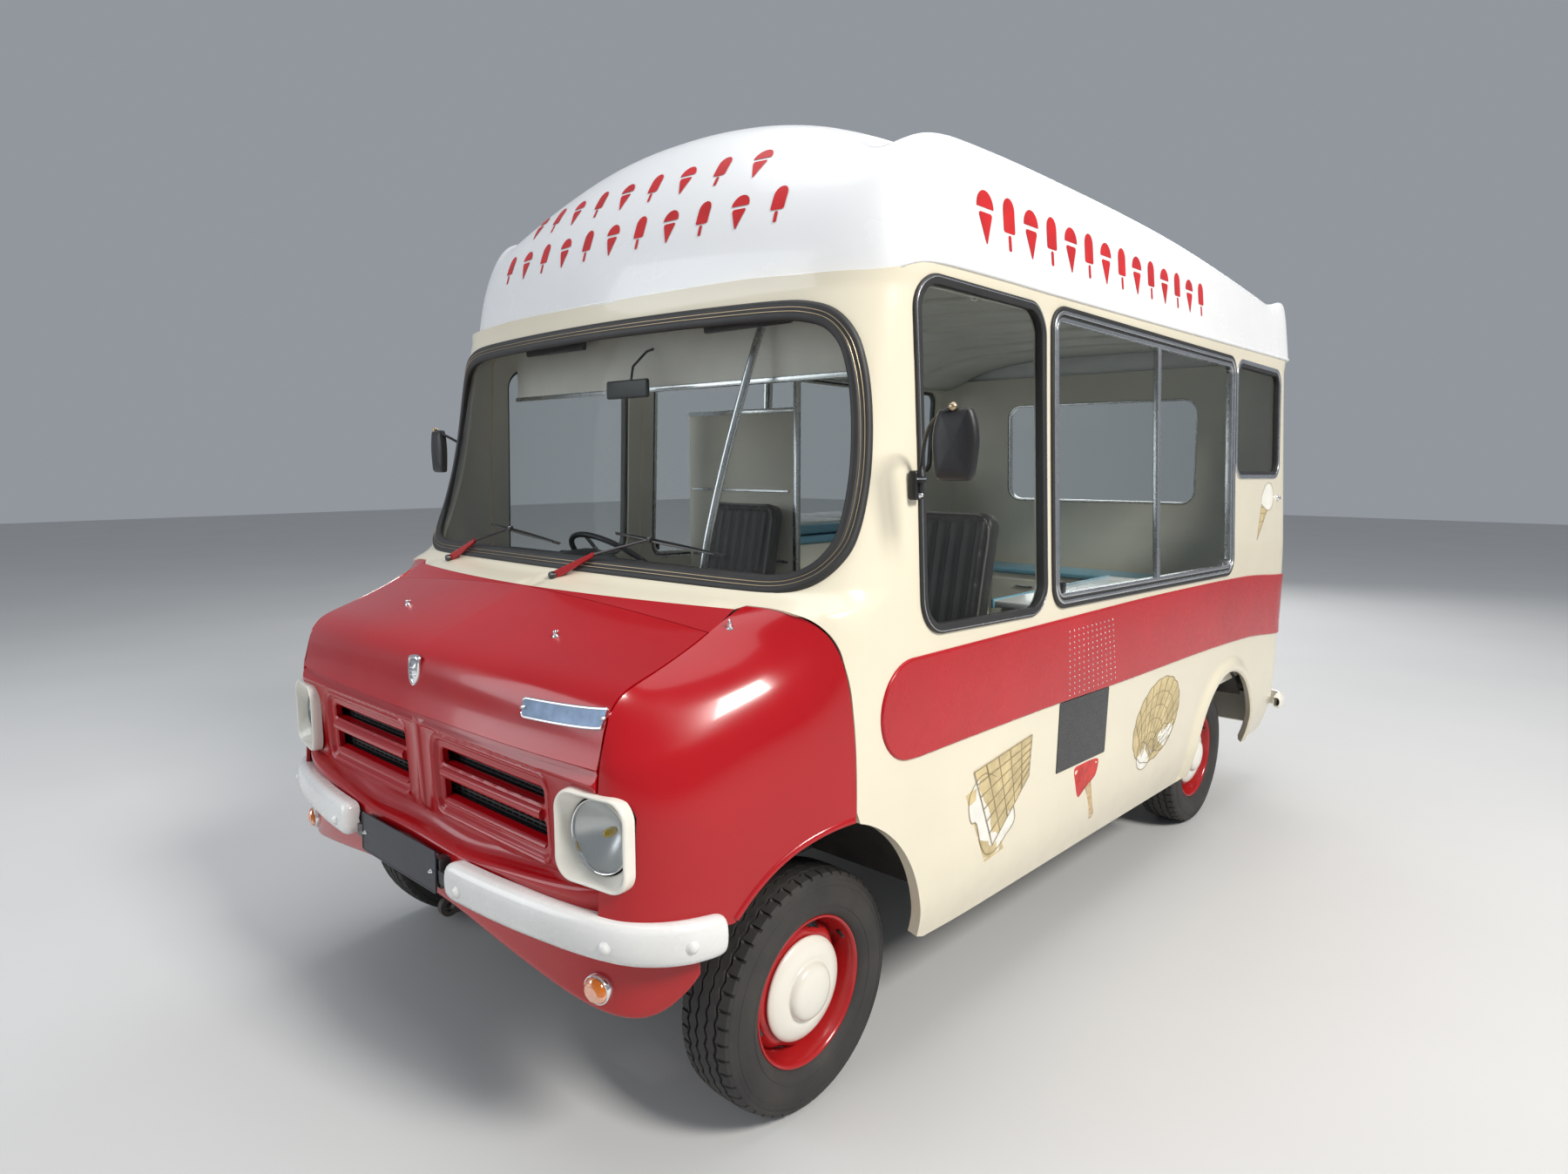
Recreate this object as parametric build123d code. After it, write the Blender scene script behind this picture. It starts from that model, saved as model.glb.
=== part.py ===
from build123d import *
import math
import os

# Ice cream truck: a short-nose light van with a moulded coach body.
# +X is the vehicle's left side, the front faces -Y, +Z is up, the ground is z = 0.
# Every y below is measured from the front axle and moved by Y0 when a solid is made. Millimetres.

# ------------------------------------------------------------------ driving sizes
WHEELBASE = 2692.0
FRONT_END = -665.0          # face of the front bumper
REAR_END = 3635.0           # face of the rear bumper
Y0 = -(FRONT_END + REAR_END) / 2.0
REAR_AXLE = WHEELBASE
AXLE_Z = 312.0

TYRE_R = 312.0              # loaded radius, so the wheel stands on z = 0
TYRE_W = 185.0
RIM_R = 194.5               # flange radius of a 14 inch rim
RIM_W = 139.0
BEAD_R = 178.0
X_WHEEL = {"front": 817.0, "rear": 840.0}   # centre plane of each wheel
KINGPIN_X = 730.0
STEER_DEG = 32.0

WALL = 40.0                 # body wall, inner lining included
BODY_REAR = 3560.0
STEP_Z = 2120.0             # joint between the cream body and the white roof moulding
SILL = ((-200, 368), (3800, 288))   # lower edge of the body, two (y, z) points
FLOOR_Z = 600.0
FLOOR_T = 30.0
# red side band: its lower and upper edge, (y, z)
BAND_LOW = [(0, 901), (900, 893), (1500, 877), (2370, 862), (2930, 842), (3576, 790), (3700, 788)]
BAND_TOP = [(0, 1163), (1500, 1161), (2320, 1150), (2870, 1136), (3550, 1094), (3700, 1092)]
DOOR = (256.0, 1004.0, 440.0, 2075.0)   # driver's door opening: y0, y1, z0, z1
DOOR_GAP = (8.0, 10.0, 8.0)          # front, rear, top and bottom
BONNET_X = 760.0            # bonnet shut line
BONNET_REAR = -228.0
BONNET_HINGE_Z = 1276.0
SKIN = 24.0                 # front-end panel thickness with its flanges

RAIL_X, RAIL_W, RAIL_Z = 430.0, 60.0, (420.0, 540.0)


# ------------------------------------------------------------------ helpers
def box(x0, x1, y0, y1, z0, z1):
    return Pos((x0 + x1) / 2, (y0 + y1) / 2 + Y0, (z0 + z1) / 2) * Box(abs(x1 - x0), abs(y1 - y0), abs(z1 - z0))


def cyl_x(r, x0, x1, y, z):
    return Pos((x0 + x1) / 2, y + Y0, z) * Rot(0, 90, 0) * Cylinder(r, abs(x1 - x0))


def cyl_y(r, y0, y1, x, z):
    return Pos(x, (y0 + y1) / 2 + Y0, z) * Rot(90, 0, 0) * Cylinder(r, abs(y1 - y0))


def cyl_z(r, z0, z1, x, y):
    return Pos(x, y + Y0, (z0 + z1) / 2) * Cylinder(r, abs(z1 - z0))


def rod(r, p, q):
    """Round bar from p to q."""
    a, b = Vector(p[0], p[1] + Y0, p[2]), Vector(q[0], q[1] + Y0, q[2])
    return Plane(origin=(a + b) / 2, z_dir=(b - a)) * Cylinder(r, (b - a).length)


def prism_x(points, x0, x1):
    """Closed outline of (y, z) points carried from x0 to x1."""
    wire = Polyline(*[(x0, y + Y0, z) for y, z in points], close=True)
    return extrude(make_face(wire), amount=x1 - x0, dir=(1, 0, 0))


def prism_z(points, z0, z1):
    wire = Polyline(*[(x, y + Y0, z0) for x, y in points], close=True)
    return extrude(make_face(wire), amount=z1 - z0, dir=(0, 0, 1))


def prism_y(points, y0, y1):
    wire = Polyline(*[(x, y0 + Y0, z) for x, z in points], close=True)
    return extrude(make_face(wire), amount=y1 - y0, dir=(0, 1, 0))


def window_x(y0, y1, z0, z1, r, x0, x1):
    """Rounded rectangle in the side of the body, carried from x0 to x1."""
    face = Plane(origin=(x0, (y0 + y1) / 2 + Y0, (z0 + z1) / 2), x_dir=(0, 1, 0), z_dir=(1, 0, 0)) * RectangleRounded(y1 - y0, z1 - z0, r)
    return extrude(face, amount=x1 - x0, dir=(1, 0, 0))


def window_y(x0, x1, z0, z1, r, y0, y1):
    face = Plane(origin=((x0 + x1) / 2, y0 + Y0, (z0 + z1) / 2), x_dir=(1, 0, 0), z_dir=(0, -1, 0)) * RectangleRounded(x1 - x0, z1 - z0, r)
    return extrude(face, amount=y1 - y0, dir=(0, 1, 0))


def mirror_pair(solid):
    return [solid, mirror(solid, about=Plane.YZ)]


def save(name, *solids):
    flat = []
    for s in solids:
        for t in (s if isinstance(s, (list, tuple)) else [s]):
            flat += t.solids()
    shape = flat[0] if len(flat) == 1 else Compound(children=flat)
    shape.label = name
    print(name, len(flat), round(sum(t.volume for t in flat)))
    export_step(shape, f"parts/{name}.step")


os.makedirs("parts", exist_ok=True)

# ------------------------------------------------------------------ body envelope
# Plan sections of the coach body. Columns: z, y of the front at the centre line, x and y of the end of
# the front arc, half width of the side, y where the side starts, y of the rear face, rear corner radius.
CAB = [
    (1262, -232, 850, -134, 1026, 70, 3560, 130),
    (1297, -228, 850, -130, 1023.5, 100, 3559, 130),
    (1338, -120, 850, -48, 1021.5, 160, 3558.5, 130),
    (2030, 58, 740, 98, 990, 322, 3522, 130),
    (2120, 88, 740, 122, 984, 330, 3516, 130),
]
# Plan sections below the waist: z, half width, y of the front edge, y of the rear face, rear corner radius.
LOWER = [
    (280, 976, -20, 3478, 120),
    (470, 1026, -20, 3548, 130),
    (1120, 1031, -20, 3562, 130),
    (1262, 1026, -20, 3560, 130),
]


def cab_section(z, yc, xk, yk, xs, ys, yr, rr, off):
    """One plan section, moved inwards by off."""
    xs, yc, yk, yr, ys = xs - off, yc + off, yk + off, yr - off, ys + 0.35 * off
    xk = xk - 0.35 * off
    rr = max(rr - off, 20)
    xm, ym = xk + 0.70 * (xs - xk), yk + 0.30 * (ys - yk)
    c = rr * (1 - math.sqrt(0.5))

    def p(x, y):
        return (x, y + Y0, z)

    edges = [
        ThreePointArc(p(-xk, yk), p(0, yc), p(xk, yk)),
        ThreePointArc(p(xk, yk), p(xm, ym), p(xs, ys)),
        Line(p(xs, ys), p(xs, yr - rr)),
        ThreePointArc(p(xs, yr - rr), p(xs - c, yr - c), p(xs - rr, yr)),
        Line(p(xs - rr, yr), p(-xs + rr, yr)),
        ThreePointArc(p(-xs + rr, yr), p(-xs + c, yr - c), p(-xs, yr - rr)),
        Line(p(-xs, yr - rr), p(-xs, ys)),
        ThreePointArc(p(-xs, ys), p(-xm, ym), p(-xk, yk)),
    ]
    return make_face(Wire(edges))


def lower_section(z, xs, yf, yr, rr, off):
    xs, yr, rr = xs - off, yr - off, max(rr - off, 20)
    yf = yf - (80 if off > 0 else 0)       # the lower walls are open to the front
    c = rr * (1 - math.sqrt(0.5))

    def p(x, y):
        return (x, y + Y0, z)

    edges = [
        Line(p(-xs, yf), p(xs, yf)),
        Line(p(xs, yf), p(xs, yr - rr)),
        ThreePointArc(p(xs, yr - rr), p(xs - c, yr - c), p(xs - rr, yr)),
        Line(p(xs - rr, yr), p(-xs + rr, yr)),
        ThreePointArc(p(-xs + rr, yr), p(-xs + c, yr - c), p(-xs, yr - rr)),
        Line(p(-xs, yr - rr), p(-xs, yf)),
    ]
    return make_face(Wire(edges))


_cache = {}


def stretch(rows, dz0, dz1):
    """The table with its first and last rows carried on by dz0 and dz1 along the end slopes."""
    rows = [list(r) for r in rows]
    a, b = rows[0], rows[1]
    k = dz0 / (b[0] - a[0])
    first = [v + (v - w) * k for v, w in zip(a, b)]
    a, b = rows[-1], rows[-2]
    k = dz1 / (a[0] - b[0])
    last = [v + (v - w) * k for v, w in zip(a, b)]
    first[-1], last[-1] = rows[0][-1], rows[-1][-1]
    return [first] + rows[1:-1] + [last]


def cab(off, dz=0.0):
    """Solid inside the cab envelope moved in by off; dz carries both ends on, for cutting."""
    key = ("cab", off, dz)
    if key not in _cache:
        rows = stretch(CAB, dz, dz) if dz else CAB
        _cache[key] = loft([cab_section(*r, off) for r in rows], ruled=True)
    return _cache[key]


def lower(off, dz=0.0):
    key = ("lower", off, dz)
    if key not in _cache:
        rows = stretch(LOWER, dz, dz) if dz else LOWER
        _cache[key] = loft([lower_section(*r, off) for r in rows], ruled=True)
    return _cache[key]


def skin(outer, inner):
    """The upper body's wall between two offsets."""
    return cab(outer) - cab(inner, 30)


# The sides and the rear lean inwards as flat planes from the waist up: position = at z 1350, minus lean.
SIDE_LEAN = (1021.0, 31.0 / 680.0)
REAR_LEAN = (3558.0, 36.0 / 680.0)


def side_slab(side, outer, inner):
    """Flat leaning slab in the side wall, between two depths in from its face."""
    def x(z, d):
        return side * (SIDE_LEAN[0] - (z - 1350) * SIDE_LEAN[1] - d)
    return prism_y([(x(1100, outer), 1100), (x(2200, outer), 2200), (x(2200, inner), 2200), (x(1100, inner), 1100)], 200, 3400)


def rear_slab(outer, inner):
    def y(z, d):
        return REAR_LEAN[0] - (z - 1350) * REAR_LEAN[1] - d
    return prism_x([(y(1300, outer), 1300), (y(2100, outer), 2100), (y(2100, inner), 2100), (y(1300, inner), 1300)], -700, 700)


# ------------------------------------------------------------------ openings
WS = [(-958, 1345), (958, 1345), (872, 2026), (-872, 2026)]   # windscreen aperture, (x, z)


def windscreen_prism(grow, y0=-420, y1=420):
    """Windscreen aperture carried along y, with its corners rounded; grow moves its edge outwards."""
    g = grow
    pts = [(-958 - g, 1345 - g), (958 + g, 1345 - g), (872 + g, 2026 + g), (-872 - g, 2026 + g)]
    face = make_face(Polyline(*[(x, y0 + Y0, z) for x, z in pts], close=True))
    body = extrude(face, amount=y1 - y0, dir=(0, 1, 0))
    return fillet(body.edges().filter_by(Axis.Y), 120 + g)


# Side windows. Columns: name, y0, y1, z0, z1, corner radius, sides it is on (+1 left, -1 right).
SIDE_WINDOWS = [
    ("tall", 270, 920, 1222, 2098, 85, (1,)),
    ("serving", 982, 2660, 1192, 2098, 62, (1,)),
    ("serving", 1066, 2660, 1192, 2098, 62, (-1,)),
    ("rear", 2705, 3330, 1592, 2085, 62, (1, -1)),
]
FRAME_W = 34.0


def side_window_cut(side, grow=0.0):
    out = []
    for name, y0, y1, z0, z1, r, sides in SIDE_WINDOWS:
        if side in sides:
            x0, x1 = (900, 1100) if side > 0 else (-1100, -900)
            out.append(window_x(y0 - grow, y1 + grow, z0 - grow, z1 + grow, r + grow, x0, x1))
    return out


# ------------------------------------------------------------------ wheel arches
WING_ARCH = (0.0, 385.0, 412.0)         # y, z, r of the opening in the front wing
FRONT_ARCH = (-115.0, 400.0, 411.0)     # the same in the coach body behind it
REAR_ARCH = (REAR_AXLE + 22.0, 330.0, 385.0)
arch_cuts = [cyl_x(FRONT_ARCH[2], -1200, 1200, FRONT_ARCH[0], FRONT_ARCH[1]), cyl_x(REAR_ARCH[2], -1200, 1200, REAR_ARCH[0], REAR_ARCH[1])]

# ------------------------------------------------------------------ body panels
upper_wall = skin(0, WALL)
lower_wall = lower(0) - lower(WALL, 30) - prism_x([(-200, 200), (3800, 200), SILL[1], SILL[0]], -1200, 1200)
SEAM_Y = 256.0              # joint between the front moulding and each side panel
REAR_SEAM = 3395.0

ws_hole = windscreen_prism(0)
front_moulding = (upper_wall & box(-1200, 1200, -600, SEAM_Y, 1200, 2200)) - ws_hole
# the cowl's floor under the windscreen
cowl = cab(WALL - 2) & box(-1200, 1200, -400, 40, 1262, 1288)
front_moulding = front_moulding + cowl
for s in (1, -1):
    x0, x1 = (900, 1200) if s > 0 else (-1200, -900)
    front_moulding = front_moulding + ((lower_wall & box(x0, x1, -20, SEAM_Y, 300, 1262)) - arch_cuts[0])
# driver's side of the moulding stops above the door opening's front edge
door_cut = box(-1200, -800, DOOR[0], DOOR[1], DOOR[2], DOOR[3])
front_moulding = front_moulding - door_cut
for z0, z1 in ((658, 690), (1124, 1156)):   # fixed barrel of each door hinge
    front_moulding = front_moulding + cyl_z(9, z0, z1, -1041, DOOR[0] + 2) + box(-1041, -1006, 200, 252, z0, z1)
save("front_moulding", front_moulding)

side_zone = {
    1: box(500, 1200, SEAM_Y, REAR_SEAM, 1261, 2200),
    -1: box(-1200, -500, SEAM_Y, REAR_SEAM, 1261, 2200),
}
low_zone = {
    1: box(700, 1200, SEAM_Y, REAR_SEAM, 250, 1262),
    -1: box(-1200, -700, SEAM_Y, REAR_SEAM, 250, 1262),
}
for side, name in ((1, "side_panel_left"), (-1, "side_panel_right")):
    panel = (upper_wall & side_zone[side]) + (lower_wall & low_zone[side])
    for cut in arch_cuts + side_window_cut(side):
        panel = panel - cut
    if side < 0:
        panel = panel - door_cut
    panel = panel - (box(900, 1100, SEAM_Y, REAR_SEAM, 2098, 2200) if side > 0 else box(-1100, -900, SEAM_Y, REAR_SEAM, 2098, 2200) + box(-1100, -900, SEAM_Y, DOOR[1], DOOR[3], 2200))
    save(name, panel)

# rails along the top of each side, over the windows and the driver's door, with a short curved piece at the front
CORNER_Y = 332.0
rails = [upper_wall & box(900, 1100, a, b, 2098, 2120) for a, b in ((SEAM_Y, CORNER_Y), (CORNER_Y, REAR_SEAM))]
rails += [upper_wall & box(-1100, -900, a, b, z, 2120) for a, b, z in ((SEAM_Y, CORNER_Y, DOOR[3]), (CORNER_Y, DOOR[1], DOOR[3]), (DOOR[1], REAR_SEAM, 2098))]
save("roof_rails", rails)

rear = (upper_wall & box(-1200, 1200, REAR_SEAM, 3700, 1261, 2200)) + (lower_wall & box(-1200, 1200, REAR_SEAM, 3700, 250, 1262))
REAR_WINDOW = (-560.0, 560.0, 1420.0, 1990.0, 80.0)
rear = rear - window_y(*REAR_WINDOW, 3300, 3700)
save("rear_panel", rear)

# ------------------------------------------------------------------ roof moulding
# Plan sections of the dome over the cab. Columns: z, front y at the centre, x and y of the arc's end,
# half width, y where the side starts, y of the back, back corner radius.
DOME = [
    (2120, 74, 740, 110, 994, 322, 2300, 130),
    (2330, 118, 720, 170, 940, 400, 2060, 200),
    (2520, 226, 640, 300, 845, 540, 1760, 220),
    (2650, 380, 500, 450, 690, 640, 1450, 240),
    (2735, 620, 250, 660, 400, 780, 1120, 200),
]
dome_out = loft([cab_section(*r, 0) for r in DOME], ruled=True)
dome_rows = [list(r) for r in DOME]
dome_rows[0][0] -= 40
dome_in = loft([cab_section(*([r[0] - (34 if i == 4 else 8)] + list(r[1:])), 38) for i, r in enumerate(dome_rows)], ruled=True)
# Deck behind the dome: a box with a cambered top.
def deck(xh, z_low, z_side, z_mid, y0, y1):
    edges = [
        Line((-xh, y0 + Y0, z_low), (xh, y0 + Y0, z_low)),
        Line((xh, y0 + Y0, z_low), (xh, y0 + Y0, z_side)),
        ThreePointArc((xh, y0 + Y0, z_side), (0, y0 + Y0, z_mid), (-xh, y0 + Y0, z_side)),
        Line((-xh, y0 + Y0, z_side), (-xh, y0 + Y0, z_low)),
    ]
    return extrude(make_face(Wire(edges)), amount=y1 - y0, dir=(0, 1, 0))


deck_out = deck(940, 2120, 2300, 2400, 900, 3505)
deck_in = deck(902, 2080, 2262, 2362, 938, 3467)
# Raised fascia along each side and its top edge. (y, z)
FASCIA_TOP = [(300, 2120), (296, 2400), (330, 2452), (420, 2468), (1900, 2462), (2500, 2424), (3000, 2362), (3300, 2352), (3440, 2366), (3512, 2408), (3518, 2120)]
fascia = []
for s in (1, -1):
    wall = prism_x(FASCIA_TOP, 900 if s > 0 else -1000, 1000 if s > 0 else -900)
    lean_out = [(994, 2120), (962, 2480), (922, 2480), (944, 2120)]
    if s < 0:
        lean_out = [(-x, z) for x, z in lean_out]
    fascia.append(wall & prism_y(lean_out, 200, 3600))
rear_edge = prism_y([(-960, 2120), (960, 2120), (955, 2330), (-955, 2330)], 3478, 3516)
roof = dome_out + deck_out + fascia[0] + fascia[1] + rear_edge
roof = roof - dome_in - deck_in
save("roof_moulding", roof)

# ------------------------------------------------------------------ floor, scuttle, wheel boxes
floor_pts = [(-528, 10), (-300, 10), (-300, 330), (300, 330), (300, 10), (528, 10), (528, 384), (984, 384), (984, 3370), (880, 3500), (-880, 3500), (-984, 3370), (-984, 384), (-528, 384)]
floor = prism_z(floor_pts, FLOOR_Z - FLOOR_T, FLOOR_Z)


def arch_box(ya, za, r_in, t, x_in, x_out, z_low, y_lo, y_hi):
    """Curved inner arch with its inboard wall; z_low is its lower edge."""
    shell = cyl_x(r_in + t, x_in - t, x_out, ya, za) - cyl_x(r_in, x_in, x_out + 50, ya, za)
    return shell & box(x_in - t - 5, x_out + 5, y_lo, y_hi, z_low, za + r_in + t + 5)


rear_box = arch_box(REAR_AXLE + 15, 320, 400, 14, 660, 984, 545, REAR_AXLE - 600, REAR_AXLE + 600)
save("rear_wheel_boxes", mirror_pair(rear_box))
for s in (1, -1):
    floor = floor - cyl_x(414.5, s * 645.5, s * 1000, REAR_AXLE + 15, 320)
save("floor", floor)

# scuttle: the wall between the engine bay and the cab, with the front inner arches behind it
scuttle = box(-984, 984, -22, 8, 700, 1235) + box(-531, 531, -22, 8, 540, 702)
scuttle = scuttle - box(-272, 272, -60, 60, 500, 870)
for s in (1, -1):
    scuttle = scuttle - cyl_x(462, s * 531, s * 1000, -40, 352)
front_box = arch_box(-40, 352, 462, 14, 546, 984, 470, -22, 600)
for part in mirror_pair(front_box):
    scuttle = scuttle + part
SCUTTLE = scuttle

cover = box(-294, 294, 9, 328, 571, 900) - box(-272, 272, -60, 306, 500, 878)
save("engine_cover", cover)

# ------------------------------------------------------------------ side trim
band_solid = []
outer_low = lower(-7)
for s in (1, -1):
    x0, x1 = (985, 1100) if s > 0 else (-1100, -985)
    y_front = 90.0 if s > 0 else DOOR[1] + 14
    strip = prism_x(BAND_LOW + BAND_TOP[::-1], x0, x1)
    if s > 0:
        r = 131.0                  # its front end is a half round
        strip = (strip & box(x0, x1, y_front + r, 3700, 700, 1300)) + cyl_x(r, x0, x1, y_front + r, 1032)
    else:
        strip = strip & box(x0, x1, y_front, 3700, 700, 1300)
    band_solid.append((outer_low - lower(-0.4, 1)) & strip)
save("side_bands", band_solid)


# ------------------------------------------------------------------ glazing
ws_ring = skin(-9, 30) & (windscreen_prism(12) - windscreen_prism(-26))
save("windscreen_seal", ws_ring - (skin(0.0, WALL) - windscreen_prism(0)))
save("windscreen", skin(6, 12) & windscreen_prism(-26))

frames, panes = [], []
for side in (1, -1):
    x0, x1 = (900, 1100) if side > 0 else (-1100, -900)
    for name, y0, y1, z0, z1, r, sides in SIDE_WINDOWS:
        if side not in sides:
            continue
        hole = window_x(y0, y1, z0, z1, r, x0, x1)
        inner = window_x(y0 + FRAME_W, y1 - FRAME_W, z0 + FRAME_W, z1 - FRAME_W, r - 22, x0, x1)
        ring = side_slab(side, -6, 30) & (hole - inner)
        if name == "serving":
            mid = (y0 + y1) / 2 + 10
            bar = box(x0, x1, mid - 14, mid + 14, z0 + FRAME_W - 4, z1 - FRAME_W + 4) & side_slab(side, -6, 30)
            ring = ring + bar
            panes += [side_slab(side, 8, 13) & (inner & cut) for cut in (box(x0, x1, y0, mid - 14, z0, z1), box(x0, x1, mid + 14, y1, z0, z1))]
        else:
            panes.append(side_slab(side, 8, 13) & inner)
        frames.append(ring)
rw = REAR_WINDOW
rw_in = window_y(rw[0] + 28, rw[1] - 28, rw[2] + 28, rw[3] - 28, rw[4] - 20, 3300, 3700)
frames.append((window_y(*rw, 3300, 3700) - rw_in) & rear_slab(-6, 30))
panes.append(rw_in & rear_slab(8, 13))
save("window_frames", frames)
save("window_glass", panes)

# ------------------------------------------------------------------ driver's door
gf, gr, gz = DOOR_GAP
door_zone = box(-1200, -800, DOOR[0] + gf, DOOR[1] - gr, DOOR[2] + gz, DOOR[3] - gz)
door_panel = (upper_wall & door_zone) + (lower_wall & door_zone)
door_panel = door_panel - cyl_x(FRONT_ARCH[2] + 20, -1200, -800, FRONT_ARCH[0], FRONT_ARCH[1])
DOOR_WINDOW = (332.0, 928.0, 1240.0, 2010.0, 80.0)
dw = DOOR_WINDOW
door_hole = window_x(*dw, -1200, -800)
handle = box(-1066, -1050, 846, 966, 1172, 1192) + box(-1052, -1024, 852, 868, 1172, 1192) + box(-1052, -1024, 944, 960, 1172, 1192)
HINGE_X, HINGE_R = -1041.0, 9.0
hinge_z = [(620, 656), (1086, 1122)]      # one door barrel at each hinge
for z0, z1 in hinge_z:
    handle = handle + cyl_z(HINGE_R, z0, z1, HINGE_X, DOOR[0] + 2) + box(-1041, -1006, 262, 312, z0, z1)
door_panel = (door_panel - door_hole) + handle
save("driver_door", door_panel)
dw_in = window_x(dw[0] + 24, dw[1] - 24, dw[2] + 24, dw[3] - 24, dw[4] - 16, -1200, -800)
save("door_window_frame", side_slab(-1, -5, 28) & (door_hole - dw_in))
save("door_glass", side_slab(-1, 8, 13) & dw_in)

# ------------------------------------------------------------------ front end
# Plan sections of the nose. Columns: z, front y at the centre, x and y of the arc's end, half width at the
# front corner, y of that corner's end, half width at the rear edge, y of the rear edge.
NOSE = [
    (455, -606, 740, -566, 905, -410, 1000, -24),
    (690, -606, 740, -566, 912, -410, 1010, -24),
    (700, -590, 740, -548, 915, -400, 1012, -24),
    (1130, -590, 735, -548, 872, -420, 1000, -24),
    (1330, -590, 700, -548, 800, -400, 850, -24),
]


def nose_section(z, yc, xk, yk, xc, yc2, xr, yr, off):
    yc, yk, xc, xr = yc + off, yk + off, xc - off, xr - off
    xk = xk - 0.3 * off
    yc2 = yc2 + 0.3 * off
    xm, ym = xk + 0.72 * (xc - xk), yk + 0.28 * (yc2 - yk)

    def p(x, y):
        return (x, y + Y0, z)

    edges = [
        ThreePointArc(p(-xk, yk), p(0, yc), p(xk, yk)),
        ThreePointArc(p(xk, yk), p(xm, ym), p(xc, yc2)),
        Line(p(xc, yc2), p(xr, yr)),
        Line(p(xr, yr), p(-xr, yr)),
        Line(p(-xr, yr), p(-xc, yc2)),
        ThreePointArc(p(-xc, yc2), p(-xm, ym), p(-xk, yk)),
    ]
    return make_face(Wire(edges))


# Side profile of the nose (y, z), front face from the bottom, then over the top.
NOSE_PROFILE = [(-596, 505), (-600, 690), (-560, 700), (-586, 1000), (-572, 1120), (-556, 1148), (-240, 1296), (-24, 1300), (0, 1300), (0, 505)]


def nose(off):
    rows = [list(r) for r in NOSE]
    if off:
        rows[0][0] -= 30
        rows[-1][0] += 30
    body = loft([nose_section(*r, off) for r in rows], ruled=True)
    prof = list(NOSE_PROFILE)
    if off:
        prof = [(-596 + off, 400), (-600 + off, 700), (-560 + off, 710), (-586 + off, 995), (-572 + off, 1120 - off * 0.4), (-556 + off * 0.7, 1148 - off), (-240, 1296 - off), (-24, 1300 - off), (60, 1300 - off), (60, 400)]
    return body & prism_x(prof, -1100, 1100)


nose_shell = nose(0) - nose(SKIN)
nose_shell = nose_shell & box(-1100, 1100, -700, -24.5, 400, 1400)
nose_shell = nose_shell - cyl_x(WING_ARCH[2], -1200, 1200, WING_ARCH[0], WING_ARCH[1])
# fixed red strip between the bonnet's straight rear edge and the bowed coach front, on a shelf off the scuttle
shelf = box(-BONNET_X + 4, BONNET_X - 4, BONNET_REAR, -20, 1232, 1257)
strip = (nose_shell & box(-BONNET_X + 4, BONNET_X - 4, BONNET_REAR, -26, 1240, 1400)) - cab(-4, 30)
SCUTTLE = SCUTTLE + shelf + strip
SCUTTLE = max(SCUTTLE.solids(), key=lambda t: t.volume)
save("scuttle", SCUTTLE)
bonnet = nose_shell & box(-BONNET_X + 4, BONNET_X - 4, -700, BONNET_REAR - 8, 1010, 1400)
save("bonnet", bonnet)

# grille panel: two recessed panels of slats either side of a centre bar
grille = nose_shell & box(-BONNET_X + 1, BONNET_X - 1, -700, -400, 700, 1002)
SLOTS = [(868, 912), (772, 838)]     # z of the two rows of slots
for s in (1, -1):
    for z0, z1 in SLOTS:
        x0, x1 = (96, 560) if s > 0 else (-560, -96)
        grille = grille - box(x0, x1, -700, -480, z0, z1)
LAMP = (758.0, 847.0)
lamp_holes = [cyl_y(104, -700, -380, s * LAMP[0], LAMP[1]) for s in (1, -1)]
for h in lamp_holes:
    grille = grille - h
save("grille_panel", grille)

wing = (nose_shell & box(BONNET_X + 1, 1100, -700, -24, 690, 1400)) - cab(-4, 30)
wing = wing - lamp_holes[0]
save("front_wings", mirror_pair(wing))

apron = nose_shell & box(-1100, 1100, -700, -26, 400, 688)
save("front_apron", apron)

# headlamps: rounded-square surround, bowl and lens, one set each side
surr, lenses = [], []
for s in (1, -1):
    x = s * LAMP[0]
    plate = window_y(x - 114, x + 114, LAMP[1] - 110, LAMP[1] + 110, 56, -612, -560)
    plate = plate - cyl_y(96, -700, -400, x, LAMP[1])
    rot = Pos(x, -560 + Y0, LAMP[1]) * Rot(0, 0, s * 12) * Pos(-x, 560 - Y0, -LAMP[1])
    plate = rot * plate
    plate = plate - nose(0)
    plate = max(plate.solids(), key=lambda t: t.volume)
    surr.append(plate)
    lenses.append(cyl_y(88, -545, -490, x, LAMP[1]) + cyl_y(70, -490, -430, x, LAMP[1]))
save("headlamp_surrounds", surr)
save("headlamps", lenses)

inds = []
for s in (1, -1):
    inds.append(cyl_y(36, -574, -545, s * 753, 506) - nose(0.0))
save("front_indicators", [max(i.solids(), key=lambda t: t.volume) for i in inds])

# bumper: two halves that wrap the corners
def bumper_half(s):
    out = [(278, -661), (520, -642), (770, -598), (905, -522), (955, -420), (958, -345)]
    inn = [(918, -345), (912, -412), (872, -488), (755, -552), (514, -594), (278, -611)]

    def p(q):
        return (s * q[0], q[1] + Y0, 588)

    edges = [
        ThreePointArc(p(out[0]), p(out[1]), p(out[2])),
        ThreePointArc(p(out[2]), p(out[3]), p(out[4])),
        Line(p(out[4]), p(out[5])),
        Line(p(out[5]), p(inn[0])),
        Line(p(inn[0]), p(inn[1])),
        ThreePointArc(p(inn[1]), p(inn[2]), p(inn[3])),
        ThreePointArc(p(inn[3]), p(inn[4]), p(inn[5])),
        Line(p(inn[5]), p(out[0])),
    ]
    return extrude(make_face(Wire(edges)), amount=97, dir=(0, 0, 1))


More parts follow.
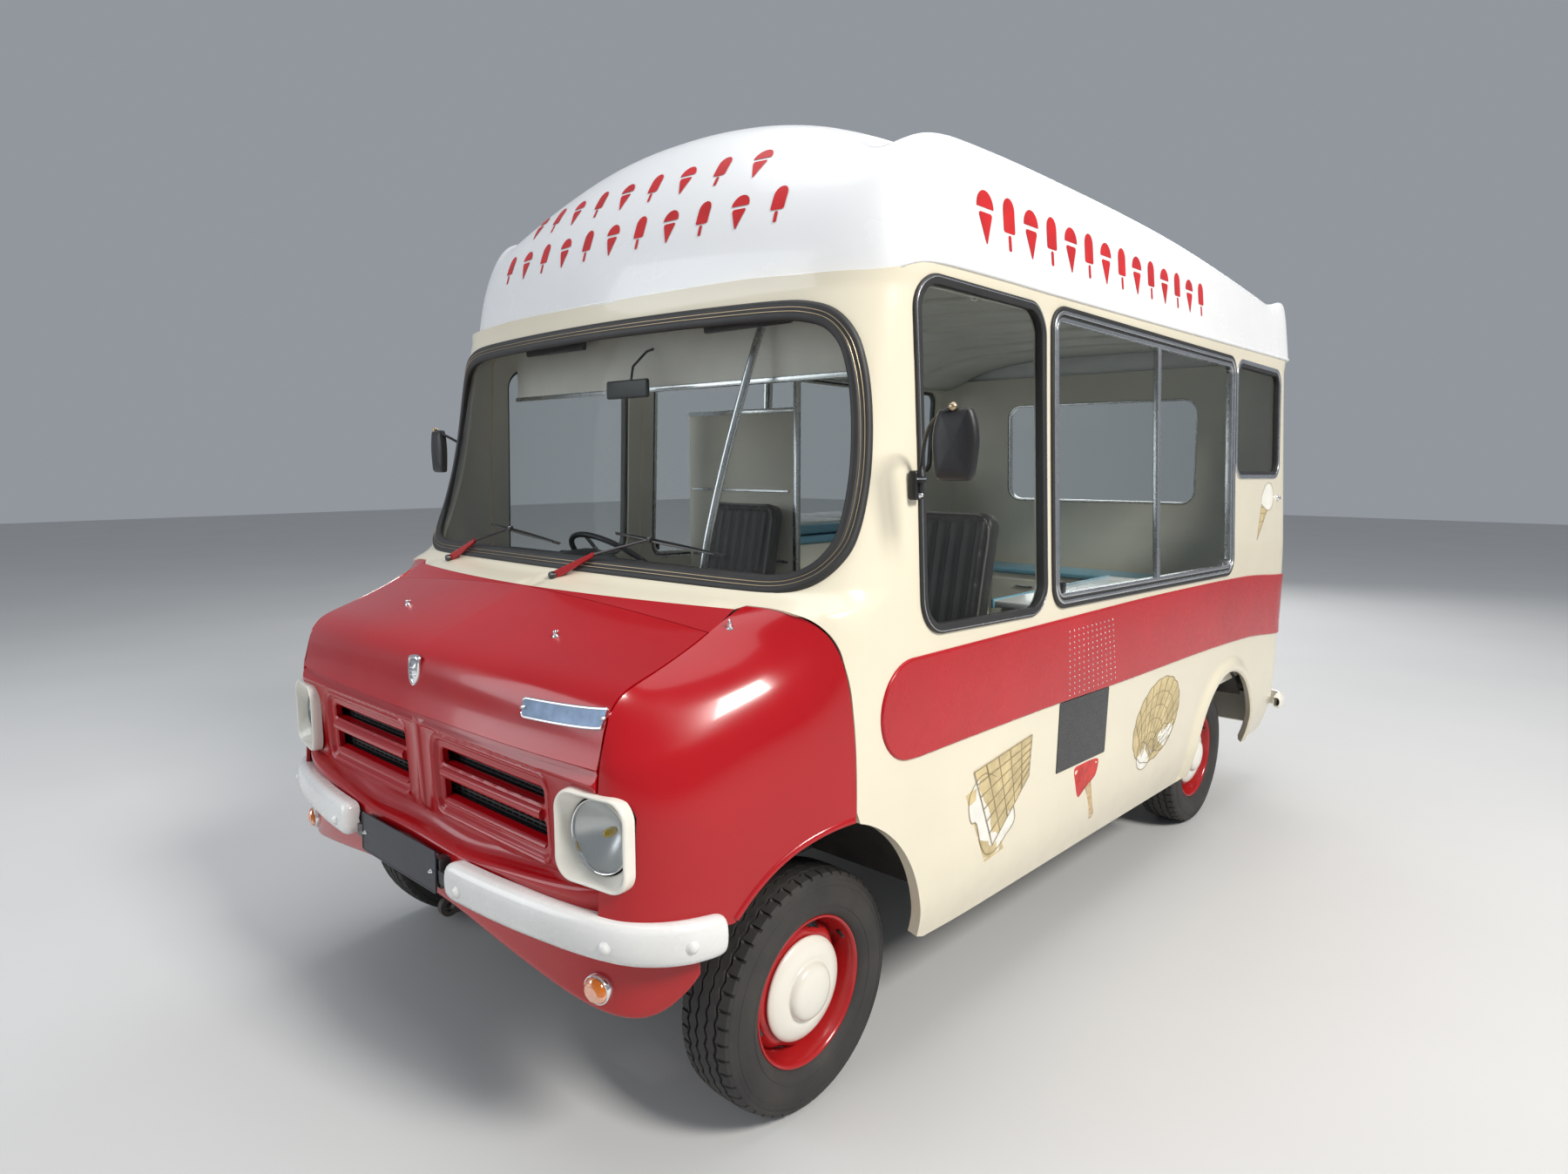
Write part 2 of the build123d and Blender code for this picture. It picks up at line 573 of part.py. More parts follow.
halves = [bumper_half(1), bumper_half(-1)]
bolts = [cyl_y(13, -665, -640, s * x, 632) for s in (1, -1) for x in (340,)]
halves = [halves[0] + bolts[0] + box(290, 350, -625, -560, 600, 670), halves[1] + bolts[1] + box(-350, -290, -625, -560, 600, 670)]
halves = [max((hh - nose(0)).solids(), key=lambda t: t.volume) for hh in halves]
save("front_bumper", halves)
front_plate = box(-208, 208, -640, -634, 578, 687) + (box(-150, 150, -635, -580, 596, 668) - nose(0))
rear_plate = box(-230, 230, 3552, 3576, 640, 750) - lower(0, 1)
save("number_plates", front_plate, rear_plate)

# ------------------------------------------------------------------ chassis
rails = [box(s * RAIL_X - RAIL_W / 2, s * RAIL_X + RAIL_W / 2, -480, 3430, *RAIL_Z) for s in (1, -1)]
PAD_Z = 402.0                         # underside of the jacking pads
rails = [r + box(s * RAIL_X - 35, s * RAIL_X + 35, 760, 840, PAD_Z, RAIL_Z[0] + 1) for r, s in zip(rails, (1, -1))]
save("chassis_rails", rails)
CROSS = [-440, 620, 1300, 1980, 3380]
xr = RAIL_X - RAIL_W / 2
crosses = [box(-xr, xr, y - 30, y + 30, RAIL_Z[0] + 10, RAIL_Z[1] - 10) for y in CROSS]
TOW_EYE = (-502.0, 430.0, 14.0)       # y, z, bore radius
eye = box(-9, 9, TOW_EYE[0], -465, TOW_EYE[1] - 24, TOW_EYE[1] + 24) + cyl_x(28, -9, 9, TOW_EYE[0], TOW_EYE[1])
crosses[0] = crosses[0] + eye - cyl_x(TOW_EYE[2], -60, 60, TOW_EYE[0], TOW_EYE[1])
for x in (-150, 150):                 # tow bar bolts through the last crossmember
    crosses[-1] = crosses[-1] - cyl_y(8.5, 3300, 3500, x, 480)
outriggers = [box(s * 461, s * 980, y - 25, y + 25, 510, 569.5) for s in (1, -1) for y in (640, 1500, 3300)]
save("chassis_crossmembers", crosses, outriggers)

# front suspension: crossmember, wishbones and springs, fixed to the rails
susp = box(-400, 400, -80, 80, 348, 419.5) + box(-575, 575, -60, 60, 390, 419.5)
uppers = []
for s in (1, -1):
    low = prism_z([(s * 330, -150), (s * 400, -150), (s * 738, -20), (s * 738, 20), (s * 400, 150), (s * 330, 150), (s * 330, 110), (s * 540, 0), (s * 330, -110)], 206, 226)
    susp = susp + low + cyl_z(48, 206, 400, s * 520, 0)
    for y in (-130, 130):
        susp = susp + box(s * 335, s * 375, y - 18, y + 18, 210, 400) + box(s * 335, s * 375, y - 60, y + 60, 380, 419.5)
    uppers.append(prism_z([(s * 461, -90), (s * 520, -90), (s * 738, -20), (s * 738, 20), (s * 520, 90), (s * 461, 90)], 448, 464))
save("front_suspension", susp, uppers)


# ------------------------------------------------------------------ wheels
def ring_profile(points):
    """Revolve a closed (x, r) outline about the x axis."""
    face = make_face(Polyline(*[(x, r, 0) for x, r in points], close=True))
    return revolve(face, axis=Axis.X, revolution_arc=360)


def place(solid, x, y):
    return Pos(x, y + Y0, AXLE_Z) * solid


h = TYRE_W / 2
TYRE_OUT = [(-56, BEAD_R), (-58, BEAD_R + 20), (-h, 246), (-h, 262), (-78, 300), (-70, TYRE_R), (70, TYRE_R), (78, 300), (h, 262), (h, 246), (58, BEAD_R + 20), (56, BEAD_R)]
w = RIM_W / 2
# rim: barrel with a drop centre, disc and hub; x = 0 is the wheel's centre plane, +x is outboard
RIM = [(-w, RIM_R), (-w + 6, RIM_R), (-w + 9, BEAD_R - 1), (-30, BEAD_R - 1), (-20, 158), (14, 158), (24, BEAD_R - 1), (w - 9, BEAD_R - 1), (w - 6, RIM_R), (w, RIM_R),
       (w - 1, 176), (w - 12, 168), (44, 150), (48, 128), (36, 100), (34, 30), (26, 30), (26, 100), (32, 124), (22, 148), (12, 151), (-18, 151), (-30, 168), (-w + 6, 170), (-w, 176)]
CAP = [(42, 0), (42, 80), (36, 90), (36, 99), (49, 134), (60, 128), (66, 108), (70, 76), (84, 66), (92, 40), (95, 0)]


def wheel(side, axle):
    x = X_WHEEL[axle]
    y = 0 if axle == "front" else REAR_AXLE
    tyre = ring_profile(TYRE_OUT)
    rim = ring_profile(RIM)
    parts = [tyre, rim + ring_profile(CAP)]
    if side < 0:
        parts = [mirror(p, about=Plane.YZ) for p in parts]
    return [place(p, side * x, y) for p in parts]


for side, sn in ((1, "left"), (-1, "right")):
    for axle in ("front", "rear"):
        t, r_ = wheel(side, axle)
        save(f"tyre_{axle}_{sn}", t)
        save(f"wheel_{axle}_{sn}", r_)

# knuckles: upright, stub and brake
for s, sn in ((1, "left"), (-1, "right")):
    xw = X_WHEEL["front"]
    up = box(s * (KINGPIN_X - 22), s * (KINGPIN_X + 22), -30, 30, 236, 438) + cyl_z(15, 227, 447, s * KINGPIN_X, 0)
    stub = cyl_x(27, s * (KINGPIN_X), s * (xw + 39), 0, AXLE_Z)
    drum = cyl_x(128, s * (KINGPIN_X + 36), s * (xw + 8), 0, AXLE_Z)
    save(f"knuckle_{sn}", up + stub + drum)

# rear axle: tube, differential, brake drums
xd, xs_ = 742.0, X_WHEEL["rear"]
half = [(0, 132), (60, 128), (118, 60), (150, 38), (xd, 38), (xd, 128), (xs_ + 8, 128), (xs_ + 8, 27), (xs_ + 39, 27), (xs_ + 39, 0)]
axle = Pos(0, REAR_AXLE + Y0, AXLE_Z) * ring_profile([(-x, r) for x, r in half[::-1]] + half[1:])
save("rear_axle", axle)
leaves = []
for s in (1, -1):
    y0_, y1_ = REAR_AXLE - 590, REAR_AXLE + 600
    e = [
        ThreePointArc((0, y0_ + Y0, 404), (0, REAR_AXLE + Y0, 351), (0, y1_ + Y0, 404)),
        Line((0, y1_ + Y0, 404), (0, y1_ + Y0, 419)),
        ThreePointArc((0, y1_ + Y0, 419), (0, REAR_AXLE + Y0, 392), (0, y0_ + Y0, 419)),
        Line((0, y0_ + Y0, 419), (0, y0_ + Y0, 404)),
    ]
    leaf = extrude(make_face(Wire(e)), amount=60, dir=(1, 0, 0))
    leaves.append(Pos(s * RAIL_X - 30, 0, 0) * leaf)
save("leaf_springs", leaves)

# ------------------------------------------------------------------ power train and underside
engine = box(-215, 215, -330, 250, 560, 800) + box(-150, 150, -330, 250, 420.5, 560)
gearbox = cyl_y(105, 250, 540, 0, 450)
save("engine_block", engine + gearbox)
save("radiator", box(-300, 300, -470, -420, 531, 940))
save("propeller_shaft", rod(34, (0, 543, 392), (0, REAR_AXLE - 137, 330)))
save("fuel_tank", box(500, 800, 800, 1420, 330, 505))
exhaust = cyl_y(75, 1420, 1900, -300, 335) + cyl_y(22, 1900, 2350, -300, 335) + cyl_y(22, 640, 1420, -300, 335)
exhaust = exhaust + box(-310, -290, 1290, 1310, 335, 429.5)
save("exhaust", exhaust)

# rear bumper corners, lamps and plate
rb = []
for s in (1, -1):
    def q(x, y):
        return (s * x, y + Y0, 392)
    e = [
        Line(q(560, 3635), q(900, 3635)),
        ThreePointArc(q(900, 3635), q(1010, 3588), q(1052, 3480)),
        Line(q(1052, 3480), q(1034, 3480)),
        ThreePointArc(q(1034, 3480), q(998, 3556), q(900, 3590)),
        Line(q(900, 3590), q(560, 3590)),
        Line(q(560, 3590), q(560, 3635)),
    ]
    rb.append(extrude(make_face(Wire(e)), amount=78, dir=(0, 0, 1)) - lower(0, 1) - lower(0))
rb_mid = box(-561, 561, 3590, 3635, 392, 470)
for s in (1, -1):
    rb_mid = rb_mid + (box(s * 430 - 25, s * 430 + 25, 3480, 3600, 405, 455) - lower(0, 30))
save("rear_bumper", rb[0] + rb[1] + rb_mid)
save("tail_lamps", [window_y(s * 870 - 45, s * 870 + 45, 560, 800, 30, 3540, 3590) - lower(0) for s in (1, -1)])

# ------------------------------------------------------------------ outside fittings
mirrors = []
for s in (1, -1):
    head = window_y(s * 1182 - 58, s * 1182 + 58, 1620, 1785, 34, 128, 160)
    arm = rod(7, (s * 1182, 158, 1712), (s * 1120, 205, 1700)) + rod(7, (s * 1120, 205, 1700), (s * 1030, 232, 1640))
    base = box(s * 990, s * 1042, 218, 246, 1556, 1650) - cab(0)
    base = max(base.solids(), key=lambda t: t.volume)
    mirrors.append(head + arm + base)
save("door_mirrors", mirrors)


def front_y(x, z):
    """The front of the cab envelope at x, z (within the front arc)."""
    for a, b in zip(CAB, CAB[1:]):
        if z <= b[0]:
            t = (z - a[0]) / (b[0] - a[0])
            yc, xk, yk = (a[i] + (b[i] - a[i]) * t for i in (1, 2, 3))
            return yc + (yk - yc) * (x / xk) ** 2
    return 0.0


wipers = []
for px in (40.0, -600.0):
    pz = 1318.0
    py = front_y(px, pz)
    pivot = cyl_z(14, pz - 18, pz + 26, px, py - 6) - cab(0, 20)
    tip = (px + 330.0, front_y(px + 330, 1400) - 30, 1400.0)
    arm = rod(6, (px, py - 6, pz + 18), tip)
    b0, b1 = (px + 120.0, front_y(px + 120, 1375) - 26, 1385.0), (px + 560.0, front_y(px + 560, 1395) - 26, 1405.0)
    wipers.append(pivot + arm + rod(6, b0, tip) + rod(6, tip, b1))
save("wipers", wipers)

# ------------------------------------------------------------------ inside
WHEEL_C = (-470.0, 480.0, 1255.0)
TILT = 50.0
ca, sa = math.cos(math.radians(TILT)), math.sin(math.radians(TILT))
axis = (0, ca, sa)


def along(d):
    return (WHEEL_C[0], WHEEL_C[1] + ca * d, WHEEL_C[2] + sa * d)


dash = (cab(WALL + 3, 20) & box(-1000, 1000, 10, 230, 1242, 1330)) + box(-960, 960, 10, 190, 1100, 1250)
dash = dash - (upper_wall + cowl)
dash = max(dash.solids(), key=lambda t: t.volume)
column = rod(26, along(-690), along(-42)) + box(-490, -450, 100, 180, 850, 1110)
save("dashboard", dash + column)
pl = Plane(origin=(WHEEL_C[0], WHEEL_C[1] + Y0, WHEEL_C[2]), x_dir=(1, 0, 0), z_dir=axis)
sw = pl * Torus(205, 13)
sw = sw + pl * Pos(0, 0, -18) * Cylinder(38, 40)
for a in (-90, 35, 145):
    sw = sw + pl * Rot(0, 0, a) * Pos(112, 0, -6) * Box(196, 26, 9)
save("steering_wheel", sw)

# a seat each side of the engine cover
bases, seats = [], []
for s in (-1, 1):
    bases.append(box(s * 720, s * 300, 700, 1060, 601, 860))
    seats.append(fillet(box(s * 725, s * 295, 690, 1110, 861, 975).edges(), 28))
    seats.append(fillet((Pos(s * 510, 1160 + Y0, 1240) * Rot(-12, 0, 0) * Box(420, 95, 520)).edges(), 30))
save("seat_bases", bases)
save("cab_seats", seats)

counter = box(660, 940, 1300, 2270, 601, 1130) + box(640, 950, 1290, 2280, 1130, 1160)
freezer = box(-975, -330, 1300, 2270, 601, 1330)
save("serving_cabinets", counter, freezer)
save("freezer_lid", box(-900, -326, 1306, 2264, 1336, 1390))
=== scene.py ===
import bpy, bmesh, math, random
import numpy as np
from mathutils import Vector, Matrix
from mathutils.geometry import delaunay_2d_cdt


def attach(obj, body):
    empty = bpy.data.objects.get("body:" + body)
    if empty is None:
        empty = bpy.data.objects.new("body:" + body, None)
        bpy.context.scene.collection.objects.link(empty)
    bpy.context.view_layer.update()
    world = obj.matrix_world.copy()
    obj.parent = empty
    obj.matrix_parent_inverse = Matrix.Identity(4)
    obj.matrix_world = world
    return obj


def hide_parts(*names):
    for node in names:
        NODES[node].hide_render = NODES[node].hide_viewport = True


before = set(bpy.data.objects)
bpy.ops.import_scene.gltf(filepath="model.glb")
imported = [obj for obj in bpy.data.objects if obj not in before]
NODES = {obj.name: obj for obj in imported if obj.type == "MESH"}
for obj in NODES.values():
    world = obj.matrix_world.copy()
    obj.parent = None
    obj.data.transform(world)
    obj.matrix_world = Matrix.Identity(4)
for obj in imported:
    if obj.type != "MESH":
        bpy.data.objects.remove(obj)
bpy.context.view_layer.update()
AX = -1.485            # the front axle's place along the frame's Y; every table below is measured from that axle

# ------------------------------------------------------------------ materials
MATS = {}


def material(name, color, rough=0.4, metal=0.0, tint=0.05, tscale=2.5, rvar=0.06, bump=0.0, bscale=150.0, coat=0.0,
             sheen=0.0, trans=0.0, ior=1.5, grime=0.0, gz=(0.25, 0.95), fleck=0.0, spec=0.5, stretch=(1, 1, 1), second=None, alpha=1.0):
    """Painted or moulded surface: cloudy colour, uneven gloss, fine relief, and dirt that thins out with height."""
    m = bpy.data.materials.new(name)
    m.use_nodes = True
    nt = m.node_tree
    nt.nodes.clear()
    N, L = nt.nodes.new, nt.links.new
    out, b = N("ShaderNodeOutputMaterial"), N("ShaderNodeBsdfPrincipled")
    L(b.outputs[0], out.inputs[0])
    tc = N("ShaderNodeTexCoord")
    mp = N("ShaderNodeMapping")
    mp.inputs["Scale"].default_value = stretch
    L(tc.outputs["Object"], mp.inputs[0])
    n1 = N("ShaderNodeTexNoise")
    n1.inputs["Scale"].default_value = tscale
    n1.inputs["Detail"].default_value = 6
    L(mp.outputs[0], n1.inputs["Vector"])
    c = tuple(color)
    dark = second or tuple(max(v * (1 - tint * 1.6), 0) for v in c)
    lite = tuple(min(v * (1 + tint), 1) for v in c)
    mx = N("ShaderNodeMix")
    mx.data_type = "RGBA"
    mx.inputs["A"].default_value = (*dark, 1)
    mx.inputs["B"].default_value = (*lite, 1)
    mr = N("ShaderNodeMapRange")
    mr.inputs["From Min"].default_value = 0.32
    mr.inputs["From Max"].default_value = 0.68
    L(n1.outputs["Fac"], mr.inputs["Value"])
    L(mr.outputs[0], mx.inputs["Factor"])
    col = mx.outputs["Result"]
    if grime:
        sx = N("ShaderNodeSeparateXYZ")
        L(tc.outputs["Object"], sx.inputs[0])
        h = N("ShaderNodeMapRange")
        h.inputs["From Min"].default_value = gz[1]
        h.inputs["From Max"].default_value = gz[0]
        L(sx.outputs["Z"], h.inputs["Value"])
        n3 = N("ShaderNodeTexNoise")
        n3.inputs["Scale"].default_value = 9
        n3.inputs["Detail"].default_value = 8
        n3.inputs["Roughness"].default_value = 0.65
        L(tc.outputs["Object"], n3.inputs["Vector"])
        k = N("ShaderNodeMath"); k.operation = "MULTIPLY"
        L(h.outputs[0], k.inputs[0]); L(n3.outputs["Fac"], k.inputs[1])
        k2 = N("ShaderNodeMath"); k2.operation = "MULTIPLY"; k2.inputs[1].default_value = grime * 1.7
        L(k.outputs[0], k2.inputs[0])
        g = N("ShaderNodeMix"); g.data_type = "RGBA"
        g.inputs["B"].default_value = (0.16, 0.13, 0.10, 1)
        L(k2.outputs[0], g.inputs["Factor"]); L(col, g.inputs["A"])
        col = g.outputs["Result"]
    if fleck:
        v = N("ShaderNodeTexVoronoi")
        v.inputs["Scale"].default_value = 260
        L(tc.outputs["Object"], v.inputs["Vector"])
        lt = N("ShaderNodeMath"); lt.operation = "LESS_THAN"; lt.inputs[1].default_value = 0.12
        L(v.outputs["Distance"], lt.inputs[0])
        fm = N("ShaderNodeMath"); fm.operation = "MULTIPLY"; fm.inputs[1].default_value = fleck
        L(lt.outputs[0], fm.inputs[0])
        g = N("ShaderNodeMix"); g.data_type = "RGBA"
        g.inputs["B"].default_value = (0.05, 0.045, 0.04, 1)
        L(fm.outputs[0], g.inputs["Factor"]); L(col, g.inputs["A"])
        col = g.outputs["Result"]
    L(col, b.inputs["Base Color"])
    n2 = N("ShaderNodeTexNoise")
    n2.inputs["Scale"].default_value = tscale * 5
    n2.inputs["Detail"].default_value = 5
    L(mp.outputs[0], n2.inputs["Vector"])
    rr = N("ShaderNodeMapRange")
    rr.inputs["To Min"].default_value = max(rough - rvar, 0.02)
    rr.inputs["To Max"].default_value = min(rough + rvar, 1.0)
    L(n2.outputs["Fac"], rr.inputs["Value"])
    L(rr.outputs[0], b.inputs["Roughness"])
    b.inputs["Metallic"].default_value = metal
    b.inputs["IOR"].default_value = ior
    b.inputs["Specular IOR Level"].default_value = spec
    b.inputs["Coat Weight"].default_value = coat
    b.inputs["Coat Roughness"].default_value = 0.05
    b.inputs["Sheen Weight"].default_value = sheen
    b.inputs["Transmission Weight"].default_value = trans
    b.inputs["Alpha"].default_value = alpha
    if bump:
        bn = N("ShaderNodeTexNoise")
        bn.inputs["Scale"].default_value = bscale
        bn.inputs["Detail"].default_value = 3
        L(mp.outputs[0], bn.inputs["Vector"])
        bp = N("ShaderNodeBump")
        bp.inputs["Strength"].default_value = min(bump, 1.0)
        bp.inputs["Distance"].default_value = 0.002
        L(bn.outputs["Fac"], bp.inputs["Height"])
        L(bp.outputs[0], b.inputs["Normal"])
    MATS[name] = m
    return m


def glass_material(name, tint, clear=0.86, rough=0.015):
    """Thin window glass: mostly see-through, with a clean reflection."""
    m = bpy.data.materials.new(name)
    m.use_nodes = True
    nt = m.node_tree
    nt.nodes.clear()
    N, L = nt.nodes.new, nt.links.new
    out, b = N("ShaderNodeOutputMaterial"), N("ShaderNodeBsdfPrincipled")
    tr, mx = N("ShaderNodeBsdfTransparent"), N("ShaderNodeMixShader")
    tc, n = N("ShaderNodeTexCoord"), N("ShaderNodeTexNoise")
    n.inputs["Scale"].default_value = 3
    n.inputs["Detail"].default_value = 6
    L(tc.outputs["Object"], n.inputs["Vector"])
    r = N("ShaderNodeMapRange")
    r.inputs["To Min"].default_value = rough
    r.inputs["To Max"].default_value = rough + 0.05
    L(n.outputs["Fac"], r.inputs["Value"])
    L(r.outputs[0], b.inputs["Roughness"])
    b.inputs["Base Color"].default_value = (0.02, 0.024, 0.022, 1)
    b.inputs["IOR"].default_value = 1.52
    tr.inputs[0].default_value = (*tint, 1)
    lw = N("ShaderNodeLayerWeight")
    lw.inputs["Blend"].default_value = 0.5
    pw = N("ShaderNodeMath"); pw.operation = "POWER"; pw.inputs[1].default_value = 4.2
    L(lw.outputs["Facing"], pw.inputs[0])
    ad = N("ShaderNodeMath"); ad.operation = "MULTIPLY_ADD"; ad.inputs[1].default_value = 0.75; ad.inputs[2].default_value = 1 - clear
    L(pw.outputs[0], ad.inputs[0])
    L(ad.outputs[0], mx.inputs[0]); L(tr.outputs[0], mx.inputs[1]); L(b.outputs[0], mx.inputs[2])
    L(mx.outputs[0], out.inputs[0])
    MATS[name] = m
    return m


CREAM = (0.80, 0.735, 0.575)
RED = (0.43, 0.0025, 0.007)
M_cream = material("cream_gelcoat", CREAM, 0.24, tint=0.035, tscale=1.4, coat=0.35, grime=0.22, gz=(0.26, 0.62))
M_inner = material("cream_lining", (0.74, 0.70, 0.60), 0.5, tint=0.05, bump=0.15, bscale=90)
M_white = material("white_gelcoat", (0.86, 0.865, 0.87), 0.26, tint=0.025, tscale=1.2, coat=0.3)
M_red = material("red_coachwork", RED, 0.20, tint=0.06, tscale=1.8, coat=0.25, bump=0.0, grime=0.10, gz=(0.42, 0.75), spec=0.42)
M_band = material("red_band", (0.45, 0.003, 0.008), 0.27, tint=0.06, tscale=3, coat=0.2, bump=0.0, spec=0.42)
M_motif_red = material("motif_red", (0.55, 0.012, 0.014), 0.38, tint=0.10, tscale=14, bump=0.08, bscale=200)
M_black = material("black_enamel", (0.012, 0.012, 0.013), 0.3, tint=0.2, coat=0.3, bump=0.05)
M_plastic = material("black_plastic", (0.010, 0.010, 0.011), 0.42, tint=0.2, bump=0.25, bscale=420)
M_rubber = material("black_rubber", (0.016, 0.016, 0.017), 0.52, tint=0.25, tscale=12, bump=0.2, bscale=300, second=(0.028, 0.027, 0.026))
M_tyre = material("tyre_rubber", (0.022, 0.021, 0.021), 0.72, tint=0.3, tscale=8, bump=0.35, bscale=240, second=(0.045, 0.041, 0.037))
M_chassis = material("chassis_paint", (0.020, 0.019, 0.018), 0.62, tint=0.4, tscale=7, bump=0.4, bscale=60, second=(0.055, 0.042, 0.032))
M_chrome = material("chrome", (0.86, 0.86, 0.87), 0.08, metal=1.0, tint=0.03, rvar=0.05)
# also the thin strips round the tall windows and the door window, which are painted highlights on the black rubber
M_alloy_and_highlight = material("alloy_and_painted_highlight", (0.62, 0.63, 0.64), 0.27, metal=1.0, tint=0.06, tscale=5, rvar=0.08)
M_bronze = material("filler_strip", (0.50, 0.40, 0.26), 0.3, metal=1.0, tint=0.08)
M_steel = material("bare_metal", (0.30, 0.29, 0.28), 0.45, metal=0.9, tint=0.25, tscale=9, bump=0.2, bscale=120, second=(0.17, 0.13, 0.10))
M_amber = material("amber_lens", (0.85, 0.22, 0.01), 0.12, tint=0.1, tscale=40, trans=0.35, coat=0.5, bump=0.3, bscale=120)
M_redlens = material("red_lens", (0.55, 0.01, 0.008), 0.12, tint=0.1, tscale=40, trans=0.3, coat=0.5, bump=0.3, bscale=140)
M_reflector = material("lamp_reflector", (0.90, 0.90, 0.88), 0.32, metal=0.85, tint=0.03, rvar=0.05)
M_whitepaint = material("white_enamel", (0.82, 0.82, 0.80), 0.27, tint=0.04, tscale=4, coat=0.4, grime=0.16, gz=(0.5, 0.80))
M_surround = material("lamp_surround_cream", (0.83, 0.80, 0.71), 0.25, tint=0.04, coat=0.5)
M_plate = material("plate_black", (0.010, 0.012, 0.022), 0.35, tint=0.2, tscale=20, bump=0.06)
M_name = material("name_plate_blue", (0.15, 0.22, 0.33), 0.32, metal=0.35, tint=0.15, tscale=30, bump=0.1, bscale=400)
M_dash = material("dash_leathercloth", (0.022, 0.022, 0.024), 0.55, tint=0.15, bump=0.5, bscale=260)
M_vinyl = material("seat_vinyl", (0.030, 0.028, 0.028), 0.42, tint=0.25, tscale=6, bump=0.5, bscale=330, sheen=0.15)
M_piping = material("seat_piping", (0.16, 0.15, 0.14), 0.4, tint=0.1)
M_counter = material("counter_blue", (0.20, 0.46, 0.62), 0.35, tint=0.05, tscale=8, coat=0.2)
M_cabinet = material("cabinet_cream", (0.78, 0.75, 0.66), 0.34, tint=0.05, tscale=5, coat=0.2, bump=0.05)
M_ceiling = material("ceiling_lining", (0.66, 0.64, 0.58), 0.55, tint=0.06, tscale=6, bump=0.2, bscale=120)
M_floor_in = material("ribbed_floor", (0.10, 0.095, 0.09), 0.6, tint=0.25, tscale=10, bump=0.5, bscale=180)
M_well = material("wheel_housing", (0.020, 0.019, 0.018), 0.8, tint=0.4, tscale=9, bump=0.7, bscale=70, second=(0.06, 0.05, 0.04))
M_waffle = material("waffle_tan", (0.62, 0.50, 0.27), 0.6, tint=0.14, tscale=18, bump=0.3, bscale=160)
M_waffle_line = material("waffle_line", (0.30, 0.24, 0.13), 0.6, tint=0.15, tscale=30, bump=0.2)
M_vanilla = material("vanilla_fill", (0.85, 0.83, 0.76), 0.5, tint=0.05, tscale=20, bump=0.2, bscale=60)
M_lolly = material("lolly_red", (0.60, 0.03, 0.02), 0.4, tint=0.2, tscale=22, bump=0.1, second=(0.42, 0.010, 0.010))
M_stick = material("stick_wood", (0.60, 0.43, 0.24), 0.6, tint=0.16, tscale=16, stretch=(1, 1, 6), bump=0.2)
M_glass = glass_material("window_glass", (0.962, 0.975, 0.968), 0.96)
M_lens = glass_material("lamp_lens", (0.93, 0.95, 0.96), 0.82, 0.03)
M_bulb = material("bulb_yellow", (0.80, 0.52, 0.02), 0.15, tint=0.1, trans=0.2, coat=0.5)
M_mirror = material("mirror_glass", (0.80, 0.82, 0.83), 0.03, metal=1.0, tint=0.02, rvar=0.02)

# woven-look vent: fine raised weave
M_mesh = material("vent_mesh", (0.10, 0.10, 0.105), 0.42, metal=0.5, tint=0.2, tscale=60, bump=0.0)
nt = M_mesh.node_tree
bs = [n for n in nt.nodes if n.type == "BSDF_PRINCIPLED"][0]
tc = [n for n in nt.nodes if n.type == "TEX_COORD"][0]
wv = []
for axis in ("Y", "Z"):
    w = nt.nodes.new("ShaderNodeTexWave")
    w.wave_type = "BANDS"
    w.bands_direction = axis
    w.inputs["Scale"].default_value = 24
    nt.links.new(tc.outputs["Object"], w.inputs["Vector"])
    wv.append(w)
ml = nt.nodes.new("ShaderNodeMath")
ml.operation = "MULTIPLY"
nt.links.new(wv[0].outputs["Fac"], ml.inputs[0])
nt.links.new(wv[1].outputs["Fac"], ml.inputs[1])
bp = nt.nodes.new("ShaderNodeBump")
bp.inputs["Strength"].default_value = 0.8
bp.inputs["Distance"].default_value = 0.002
nt.links.new(ml.outputs[0], bp.inputs["Height"])
nt.links.new(bp.outputs[0], bs.inputs["Normal"])


